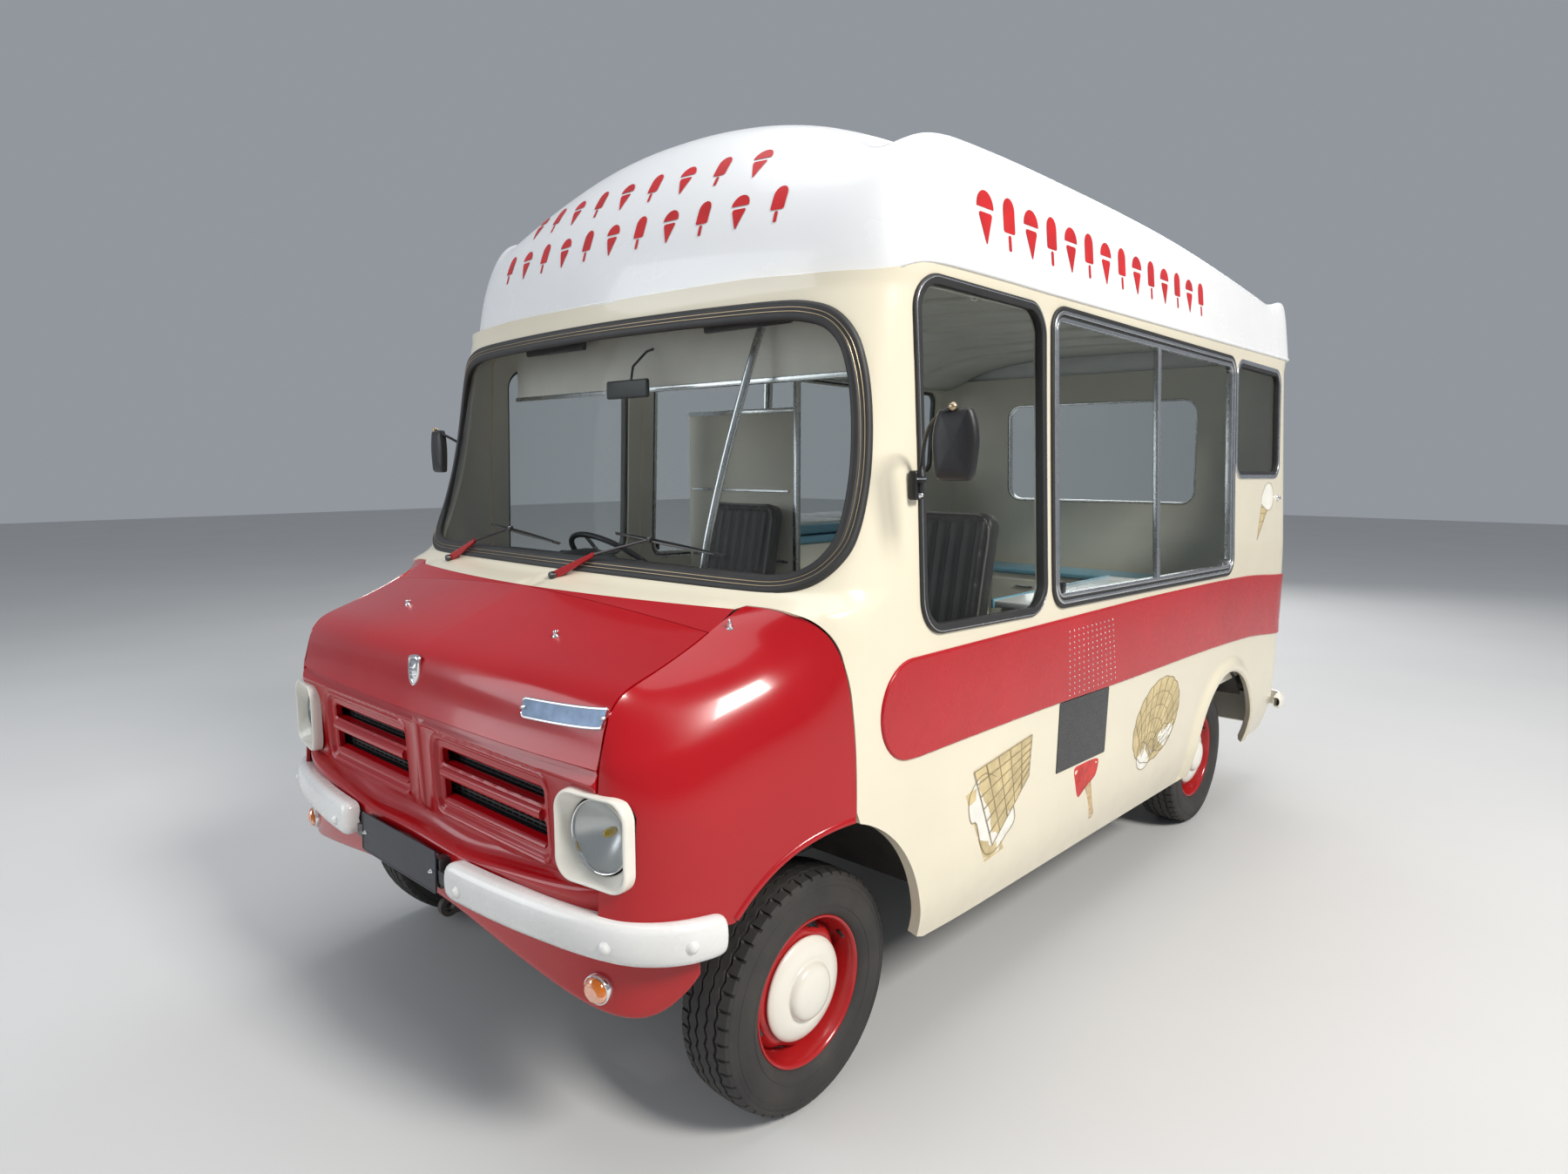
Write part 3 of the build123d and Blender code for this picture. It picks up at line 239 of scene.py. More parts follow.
# ------------------------------------------------------------------ mesh tools
class Mesh:
    """Vertices and faces gathered from several shapes; a face carries its material's number."""

    def __init__(self):
        self.v, self.f, self.m = [], [], []

    def add(self, verts, faces, m=0, flip=False):
        o = len(self.v)
        self.v += [tuple(map(float, p)) for p in verts]
        for f in faces:
            f = tuple(o + i for i in f)
            self.f.append(f[::-1] if flip else f)
            self.m.append(m)

    def grid(self, G, m=0, cu=False, cv=False, flip=False):
        """G: rows x columns x 3."""
        G = np.asarray(G, float)
        R, C = G.shape[:2]
        fs = []
        for i in range(R if cu else R - 1):
            for j in range(C if cv else C - 1):
                a, b = i, (i + 1) % R
                c, d = j, (j + 1) % C
                fs.append((a * C + c, a * C + d, b * C + d, b * C + c))
        self.add(G.reshape(-1, 3), fs, m, flip)

    def sweep(self, pts, A, B, prof, m=0, closed=True, pclosed=False, caps=False, flip=False):
        """Profile (a, b) carried along pts with directions A and B."""
        P, A, B = (np.asarray(x, float) for x in (pts, A, B))
        G = np.stack([P + a * A + b * B for a, b in prof], axis=1)
        o = len(self.v)
        self.grid(G, m, closed, pclosed, flip)
        if caps and not closed:
            n = len(prof)
            self.add([], [], m)
            self.f.append(tuple(o + i for i in range(n))[::1 if flip else -1]); self.m.append(m)
            e = o + (len(P) - 1) * n
            self.f.append(tuple(e + i for i in range(n))[::-1 if flip else 1]); self.m.append(m)

    def tube(self, pts, r, m=0, n=10, closed=False, caps=True):
        P = [Vector(p) for p in pts]
        k = len(P)
        rad = r if hasattr(r, "__len__") else [r] * k
        T = []
        for i in range(k):
            a = P[(i - 1) % k] if (closed or i > 0) else P[i]
            b = P[(i + 1) % k] if (closed or i < k - 1) else P[i]
            T.append((b - a).normalized())
        up = Vector((0, 0, 1)) if abs(T[0].z) < 0.9 else Vector((1, 0, 0))
        n0 = T[0].cross(up).normalized()
        rows = []
        for i in range(k):
            n0 = (n0 - T[i] * n0.dot(T[i])).normalized()
            b0 = T[i].cross(n0)
            rows.append([P[i] + (n0 * math.cos(2 * math.pi * j / n) + b0 * math.sin(2 * math.pi * j / n)) * rad[i] for j in range(n)])
        o = len(self.v)
        self.grid([[tuple(q) for q in row] for row in rows], m, closed, True)
        if caps and not closed:
            self.f.append(tuple(o + i for i in range(n))); self.m.append(m)
            e = o + (k - 1) * n
            self.f.append(tuple(e + i for i in range(n))[::-1]); self.m.append(m)

    def lathe(self, prof, origin, axis, m=0, n=48, flip=False, arc=None):
        """Profile (along, radius) turned about an axis."""
        ax = Vector(axis).normalized()
        up = Vector((0, 0, 1)) if abs(ax.z) < 0.9 else Vector((0, 1, 0))
        e1 = ax.cross(up).normalized()
        e2 = ax.cross(e1)
        o = Vector(origin)
        G = []
        for a, r in prof:
            G.append([tuple(o + ax * a + (e1 * math.cos(2 * math.pi * j / n) + e2 * math.sin(2 * math.pi * j / n)) * max(r, 1e-5)) for j in range(n)])
        self.grid(G, m, False, True, flip)

    def rbox(self, lo, hi, r=0.004, seg=2, m=0, mat4=None):
        """Block with rounded edges."""
        bm = bmesh.new()
        bmesh.ops.create_cube(bm, size=1)
        c = [(a + b) / 2 for a, b in zip(lo, hi)]
        s = [abs(b - a) for a, b in zip(lo, hi)]
        for v in bm.verts:
            v.co = Vector((c[0] + v.co.x * s[0], c[1] + v.co.y * s[1], c[2] + v.co.z * s[2]))
        r = min(r, min(s) * 0.49)
        bmesh.ops.bevel(bm, geom=bm.edges[:], offset=r, segments=seg, profile=0.5, affect="EDGES")
        if mat4 is not None:
            bmesh.ops.transform(bm, matrix=mat4, verts=bm.verts)
        bm.verts.index_update()
        self.add([tuple(v.co) for v in bm.verts], [[v.index for v in f.verts] for f in bm.faces], m)
        bm.free()

    def mirrored(self):
        """The same shapes and their mirror image in x."""
        n, k = len(self.v), len(self.f)
        self.v += [(-x, y, z) for x, y, z in self.v[:n]]
        self.f += [tuple(n + i for i in f)[::-1] for f in self.f[:k]]
        self.m += self.m[:k]
        return self

    def make(self, name, mats, body="root", rep=(), slot=None, sharp=38, weld=0.0, solid=0.0, bevel=0.0, outward=False):
        me = bpy.data.meshes.new(name)
        me.from_pydata([(x, y + AX, z) for x, y, z in self.v], [], self.f)
        me.update()
        for i, f in enumerate(me.polygons):
            f.material_index = self.m[i]
            f.use_smooth = True
        if weld or outward:
            bm = bmesh.new()
            bm.from_mesh(me)
            if weld:
                bmesh.ops.remove_doubles(bm, verts=bm.verts, dist=weld)
            if outward:
                bmesh.ops.recalc_face_normals(bm, faces=bm.faces)
            bm.to_mesh(me)
            bm.free()
        me.set_sharp_from_angle(angle=math.radians(sharp))
        ob = bpy.data.objects.new(name, me)
        bpy.context.scene.collection.objects.link(ob)
        for mt in (mats if isinstance(mats, (list, tuple)) else [mats]):
            me.materials.append(mt)
        if solid:
            md = ob.modifiers.new("thick", "SOLIDIFY")
            md.thickness = abs(solid)
            md.offset = -1 if solid > 0 else 1
            md.use_even_offset = True
        if bevel:
            md = ob.modifiers.new("edges", "BEVEL")
            md.width = bevel
            md.segments = 2
            md.limit_method = "ANGLE"
            md.angle_limit = math.radians(50)
            md.harden_normals = False
        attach(ob, body)
        if rep:
            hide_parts(*([rep] if isinstance(rep, str) else rep))
        return ob


def pchip(X, Y):
    X, Y = np.asarray(X, float), np.asarray(Y, float)
    h, d = np.diff(X), np.diff(Y) / np.diff(X)
    s = np.zeros(len(X))
    for i in range(1, len(X) - 1):
        if d[i - 1] * d[i] > 0:
            w1, w2 = 2 * h[i] + h[i - 1], h[i] + 2 * h[i - 1]
            s[i] = (w1 + w2) / (w1 / d[i - 1] + w2 / d[i])
    s[0], s[-1] = d[0], d[-1]

    def f(x):
        x = np.clip(np.asarray(x, float), X[0], X[-1])
        i = np.clip(np.searchsorted(X, x, "right") - 1, 0, len(X) - 2)
        t = (x - X[i]) / h[i]
        return (Y[i] * (1 + 2 * t) * (1 - t) ** 2 + h[i] * s[i] * t * (1 - t) ** 2 + Y[i + 1] * t * t * (3 - 2 * t) + h[i] * s[i + 1] * t * t * (t - 1))
    return f


class Patch:
    """Smooth surface over a table of control points, reaching its outer rows and columns."""

    def __init__(self, C):
        C = np.asarray(C, float)
        C = np.concatenate([2 * C[:1] - C[1:2], C, 2 * C[-1:] - C[-2:-1]], 0)
        C = np.concatenate([2 * C[:, :1] - C[:, 1:2], C, 2 * C[:, -1:] - C[:, -2:-1]], 1)
        self.C = C
        self.nu, self.nv = C.shape[0] - 3, C.shape[1] - 3

    @staticmethod
    def _b(t):
        return np.stack([(1 - t) ** 3, 3 * t ** 3 - 6 * t ** 2 + 4, -3 * t ** 3 + 3 * t ** 2 + 3 * t + 1, t ** 3], -1) / 6

    def __call__(self, u, v):
        """u and v from 0 to 1."""
        u, v = np.broadcast_arrays(np.asarray(u, float), np.asarray(v, float))
        U, V = np.clip(u, 0, 1) * self.nu, np.clip(v, 0, 1) * self.nv
        i, j = np.minimum(U.astype(int), self.nu - 1), np.minimum(V.astype(int), self.nv - 1)
        bu, bv = self._b(U - i), self._b(V - j)
        out = np.zeros(u.shape + (3,))
        for a in range(4):
            for b in range(4):
                out += (bu[..., a] * bv[..., b])[..., None] * self.C[i + a, j + b]
        return out


def rounded(points, radii, n=8):
    """Closed outline of a polygon with rounded corners, as an array of 2-D points."""
    P = [np.array(p, float) for p in points]
    k = len(P)
    radii = radii if hasattr(radii, "__len__") else [radii] * k
    out = []
    for i in range(k):
        p, a, b = P[i], P[i - 1], P[(i + 1) % k]
        da, db = (a - p) / np.linalg.norm(a - p), (b - p) / np.linalg.norm(b - p)
        ang = math.acos(np.clip(da @ db, -1, 1))
        r = radii[i]
        if r <= 0:
            out.append(p)
            continue
        d = r / math.tan(ang / 2)
        c = p + (da + db) / np.linalg.norm(da + db) * (r / math.sin(ang / 2))
        s, e = p + da * d - c, p + db * d - c
        a0 = math.atan2(s[1], s[0])
        da_ = (math.atan2(e[1], e[0]) - a0 + math.pi) % (2 * math.pi) - math.pi
        for t in range(n + 1):
            q = a0 + da_ * t / n
            out.append(c + r * np.array([math.cos(q), math.sin(q)]))
    return np.array(out)


def dense(loop, step):
    """The same closed outline with points no further apart than step."""
    out = []
    k = len(loop)
    for i in range(k):
        a, b = np.asarray(loop[i], float), np.asarray(loop[(i + 1) % k], float)
        n = max(1, int(math.ceil(np.linalg.norm(b - a) / step)))
        out += [a + (b - a) * t / n for t in range(n)]
    return np.array(out)


def grown(loop, d):
    """Outline moved outwards by d (inwards when negative)."""
    L = np.asarray(loop, float)
    area = 0.5 * np.sum(L[:, 0] * np.roll(L[:, 1], -1) - np.roll(L[:, 0], -1) * L[:, 1])
    t = np.roll(L, -1, 0) - np.roll(L, 1, 0)
    t /= np.maximum(np.linalg.norm(t, axis=1), 1e-9)[:, None]
    n = np.stack([t[:, 1], -t[:, 0]], 1) * (1 if area > 0 else -1)
    return L + n * d


def inside(points, loop):
    P, L = np.asarray(points, float), np.asarray(loop, float)
    x1, y1 = L[:, 0], L[:, 1]
    x2, y2 = np.roll(x1, -1), np.roll(y1, -1)
    px, py = P[:, 0][:, None], P[:, 1][:, None]
    cond = (y1[None] > py) != (y2[None] > py)
    with np.errstate(divide="ignore", invalid="ignore"):
        xi = (x2 - x1)[None] * (py - y1[None]) / np.where(y2 == y1, 1e-12, y2 - y1)[None] + x1[None]
    return (np.sum(cond & (px < xi), 1) % 2) == 1


def near(points, loop):
    """Distance of each point to an outline."""
    P, A = np.asarray(points, float), np.asarray(loop, float)
    B = np.roll(A, -1, 0)
    best = np.full(len(P), 1e9)
    for s in range(0, len(P), 2000):
        Q = P[s:s + 2000][:, None]
        d = (B - A)[None]
        t = np.clip(np.sum((Q - A[None]) * d, 2) / np.maximum(np.sum(d * d, 2), 1e-12), 0, 1)
        best[s:s + 2000] = np.min(np.linalg.norm(Q - (A[None] + t[..., None] * d), axis=2), 1)
    return best


def trimmed(outer, holes, gx, gy, extra=(), keep=0.4, minus=()):
    """Triangles over an outline with holes; gx, gy are the lines of the inner grid."""
    loops = [np.asarray(outer, float)] + [np.asarray(h, float) for h in holes]
    X, Y = np.meshgrid(gx, gy)
    pts = np.stack([X.ravel(), Y.ravel()], 1)
    if len(extra):
        ex = np.asarray(extra, float)
    step = min(np.median(np.diff(gx)), np.median(np.diff(gy)))
    ok = inside(pts, loops[0])
    for h in loops[1:]:
        ok &= ~inside(pts, h)
    pts = pts[ok]
    for h in loops:
        pts = pts[near(pts, h) > keep * step]
    if len(extra):
        oke = inside(ex, loops[0])
        for h in loops[1:]:
            oke &= ~inside(ex, h)
        ex = ex[oke]
        for h in loops:
            ex = ex[near(ex, h) > 0.0015]
        if len(ex) and len(pts):
            d = np.min(np.linalg.norm(pts[:, None] - ex[None], axis=2), 1) if len(pts) * len(ex) < 4e7 else np.ones(len(pts))
            pts = pts[d > 0.35 * step]
        pts = np.concatenate([pts, ex])
    V, E = [], []
    for L in loops:
        o = len(V)
        V += [Vector(p) for p in L]
        E += [(o + i, o + (i + 1) % len(L)) for i in range(len(L))]
    V += [Vector(p) for p in pts]
    vs, es, fs, _, _, _ = delaunay_2d_cdt(V, E, [], 0, 1e-6)
    vs = np.array([tuple(v) for v in vs])
    fs = np.array([tuple(f) for f in fs])
    cen = vs[fs].mean(1)
    ok = inside(cen, loops[0])
    for h in loops[1:]:
        ok &= ~inside(cen, h)
    fs = fs[ok]
    a, b, c = vs[fs[:, 0]], vs[fs[:, 1]], vs[fs[:, 2]]
    ar = (b[:, 0] - a[:, 0]) * (c[:, 1] - a[:, 1]) - (b[:, 1] - a[:, 1]) * (c[:, 0] - a[:, 0])
    fs = fs[np.abs(ar) > 1e-9]
    ar = ar[np.abs(ar) > 1e-9]
    fs[ar < 0] = fs[ar < 0][:, ::-1]
    used = np.unique(fs)
    remap = -np.ones(len(vs), int)
    remap[used] = np.arange(len(used))
    return vs[used], remap[fs]


def unit(v):
    v = np.asarray(v, float)
    return v / np.maximum(np.linalg.norm(v, axis=-1, keepdims=True), 1e-12)

# ------------------------------------------------------------------ coach body surface
# Plan sections. Columns: z, front y at the centre, x and y where the front arc ends, half width,
# y where the side starts, y of the rear face, rear corner radius.
SECTIONS = [
    (0.270, -0.235, 0.850, -0.134, 0.972, -0.020, 3.478, 0.125),
    (0.360, -0.235, 0.850, -0.134, 1.002, -0.020, 3.512, 0.125),
    (0.480, -0.235, 0.850, -0.134, 1.024, -0.020, 3.546, 0.130),
    (0.800, -0.235, 0.850, -0.134, 1.0285, -0.020, 3.556, 0.130),
    (1.050, -0.235, 0.850, -0.134, 1.0300, 0.000, 3.561, 0.130),
    (1.170, -0.234, 0.850, -0.134, 1.0285, 0.030, 3.561, 0.130),
    (1.262, -0.232, 0.850, -0.134, 1.0260, 0.070, 3.560, 0.130),
    (1.297, -0.226, 0.850, -0.128, 1.0240, 0.100, 3.559, 0.130),
    (1.322, -0.150, 0.850, -0.075, 1.0225, 0.135, 3.559, 0.130),
    (1.350, -0.116, 0.850, -0.044, 1.0210, 0.168, 3.558, 0.130),
    (2.030, 0.058, 0.740, 0.098, 0.990, 0.322, 3.522, 0.130),
    (2.085, 0.074, 0.740, 0.112, 0.988, 0.327, 3.519, 0.130),
    (2.115, 0.078, 0.740, 0.114, 0.991, 0.327, 3.519, 0.130),
    (2.180, 0.078, 0.740, 0.114, 0.992, 0.327, 3.517, 0.130),
]
_S = np.array(SECTIONS)
COL = [pchip(_S[:, 0], _S[:, k]) for k in range(1, 8)]
WA, WB, WC, WD, WE = 0.85, 1.20, 4.35, 4.55, 5.45       # ends of: front arc, front corner, side, rear corner, rear
ARCH_R = (2.700, 0.330)


def coach(w, z):
    """Point of the coach body's outside (left half, x >= 0) for a place w round it and a height z."""
    w, z = np.broadcast_arrays(np.asarray(w, float), np.asarray(z, float))
    yc, xk, yk, xs, ys, yr, rr = (c(z) for c in COL)
    sx = np.where(w > WE, -1.0, 1.0)
    w = np.where(w > WE, 2 * WE - w, w)
    sgn0 = np.where(w < 0, -1.0, 1.0)
    w = np.abs(w)
    x, y = np.zeros_like(z), np.zeros_like(z)
    t = np.clip(w / WA, 0, 1)
    a = w <= WA
    x[a], y[a] = (xk * t)[a], (yc + (yk - yc) * t * t)[a]
    t = np.clip((w - WA) / (WB - WA), 0, 1)
    a = (w > WA) & (w <= WB)
    d = np.stack([xk, 2 * (yk - yc)], -1)
    d = unit(d)
    ch = np.hypot(xs - xk, ys - yk) * 0.46
    p1x, p1y = xk + d[..., 0] * ch, yk + d[..., 1] * ch
    p2x, p2y = xs, ys - ch
    bx = (1 - t) ** 3 * xk + 3 * t * (1 - t) ** 2 * p1x + 3 * t * t * (1 - t) * p2x + t ** 3 * xs
    by = (1 - t) ** 3 * yk + 3 * t * (1 - t) ** 2 * p1y + 3 * t * t * (1 - t) * p2y + t ** 3 * ys
    x[a], y[a] = bx[a], by[a]
    t = np.clip((w - WB) / (WC - WB), 0, 1)
    a = (w > WB) & (w <= WC)
    y1 = yr - rr
    x[a], y[a] = xs[a], (ys + (y1 - ys) * t)[a]
    t = np.clip((w - WC) / (WD - WC), 0, 1) * math.pi / 2
    a = (w > WC) & (w <= WD)
    x[a], y[a] = (xs - rr + rr * np.cos(t))[a], (y1 + rr * np.sin(t))[a]
    t = np.clip((w - WD) / (WE - WD), 0, 1)
    a = w > WD
    x[a], y[a] = ((xs - rr) * (1 - t))[a], (yr + 0.006 * (t * (2 - t)))[a]
    # rolled lip round the rear wheel arch
    r = np.hypot(y - ARCH_R[0], z - ARCH_R[1])
    q = np.clip((0.462 - r) / 0.055, 0, 1)
    lip = 0.020 * q * q * (3 - 2 * q) - 0.010 * np.clip((0.402 - r) / 0.016, 0, 1) ** 2
    lip = np.where((w > WB) & (w < WC), lip, 0)
    x = x + lip
    return np.stack([x * sx * sgn0, y, z], -1)


def coach_n(w, z):
    e = 2e-4
    w, z = np.asarray(w, float), np.asarray(z, float)
    dw = coach(w + e, z) - coach(w - e, z)
    dz = coach(w, z + e) - coach(w, z - e)
    return unit(np.cross(dw, dz))


def side_w(y, z):
    """Place round the body of a point on the side, from its y and z."""
    y, z = np.asarray(y, float), np.asarray(z, float)
    lo, hi = np.zeros_like(y), np.full_like(y, WD)
    for _ in range(40):
        mid = (lo + hi) / 2
        less = coach(mid, z)[..., 1] < y
        lo, hi = np.where(less, mid, lo), np.where(less, hi, mid)
    return (lo + hi) / 2


def front_w(x, z):
    x, z = np.asarray(x, float), np.asarray(z, float)
    s = np.sign(x)
    ax = np.abs(x)
    lo, hi = np.zeros_like(ax), np.full_like(ax, WB)
    for _ in range(40):
        mid = (lo + hi) / 2
        less = coach(mid, z)[..., 0] < ax
        lo, hi = np.where(less, mid, lo), np.where(less, hi, mid)
    return s * (lo + hi) / 2


def rear_w(x, z):
    x, z = np.asarray(x, float), np.asarray(z, float)
    ax = np.abs(x)
    lo, hi = np.full_like(ax, WC), np.full_like(ax, WE)
    for _ in range(40):
        mid = (lo + hi) / 2
        more = coach(mid, z)[..., 0] > ax
        lo, hi = np.where(more, mid, lo), np.where(more, hi, mid)
    w = (lo + hi) / 2
    return np.where(x < 0, 2 * WE - w, w)


def on_side(loop):
    L = np.asarray(loop, float)
    return np.stack([side_w(L[:, 0], L[:, 1]), L[:, 1]], 1)


def on_front(loop):
    L = np.asarray(loop, float)
    return np.stack([front_w(L[:, 0], L[:, 1]), L[:, 1]], 1)


def on_rear(loop):
    L = np.asarray(loop, float)
    return np.stack([rear_w(L[:, 0], L[:, 1]), L[:, 1]], 1)


# windscreen opening, seen from the front: right half from the bottom centre, then mirrored. (x, z)
WS_HALF = [(0.0, 1.357), (0.25, 1.357), (0.50, 1.355), (0.70, 1.352), (0.80, 1.353), (0.865, 1.365), (0.915, 1.392), (0.947, 1.440), (0.957, 1.50),
           (0.956, 1.60), (0.948, 1.70), (0.935, 1.80), (0.918, 1.88), (0.893, 1.945), (0.85, 1.992), (0.79, 2.015), (0.70, 2.026), (0.50, 2.031), (0.25, 2.034), (0.0, 2.035)]


def smooth_curve(P, n=6, closed=False):
    """Points along a curve through the given points."""
    P = np.asarray(P, float)
    k = len(P)
    out = []
    for i in range(k if closed else k - 1):
        p0 = P[(i - 1) % k] if closed or i > 0 else 2 * P[0] - P[1]
        p1, p2 = P[i], P[(i + 1) % k]
        p3 = P[(i + 2) % k] if closed or i < k - 2 else 2 * P[-1] - P[-2]
        for s in range(n):
            t = s / n
            out.append(0.5 * (2 * p1 + (p2 - p0) * t + (2 * p0 - 5 * p1 + 4 * p2 - p3) * t * t + (3 * p1 - p0 - 3 * p2 + p3) * t ** 3))
    if not closed:
        out.append(P[-1])
    return np.array(out)


_h = smooth_curve(WS_HALF, 5)
WS = np.concatenate([_h[:-1], (_h * (-1, 1))[::-1][:-1]])       # closed, starts at the bottom centre
WS_W = on_front(WS)

# side windows, (y, z) outlines. Columns: name, corners from low front round, corner radii, sides
SIDE_WIN = {
    "tall": ([(0.270, 1.222), (0.920, 1.203), (0.920, 2.098), (0.270, 2.105)], 0.085),
    "serving": ([(0.980, 1.211), (2.660, 1.174), (2.660, 2.085), (0.980, 2.105)], 0.065),
    "serving_r": ([(1.066, 1.209), (2.660, 1.174), (2.660, 2.085), (1.066, 2.104)], 0.065),
    "rear": ([(2.705, 1.594), (3.330, 1.588), (3.330, 2.074), (2.705, 2.082)], 0.062),
}
WIN = {k: dense(rounded(p, r, 10), 0.03) for k, (p, r) in SIDE_WIN.items()}
REAR_WIN = dense(rounded([(-0.56, 1.42), (0.56, 1.42), (0.56, 1.99), (-0.56, 1.99)], 0.08, 10), 0.03)
DOOR_OPEN = dense(rounded([(0.256, 0.440), (1.004, 0.440), (1.004, 2.075), (0.256, 2.075)], [0.03, 0.03, 0.07, 0.07], 8), 0.03)
DOOR_PANEL = dense(rounded([(0.264, 0.448), (0.994, 0.448), (0.994, 2.067), (0.264, 2.067)], [0.026, 0.026, 0.064, 0.064], 8), 0.03)
DOOR_WIN = dense(rounded([(0.332, 1.240), (0.928, 1.240), (0.928, 2.010), (0.332, 2.010)], 0.08, 10), 0.03)


def circle(cy, cz, r, n=120):
    t = np.arange(n) * 2 * math.pi / n
    return np.stack([cy + r * np.cos(t), cz + r * np.sin(t)], 1)


FRONT_ARCH = (-0.115, 0.400, 0.411)
REAR_ARCH_R = 0.386
SILL = [(0.33, 0.374), (0.55, 0.361), (0.96, 0.350), (1.50, 0.336), (2.30, 0.311), (3.30, 0.300)]


def step_z(w):
    """Height of the joint between the cream body and the white roof."""
    pts = [(0, 2.120), (0.62, 2.119), (0.90, 2.110), (1.02, 2.108), (1.12, 2.122), (1.20, 2.146), (1.32, 2.160), (2.0, 2.162), (4.35, 2.148), (4.55, 2.146), (5.45, 2.146)]
    p = np.array(pts)
    return pchip(p[:, 0], p[:, 1])(w)


WING_EDGE = [(0.786, 1.3085), (0.850, 1.3075), (0.900, 1.3035), (0.9500, 1.2945), (0.9900, 1.2820), (1.0300, 1.2630), (1.0650, 1.2400), (1.0950, 1.2120), (1.1180, 1.1800), (1.1430, 1.1440), (1.1640, 1.1070), (1.1850, 1.0520), (1.2010, 0.9950), (1.2120, 0.9300), (1.2185, 0.8700), (1.2215, 0.8200)]


def wing_edge(off, n=4):
    """Line where the wing's rear edge lies on the body, from the foot upwards; off moves it forward."""
    P = smooth_curve(WING_EDGE[::-1], n)
    T = unit(np.gradient(P, axis=0))
    return P + np.stack([T[:, 1], -T[:, 0]], 1) * -off


def body_outline():
    """Outline of one half of the body in (w, z), front centre to rear centre."""
    out = []
    top = np.linspace(0, WE, 150)
    out += [(w, z) for w, z in zip(top, step_z(top))]
    out += [(WE, z) for z in np.linspace(2.10, 0.31, 44)]
    low = []
    wz = [(w, 0.300) for w in np.linspace(WE, WC, 26)]
    low += wz
    a0 = math.asin((0.302 - ARCH_R[1]) / REAR_ARCH_R)
    ys = np.linspace(3.40, ARCH_R[0] + REAR_ARCH_R * math.cos(a0), 9)
    low += [(float(side_w(y, 0.300)), 0.300) for y in ys]
    for a in np.linspace(a0, math.pi - a0 - 0.05, 64)[1:]:
        y, z = ARCH_R[0] + REAR_ARCH_R * math.cos(a), ARCH_R[1] + REAR_ARCH_R * math.sin(a)
        low.append((float(side_w(y, z)), z))
    s = smooth_curve(SILL[:-1][::-1], 8)
    s = s[s[:, 0] < 2.30]
    low += [(float(side_w(y, z)), z) for y, z in s]
    cy, cz, r = FRONT_ARCH
    a0, a1 = math.asin((0.388 - cz) / r), math.acos((-0.014 - cy) / r)
    for a in np.linspace(a0, a1, 34):
        y, z = cy + r * math.cos(a), cz + r * math.sin(a)
        low.append((float(side_w(y, z)), z))
    low = [p for p in low if not (p[0] < 1.2235 and p[1] > 0.70)]
    low += [tuple(p) for p in wing_edge(0.0)]
    low += [(0.74, 1.290), (0.70, 1.268)]
    low += [(w, 1.262) for w in np.linspace(0.68, 0, 20)]
    out += low
    out += [(0.0, z) for z in np.linspace(1.29, 2.09, 20)]
    return np.array(out)


OUT = body_outline()
GX = np.concatenate([np.linspace(0, WA, 25), np.linspace(WA, WB, 17)[1:], np.linspace(WB, WC, 76)[1:], np.linspace(WC, WD, 11)[1:], np.linspace(WD, WE, 22)[1:]])
GZ = np.concatenate([np.arange(0.32, 1.262, 0.038), np.linspace(1.262, 1.36, 12), np.arange(1.395, 2.05, 0.038), np.linspace(2.06, 2.18, 10)])
EXTRA = []
for r in (0.390, 0.394, 0.399, 0.405, 0.412, 0.421, 0.431, 0.441, 0.451, 0.461, 0.474):
    for a in np.linspace(-0.05, math.pi + 0.05, 72):
        y, z = ARCH_R[0] + r * math.cos(a), ARCH_R[1] + r * math.sin(a)
        if z > 0.302:
            EXTRA.append((float(side_w(y, z)), z))


def thick(V, F, N, t, inner_m=1, rim_m=0):
    """Gives a trimmed sheet its inner face and rims. Returns vertices, faces, material numbers."""
    V, F = np.asarray(V), np.asarray(F)
    n = len(V)
    W = V - N * t
    edges = {}
    for f in F:
        k = len(f)
        for i in range(k):
            edges[(f[i], f[(i + 1) % k])] = 1
    rim = [(a, b) for a, b in edges if (b, a) not in edges]
    faces = [tuple(f) for f in F] + [tuple(n + i for i in f[::-1]) for f in F] + [(b, a, n + a, n + b) for a, b in rim]
    mats = [0] * len(F) + [inner_m] * len(F) + [rim_m] * len(rim)
    return np.concatenate([V, W]), faces, mats


def body_half(holes, outline=OUT, gx=GX, gz=GZ, extra=EXTRA):
    uv, F = trimmed(outline, holes, gx, gz, extra)
    P = coach(uv[:, 0], uv[:, 1])
    N = coach_n(uv[:, 0], uv[:, 1])
    return P, F, N


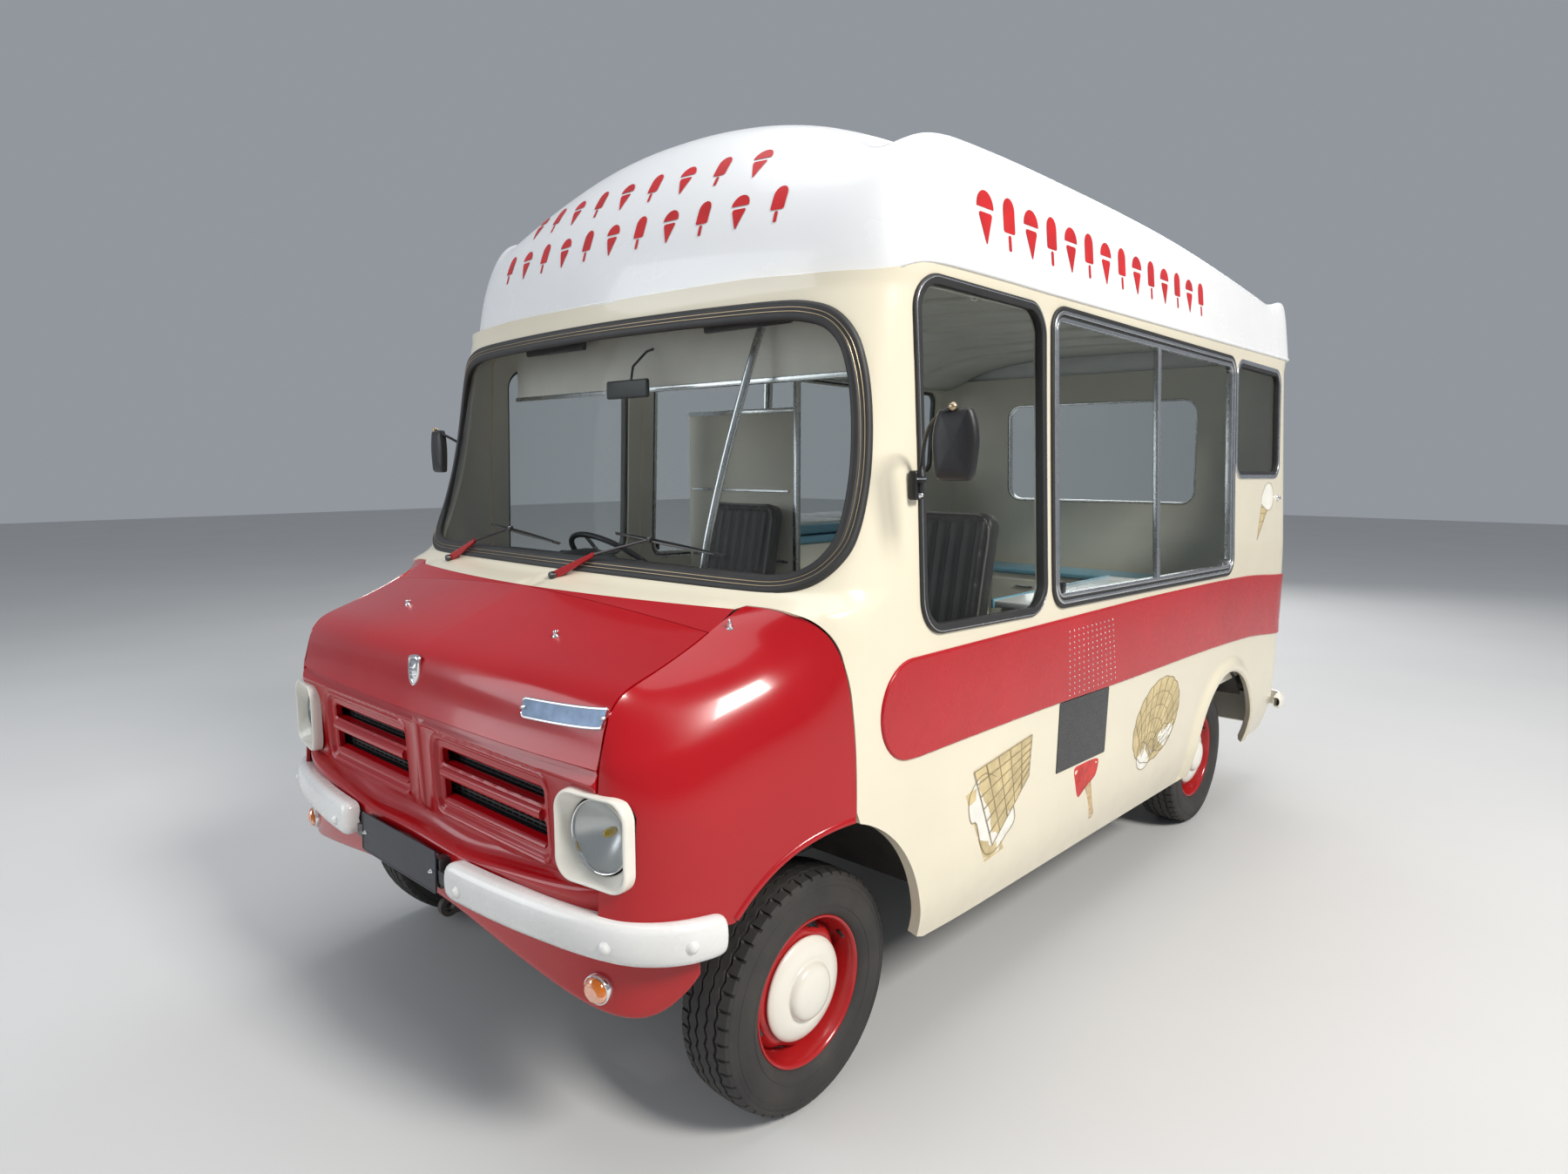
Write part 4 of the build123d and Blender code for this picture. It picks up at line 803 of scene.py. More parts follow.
ws = WS_W
left_holes = [ws, on_side(WIN["tall"]), on_side(WIN["serving"]), on_side(WIN["rear"]), on_rear(REAR_WIN)]
right_holes = [ws, on_side(DOOR_OPEN), on_side(WIN["serving_r"]), on_side(WIN["rear"]), on_rear(REAR_WIN)]
shell = Mesh()
WALL = 0.030
for side, holes in ((1, left_holes), (-1, right_holes)):
    P, F, N = body_half(holes)
    if np.mean(N[np.abs(P[:, 0]) > 0.9][:, 0]) < 0:
        N = -N
        F = F[:, ::-1]
    # the face order must agree with the outward normal
    a, b, c = P[F[:, 0]], P[F[:, 1]], P[F[:, 2]]
    fn = np.cross(b - a, c - a)
    if np.sum(fn * N[F[:, 0]]) < 0:
        F = F[:, ::-1]
    N[np.abs(P[:, 0]) < 1e-6, 0] = 0
    N = unit(N)
    # no inner face where the wall would cross itself at the centre lines
    V, Fs, ms = thick(P, F, N, WALL)
    keep, km = [], []
    for f, m_ in zip(Fs, ms):
        if len(f) == 4 and all(abs(V[i][0]) < 1e-5 for i in f):
            continue
        keep.append(f); km.append(m_)
    if side < 0:
        V = V * (-1, 1, 1)
        keep = [f[::-1] for f in keep]
    o = len(shell.v)
    shell.v += [tuple(p) for p in V]
    shell.f += [tuple(o + i for i in f) for f in keep]
    shell.m += km
shell.make("coach_shell", [M_cream, M_inner], rep=("front_moulding", "side_panel_left", "side_panel_right", "roof_rails", "rear_panel"), slot="cream_paint", weld=2e-5, sharp=40)


# ------------------------------------------------------------------ frames round openings
def rim_frame(loop_w, side=1, kind=None):
    """Points, outward normals and away-from-the-hole directions along an outline on the body."""
    L = np.asarray(loop_w, float)
    P = coach(L[:, 0], L[:, 1])
    N = coach_n(L[:, 0], L[:, 1])
    T = unit(np.roll(P, -1, 0) - np.roll(P, 1, 0))
    c = P.mean(0)
    out = unit(P - c)
    s = np.sign(np.sum(out * N)) if kind is None else 1
    # outward: away from the vehicle's axis
    axis_dir = np.stack([P[:, 0], P[:, 1] - np.clip(P[:, 1], 0.9, 2.8), np.zeros(len(P))], 1)
    flip = np.sum(N * axis_dir, 1).mean() < 0
    if flip:
        N = -N
    B = unit(np.cross(N, T))
    if np.mean(np.sum(B * out, 1)) < 0:
        B = -B
    if side < 0:
        f = np.array([-1, 1, 1])
        P, N, B = P * f, N * f, B * f
    return P, N, B


def trim_ring(mesh, loop_w, prof, m=0, side=1):
    """Section carried round an opening; a: away from the hole, b: outwards from the body."""
    P, N, B = rim_frame(loop_w, side)
    T = np.roll(P, -1, 0) - P
    w = np.sum(np.cross(B, N) * T)
    mesh.sweep(P, B, N, prof, m, True, True, flip=(w > 0))


def round_section(a0, a1, b0, b1, r=0.003, n=3):
    """Rounded rectangular section."""
    pts = rounded([(a0, b0), (a1, b0), (a1, b1), (a0, b1)], min(r, abs(a1 - a0) * 0.49, abs(b1 - b0) * 0.49), n)
    return [tuple(p) for p in pts]


def glass_pane(mesh, loop_w, depth, t=0.005, m=0, side=1, gx=None, gz=None):
    """Pane set depth below the body's surface."""
    L = np.asarray(loop_w, float)
    x0, x1, z0, z1 = L[:, 0].min(), L[:, 0].max(), L[:, 1].min(), L[:, 1].max()
    gx = gx if gx is not None else np.linspace(x0, x1, max(3, int((x1 - x0) / 0.06)))
    gz = gz if gz is not None else np.linspace(z0, z1, max(3, int((z1 - z0) / 0.06)))
    uv, F = trimmed(L, [], gx, gz)
    P, N = coach(uv[:, 0], uv[:, 1]), coach_n(uv[:, 0], uv[:, 1])
    axis_dir = np.stack([P[:, 0], P[:, 1] - np.clip(P[:, 1], 0.9, 2.8), np.zeros(len(P))], 1)
    if np.sum(N * axis_dir, 1).mean() < 0:
        N = -N
    a, b, c = P[F[:, 0]], P[F[:, 1]], P[F[:, 2]]
    if np.sum(np.cross(b - a, c - a) * N[F[:, 0]]) < 0:
        F = F[:, ::-1]
    V, Fs, ms = thick(P - N * depth, F, N, t, m, m)
    if side < 0:
        V = V * (-1, 1, 1)
        Fs = [f[::-1] for f in Fs]
    o = len(mesh.v)
    mesh.v += [tuple(p) for p in V]
    mesh.f += [tuple(o + i for i in f) for f in Fs]
    mesh.m += [m] * len(Fs)


# windscreen: one bowed glass in a thick rubber with two filler lines
g = Mesh()
glass_pane(g, on_front(grown(WS, -0.012)), 0.010, 0.006)
g.make("windscreen_glass", M_glass, rep="windscreen", slot="clear_glass")
r_ = Mesh()
seal = [(-0.027, -0.004), (-0.026, 0.001), (-0.021, 0.006), (-0.012, 0.0085), (-0.008, 0.0085), (-0.006, 0.0065), (0.006, 0.0075), (0.008, 0.0095), (0.016, 0.0095), (0.023, 0.006), (0.026, 0.0005), (0.025, -0.004), (0.0, -0.012), (-0.02, -0.016)]
trim_ring(r_, WS_W, seal, 0)
trim_ring(r_, WS_W, round_section(-0.0062, -0.0038, 0.0045, 0.0085, 0.001, 2), 1)
trim_ring(r_, WS_W, round_section(0.0042, 0.0066, 0.0050, 0.0092, 0.001, 2), 1)
r_.make("windscreen_rubber", [M_rubber, M_bronze], rep="windscreen_seal", slot="black_rubber", sharp=50)

# side windows, their frames and panes
fr, gl = Mesh(), Mesh()
for side in (1, -1):
    names = ("tall", "serving", "rear") if side > 0 else ("serving_r", "rear")
    for nm in names:
        L = WIN[nm]
        if nm == "tall":
            trim_ring(fr, on_side(L), round_section(-0.014, 0.012, -0.020, 0.009, 0.005), 0, side)
            # thin bright alloy strip in the rubber: a painted highlight standing in for the gloss along the black seal
            trim_ring(fr, on_side(L), round_section(0.0034, 0.0064, 0.0085, 0.0101, 0.001), 1, side)
            glass_pane(gl, on_side(grown(L, -0.010)), 0.008, 0.005, side=side)
        elif nm == "rear":
            trim_ring(fr, on_side(L), round_section(-0.002, 0.016, -0.002, 0.0065, 0.003), 1, side)
            trim_ring(fr, on_side(L), round_section(-0.018, 0.0, -0.020, 0.004, 0.003), 0, side)
            glass_pane(gl, on_side(grown(L, -0.010)), 0.010, 0.005, side=side)
        else:
            trim_ring(fr, on_side(L), round_section(0.0, 0.014, -0.002, 0.009, 0.004), 0, side)
            trim_ring(fr, on_side(L), round_section(-0.011, 0.001, -0.022, 0.011, 0.004), 1, side)
            trim_ring(fr, on_side(L), round_section(-0.020, -0.010, -0.020, 0.005, 0.002), 0, side)
            trim_ring(fr, on_side(L), round_section(-0.033, -0.019, -0.022, 0.007, 0.003), 1, side)
            ym = 1.83
            for y0, y1, dep in ((L[:, 0].min() + 0.024, ym + 0.01, 0.008), (ym - 0.012, L[:, 0].max() - 0.024, 0.016)):
                zl = lambda y: np.interp(y, [0.98, 2.66], [1.211, 1.174])
                zh = lambda y: np.interp(y, [0.98, 2.66], [2.105, 2.085])
                pane = dense(rounded([(y0, zl(y0) + 0.024), (y1, zl(y1) + 0.024), (y1, zh(y1) - 0.024), (y0, zh(y0) - 0.024)], [0.045 if y0 < 1.5 else 0.004, 0.004 if y0 < 1.5 else 0.045, 0.004 if y0 < 1.5 else 0.045, 0.045 if y0 < 1.5 else 0.004], 6), 0.05)
                glass_pane(gl, on_side(pane), dep, 0.005, side=side)
            # the sliding panes' meeting stiles
            for yy, b0, b1 in ((ym - 0.012, -0.016, 0.004), (ym + 0.012, -0.022, -0.004)):
                q = np.array([(yy, z) for z in np.linspace(1.225, 2.066, 12)])
                P = coach(side_w(q[:, 0], q[:, 1]), q[:, 1]) * (side, 1, 1)
                A = np.tile([0, 1.0, 0], (len(P), 1))
                Bn = np.tile([side * 1.0, 0, 0.0456], (len(P), 1))
                fr.sweep(P, A, Bn, round_section(-0.011, 0.011, b0, b1, 0.003), 1, False, True, caps=True, flip=side > 0)
            # pull catch of the front pane
            c0 = coach(side_w(1.03 if side > 0 else 1.12, 1.262), 1.262) * (side, 1, 1)
            fr.rbox((c0[0] - 0.012, c0[1] - 0.012, c0[2] - 0.018), (c0[0] + 0.012, c0[1] + 0.012, c0[2] + 0.018), 0.004, 2, 2)
# rear window
trim_ring(fr, on_rear(REAR_WIN), round_section(-0.002, 0.014, -0.002, 0.008, 0.003), 0)
trim_ring(fr, on_rear(REAR_WIN), round_section(-0.014, 0.0, -0.022, 0.010, 0.003), 1)
glass_pane(gl, on_rear(grown(REAR_WIN, -0.010)), 0.010, 0.005)
fr.make("window_surrounds", [M_rubber, M_alloy_and_highlight, M_black], rep="window_frames", slot="frame_alloy", sharp=45)
gl.make("window_panes", M_glass, rep="window_glass", slot="clear_glass")

# driver's door on the right side
d = Mesh()
arch_loop = circle(FRONT_ARCH[0], FRONT_ARCH[1], FRONT_ARCH[2] + 0.006)
uv, F = trimmed(on_side(DOOR_PANEL), [on_side(DOOR_WIN)], np.linspace(side_w(0.25, 1.2), side_w(1.0, 1.2), 22), np.linspace(0.46, 2.06, 44))
P, N = coach(uv[:, 0], uv[:, 1]), coach_n(uv[:, 0], uv[:, 1])
if N[:, 0].mean() < 0:
    N = -N
a, b, c = P[F[:, 0]], P[F[:, 1]], P[F[:, 2]]
if np.sum(np.cross(b - a, c - a) * N[F[:, 0]]) < 0:
    F = F[:, ::-1]
V, Fs, ms = thick(P, F, N, 0.034)
d.add(V * (-1, 1, 1), [f[::-1] for f in Fs])
d.m = list(ms)
trim_ring(d, on_side(grown(DOOR_PANEL, -0.002)), round_section(-0.006, 0.0015, -0.030, -0.020, 0.003), 2, -1)
# lever handle on its rose, and the lock
hy, hz = 0.925, 1.085
hx = float(coach(side_w(hy, hz), hz)[0])
d.lathe([(0.0, 0.0), (0.0, 0.024), (0.003, 0.0255), (0.007, 0.023), (0.009, 0.013), (0.022, 0.011), (0.024, 0.0)][::-1], (-hx, hy, hz), (-1, 0, 0), 3, 28)
d.tube([(-hx - 0.022, hy, hz), (-hx - 0.028, hy - 0.02, hz), (-hx - 0.029, hy - 0.06, hz + 0.001), (-hx - 0.028, hy - 0.105, hz + 0.003), (-hx - 0.024, hy - 0.118, hz + 0.003)], [0.008, 0.0095, 0.0085, 0.0075, 0.004], 3, 14)
d.lathe([(0.0, 0.011), (0.003, 0.011), (0.004, 0.009), (0.004, 0.0)], (-hx, hy, hz - 0.055), (-1, 0, 0), 3, 20)
for z0, z1 in ((0.620, 0.656), (1.086, 1.122)):
    d.lathe([(0, 0.0), (0, 0.0075), (0.002, 0.009), (z1 - z0 - 0.002, 0.009), (z1 - z0, 0.0075), (z1 - z0, 0)], (-1.041, 0.258, z0), (0, 0, 1), 3, 18)
    d.rbox((-1.043, 0.262, z0), (-1.026, 0.312, z1), 0.002, 2, 0)
d.make("driver_door_skin", [M_cream, M_inner, M_rubber, M_chrome], "driver_door", rep="driver_door", slot="cream_paint", sharp=40)
h_ = Mesh()
for z0, z1 in ((0.658, 0.690), (1.124, 1.156)):
    h_.lathe([(0, 0.0), (0, 0.0075), (0.002, 0.009), (z1 - z0 - 0.002, 0.009), (z1 - z0, 0.0075), (z1 - z0, 0)], (-1.041, 0.258, z0), (0, 0, 1), 1, 18)
    h_.rbox((-1.043, 0.205, z0), (-1.024, 0.252, z1), 0.002, 2, 0)
h_.make("door_hinge_leaves", [M_cream, M_chrome], "root", slot="cream_paint")
df, dg = Mesh(), Mesh()
L = DOOR_WIN
trim_ring(df, on_side(L), round_section(-0.014, 0.012, -0.024, 0.009, 0.005), 0, -1)
# thin bright alloy strip in the rubber: a painted highlight standing in for the gloss along the black seal
trim_ring(df, on_side(L), round_section(0.0034, 0.0064, 0.0085, 0.0101, 0.001), 1, -1)
df.make("door_window_surround", [M_rubber, M_alloy_and_highlight], "driver_door", rep="door_window_frame", slot="frame_alloy", sharp=45)
glass_pane(dg, on_side(grown(L, -0.010)), 0.008, 0.005, side=-1)
dg.make("door_pane", M_glass, "driver_door", rep="door_glass", slot="clear_glass")


# ------------------------------------------------------------------ roof moulding
# Half sections of the roof from the step line inwards to the centre line, one row for each station from the
# front step over the dome to the tail. Columns: foot, face, face top, crest, gutter, dome side, shoulder, mid, centre.
def straight_row(y, zc, zg, z5, z6, z7, z8, x3=0.946, x4=0.875):
    return [(0.993, y, 2.150), (0.976, y, 2.30), (0.9645, y, zc - 0.045), (x3, y, zc), (x4, y, zg), (0.76, y, z5), (0.54, y, z6), (0.28, y, z7), (0.0, y, z8)]


ROOF = [
    [(0.975, 0.236, 2.128), (0.957, 0.219, 2.116), (0.93, 0.200, 2.108), (0.89, 0.184, 2.108), (0.83, 0.166, 2.112), (0.74, 0.148, 2.117), (0.58, 0.122, 2.119), (0.30, 0.092, 2.120), (0.0, 0.078, 2.120)],
    [(0.984, 0.262, 2.138), (0.960, 0.226, 2.140), (0.930, 0.204, 2.146), (0.89, 0.188, 2.152), (0.83, 0.170, 2.158), (0.74, 0.152, 2.162), (0.58, 0.126, 2.164), (0.30, 0.096, 2.165), (0.0, 0.084, 2.165)],
    [(0.991, 0.320, 2.148), (0.968, 0.258, 2.19), (0.936, 0.222, 2.225), (0.893, 0.204, 2.245), (0.83, 0.186, 2.255), (0.735, 0.168, 2.260), (0.575, 0.143, 2.262), (0.30, 0.115, 2.264), (0.0, 0.106, 2.265)],
    [(0.993, 0.400, 2.151), (0.975, 0.318, 2.235), (0.945, 0.258, 2.310), (0.898, 0.238, 2.345), (0.825, 0.224, 2.355), (0.725, 0.205, 2.362), (0.565, 0.180, 2.366), (0.295, 0.152, 2.370), (0.0, 0.143, 2.372)],
    [(0.993, 0.500, 2.152), (0.976, 0.400, 2.270), (0.958, 0.322, 2.392), (0.918, 0.292, 2.445), (0.835, 0.290, 2.432), (0.725, 0.268, 2.450), (0.555, 0.240, 2.464), (0.29, 0.208, 2.474), (0.0, 0.198, 2.478)],
    [(0.993, 0.610, 2.152), (0.976, 0.510, 2.285), (0.964, 0.430, 2.430), (0.938, 0.380, 2.508), (0.856, 0.372, 2.440), (0.735, 0.352, 2.492), (0.555, 0.322, 2.545), (0.29, 0.286, 2.568), (0.0, 0.276, 2.575)],
    [(0.993, 0.760, 2.152), (0.976, 0.680, 2.292), (0.964, 0.610, 2.452), (0.944, 0.575, 2.514), (0.866, 0.550, 2.420), (0.745, 0.510, 2.496), (0.555, 0.470, 2.612), (0.29, 0.420, 2.668), (0.0, 0.405, 2.680)],
    straight_row(0.93, 2.512, 2.410, 2.505, 2.656, 2.726, 2.744, 0.944, 0.870),
    straight_row(1.25, 2.512, 2.378, 2.470, 2.628, 2.700, 2.720),
    straight_row(1.62, 2.508, 2.340, 2.395, 2.520, 2.590, 2.612),
    straight_row(2.00, 2.497, 2.318, 2.340, 2.415, 2.468, 2.484),
    straight_row(2.40, 2.472, 2.306, 2.322, 2.360, 2.392, 2.402),
    straight_row(2.80, 2.440, 2.300, 2.318, 2.350, 2.380, 2.390),
    straight_row(3.08, 2.416, 2.298, 2.316, 2.348, 2.376, 2.386),
    straight_row(3.20, 2.400, 2.297, 2.315, 2.346, 2.374, 2.384),
    straight_row(3.34, 2.434, 2.296, 2.314, 2.344, 2.372, 2.382),
    straight_row(3.42, 2.448, 2.294, 2.312, 2.342, 2.370, 2.380),
    [(0.990, 3.472, 2.150), (0.972, 3.478, 2.29), (0.960, 3.478, 2.375), (0.942, 3.474, 2.428), (0.878, 3.476, 2.288), (0.76, 3.482, 2.304), (0.54, 3.485, 2.334), (0.28, 3.487, 2.360), (0.0, 3.488, 2.370)],
    [(0.955, 3.505, 2.149), (0.942, 3.506, 2.25), (0.932, 3.506, 2.30), (0.918, 3.506, 2.320), (0.86, 3.506, 2.262), (0.75, 3.510, 2.276), (0.54, 3.513, 2.300), (0.28, 3.515, 2.322), (0.0, 3.515, 2.330)],
    [(0.90, 3.520, 2.148), (0.89, 3.518, 2.20), (0.88, 3.517, 2.225), (0.865, 3.517, 2.235), (0.82, 3.517, 2.225), (0.73, 3.519, 2.225), (0.53, 3.521, 2.232), (0.28, 3.522, 2.238), (0.0, 3.523, 2.240)],
    [(0.88, 3.524, 2.147), (0.86, 3.524, 2.147), (0.84, 3.524, 2.147), (0.82, 3.524, 2.147), (0.79, 3.524, 2.147), (0.71, 3.525, 2.147), (0.52, 3.526, 2.147), (0.27, 3.527, 2.147), (0.0, 3.528, 2.147)],
]
R = np.array(ROOF)
roof_p = Patch(np.concatenate([R, (R * (-1, 1, 1))[:, ::-1][:, 1:]], 1))
us, vs2 = np.linspace(0, 1, 131), np.linspace(0, 1, 97)
# finer across the crest and gutter
vv = np.concatenate([np.linspace(0, 0.33, 34), np.linspace(0.33, 0.67, 30)[1:-1], np.linspace(0.67, 1, 34)])
G = roof_p(us[:, None], vv[None, :])
rf = Mesh()
rf.grid(G, 0, flip=True)
# the moulding's lower lip: a small turned edge all along the step line
foot = np.concatenate([G[:, 0], G[-1, 1:-1], G[::-1, -1], G[0, ::-1][1:-1]])
P = foot
T = unit(np.roll(P, -1, 0) - np.roll(P, 1, 0))
c = np.stack([P[:, 0] * 0, np.clip(P[:, 1], 0.9, 2.8), P[:, 2]], 1)
A = P - c
A[:, 2] = 0
A = unit(A - T * np.sum(A * T, 1)[:, None])
rf.sweep(P, A, np.tile([0, 0, 1.0], (len(P), 1)), [(0.0, 0.004), (0.004, 0.001), (0.0055, -0.004), (0.004, -0.008), (0.0, -0.010), (-0.012, -0.010), (-0.016, -0.004), (-0.010, 0.004)], 0, True, True)
# inner lining of the roof, seen through the windows
IN = G.copy()
ceil = Mesh()
uu = np.linspace(0.0, 1, 60)
xs_ = np.linspace(-0.955, 0.955, 39)
CG = []
for y in np.linspace(0.13, 3.49, 70):
    row = []
    for x in xs_:
        q = abs(x) / 0.955
        z = 2.250 - 0.135 * q ** 4 - 0.020 * q * q
        xx = x
        yy = y
        if y < 0.40:
            front = float(coach(front_w(min(abs(x), 0.93), 2.11), 2.11)[1]) + 0.035
            yy = max(y, front)
            z -= 0.10 * (max(0, 0.40 - y) / 0.27) ** 2
        row.append((xx, yy, z))
    CG.append(row)
ceil.grid(CG, 0)
for y in np.arange(0.62, 3.3, 0.34):
    pts = [(x, y, 2.250 - 0.135 * (abs(x) / 0.955) ** 4 - 0.020 * (x / 0.955) ** 2 - 0.004) for x in np.linspace(-0.94, 0.94, 41)]
    T_ = unit(np.gradient(np.array(pts), axis=0))
    up_ = unit(np.cross(T_, np.tile([0, 1.0, 0], (len(pts), 1))))
    ceil.sweep(pts, np.tile([0, 1.0, 0], (len(pts), 1)), -up_, [(-0.022, -0.004), (-0.018, 0.010), (-0.010, 0.015), (0.010, 0.015), (0.018, 0.010), (0.022, -0.004)], 0, False, True)
rf.make("roof_skin", [M_white], rep="roof_moulding", slot="white_paint", sharp=60, weld=1e-6)
ceil.make("ceiling", [M_ceiling], slot="cabinet_cream", sharp=60, solid=0.006)


# ------------------------------------------------------------------ nose
# Lines of the front end. Bonnet rows run across from the centre crease to the shut line, from the rear edge
# over the top and down to the lip. (y, z) at the centre and at x = 0.77.
BX = 0.770
ROWS_C = [(-0.2335, 1.2980), (-0.322, 1.2605), (-0.399, 1.2285), (-0.450, 1.207), (-0.499, 1.185), (-0.533, 1.164), (-0.554, 1.142), (-0.563, 1.115), (-0.568, 1.080), (-0.575, 1.045), (-0.584, 1.018), (-0.590, 1.004)]
ROWS_S = [(-0.2335, 1.2555), (-0.300, 1.225), (-0.372, 1.197), (-0.425, 1.180), (-0.468, 1.166), (-0.499, 1.147), (-0.519, 1.122), (-0.531, 1.096), (-0.538, 1.070), (-0.544, 1.040), (-0.551, 1.016), (-0.556, 1.004)]


def across(c, s, q):
    """Place of a bonnet row at q = x / 0.77."""
    y = c[0] + (s[0] - c[0]) * (0.10 * q + 0.90 * q ** 3.2)
    z = c[1] + (s[1] - c[1]) * (0.42 * q + 0.58 * q * q)
    return y, z


QX = np.array([0.0, 0.05, 0.14, 0.28, 0.44, 0.60, 0.76, 0.88, 0.96, 1.0])
cage = []
for (c, s) in zip(ROWS_C, ROWS_S):
    row = []
    for q in QX:
        y, z = across(c, s, q)
        row.append((q * BX, y, z))
    cage.append(row)
BON = Patch(np.array(cage))


def bonnet_grid(u0=0.0, u1=1.0, nu=58, nv=52):
    return BON(np.linspace(u0, u1, nu)[:, None], np.linspace(0, 1, nv)[None, :])


def strip_rows(n=5, m_=52):
    """Fixed strip between the bonnet's rear edge and the bowed body."""
    G0 = BON(0.0, np.linspace(0, 1, m_))
    rows = []
    for k in range(n):
        t = k / (n - 1)
        row = []
        for p in G0:
            q = p[0] / BX
            zc = 1.2980 + 0.002 * q
            w = front_w(max(p[0], 1e-4), 1.296)
            e = coach(w, 1.296)
            ye = float(e[1]) - 0.001
            y = (p[1] + 0.004) + (ye - p[1] - 0.004) * t
            z = p[2] + (zc + 0.001 - p[2]) * t ** 1.15
            row.append((p[0], y, z))
        rows.append(row)
    return np.array(rows)


def two_sided(G, t, m=0):
    """Points of a grid and their normals; the thickness t is not used."""
    G = np.asarray(G, float)
    du = np.gradient(G, axis=0)
    dv = np.gradient(G, axis=1)
    N = unit(np.cross(du, dv))
    return G, N


bon = Mesh()
G = bonnet_grid()
gap = 0.0018
G[:, -1, 0] -= gap
full = np.concatenate([(G * (-1, 1, 1))[:, ::-1][:, :-1], G], 1)
bon.grid(full, 0, flip=False)
# turned-under lip along the front edge and down the sides
front_edge = full[-1]
bon.grid(np.stack([front_edge, front_edge + (0, 0.0035, -0.0035), front_edge + (0, 0.018, -0.004), front_edge + (0, 0.026, 0.004)]), 0)
for s in (0, -1):
    e = full[:, s]
    sx = 1 if s else -1
    inn = np.stack([e, e + (-sx * 0.001, 0.001, -0.006), e + (-sx * 0.002, 0.006, -0.024)])
    bon.grid(inn, 0, flip=(s == 0))
re_ = full[0]
bon.grid(np.stack([re_ + (0, 0.002, -0.020), re_ + (0, 0.0, -0.003), re_]), 0)
bon.make("bonnet_skin", [M_red], "bonnet", rep="bonnet", slot="red_paint", weld=1e-5, sharp=30, solid=0.0)
bi = Mesh()
# inner frame of the bonnet, so that it isn't a bare sheet from below
Gi = full[::3, ::3] * (0.985, 1, 1) + (0, 0.006, -0.016)
bi.grid(Gi, 0, flip=True)
for x in (-0.5, 0.0, 0.5):
    j = int(np.argmin(np.abs(full[0, :, 0] - x)))
    col = full[2:36:3, j] + (0, 0.004, -0.020)
    bi.sweep(col, np.tile([1.0, 0, 0], (len(col), 1)), np.tile([0, 0, 1.0], (len(col), 1)), [(-0.03, 0.006), (-0.02, -0.010), (0.02, -0.010), (0.03, 0.006)], 0, False, True, caps=True)
bi.make("bonnet_frame", [M_red], "bonnet", slot="red_paint", sharp=30)

st = Mesh()
S_ = strip_rows()
full = np.concatenate([(S_ * (-1, 1, 1))[:, ::-1][:, :-1], S_], 1)
st.grid(full, 0, flip=True)
st.grid(np.stack([full[0], full[0] + (0, 0.0005, -0.018)]), 0)
st.make("bonnet_rear_strip", [M_red], slot="red_paint", weld=1e-5, sharp=35)

# Wing: rows from the shut line over the shoulder and down the side, from the coach body to the front seam.
_q = wing_edge(0.0)


def edge_at(w):
    i = np.interp(-w, -_q[:, 0], np.arange(len(_q)))
    z = np.interp(i, np.arange(len(_q)), _q[:, 1])
    p = coach(w, z) - coach_n(w, z) * 0.0012
    return tuple(float(v) for v in p)


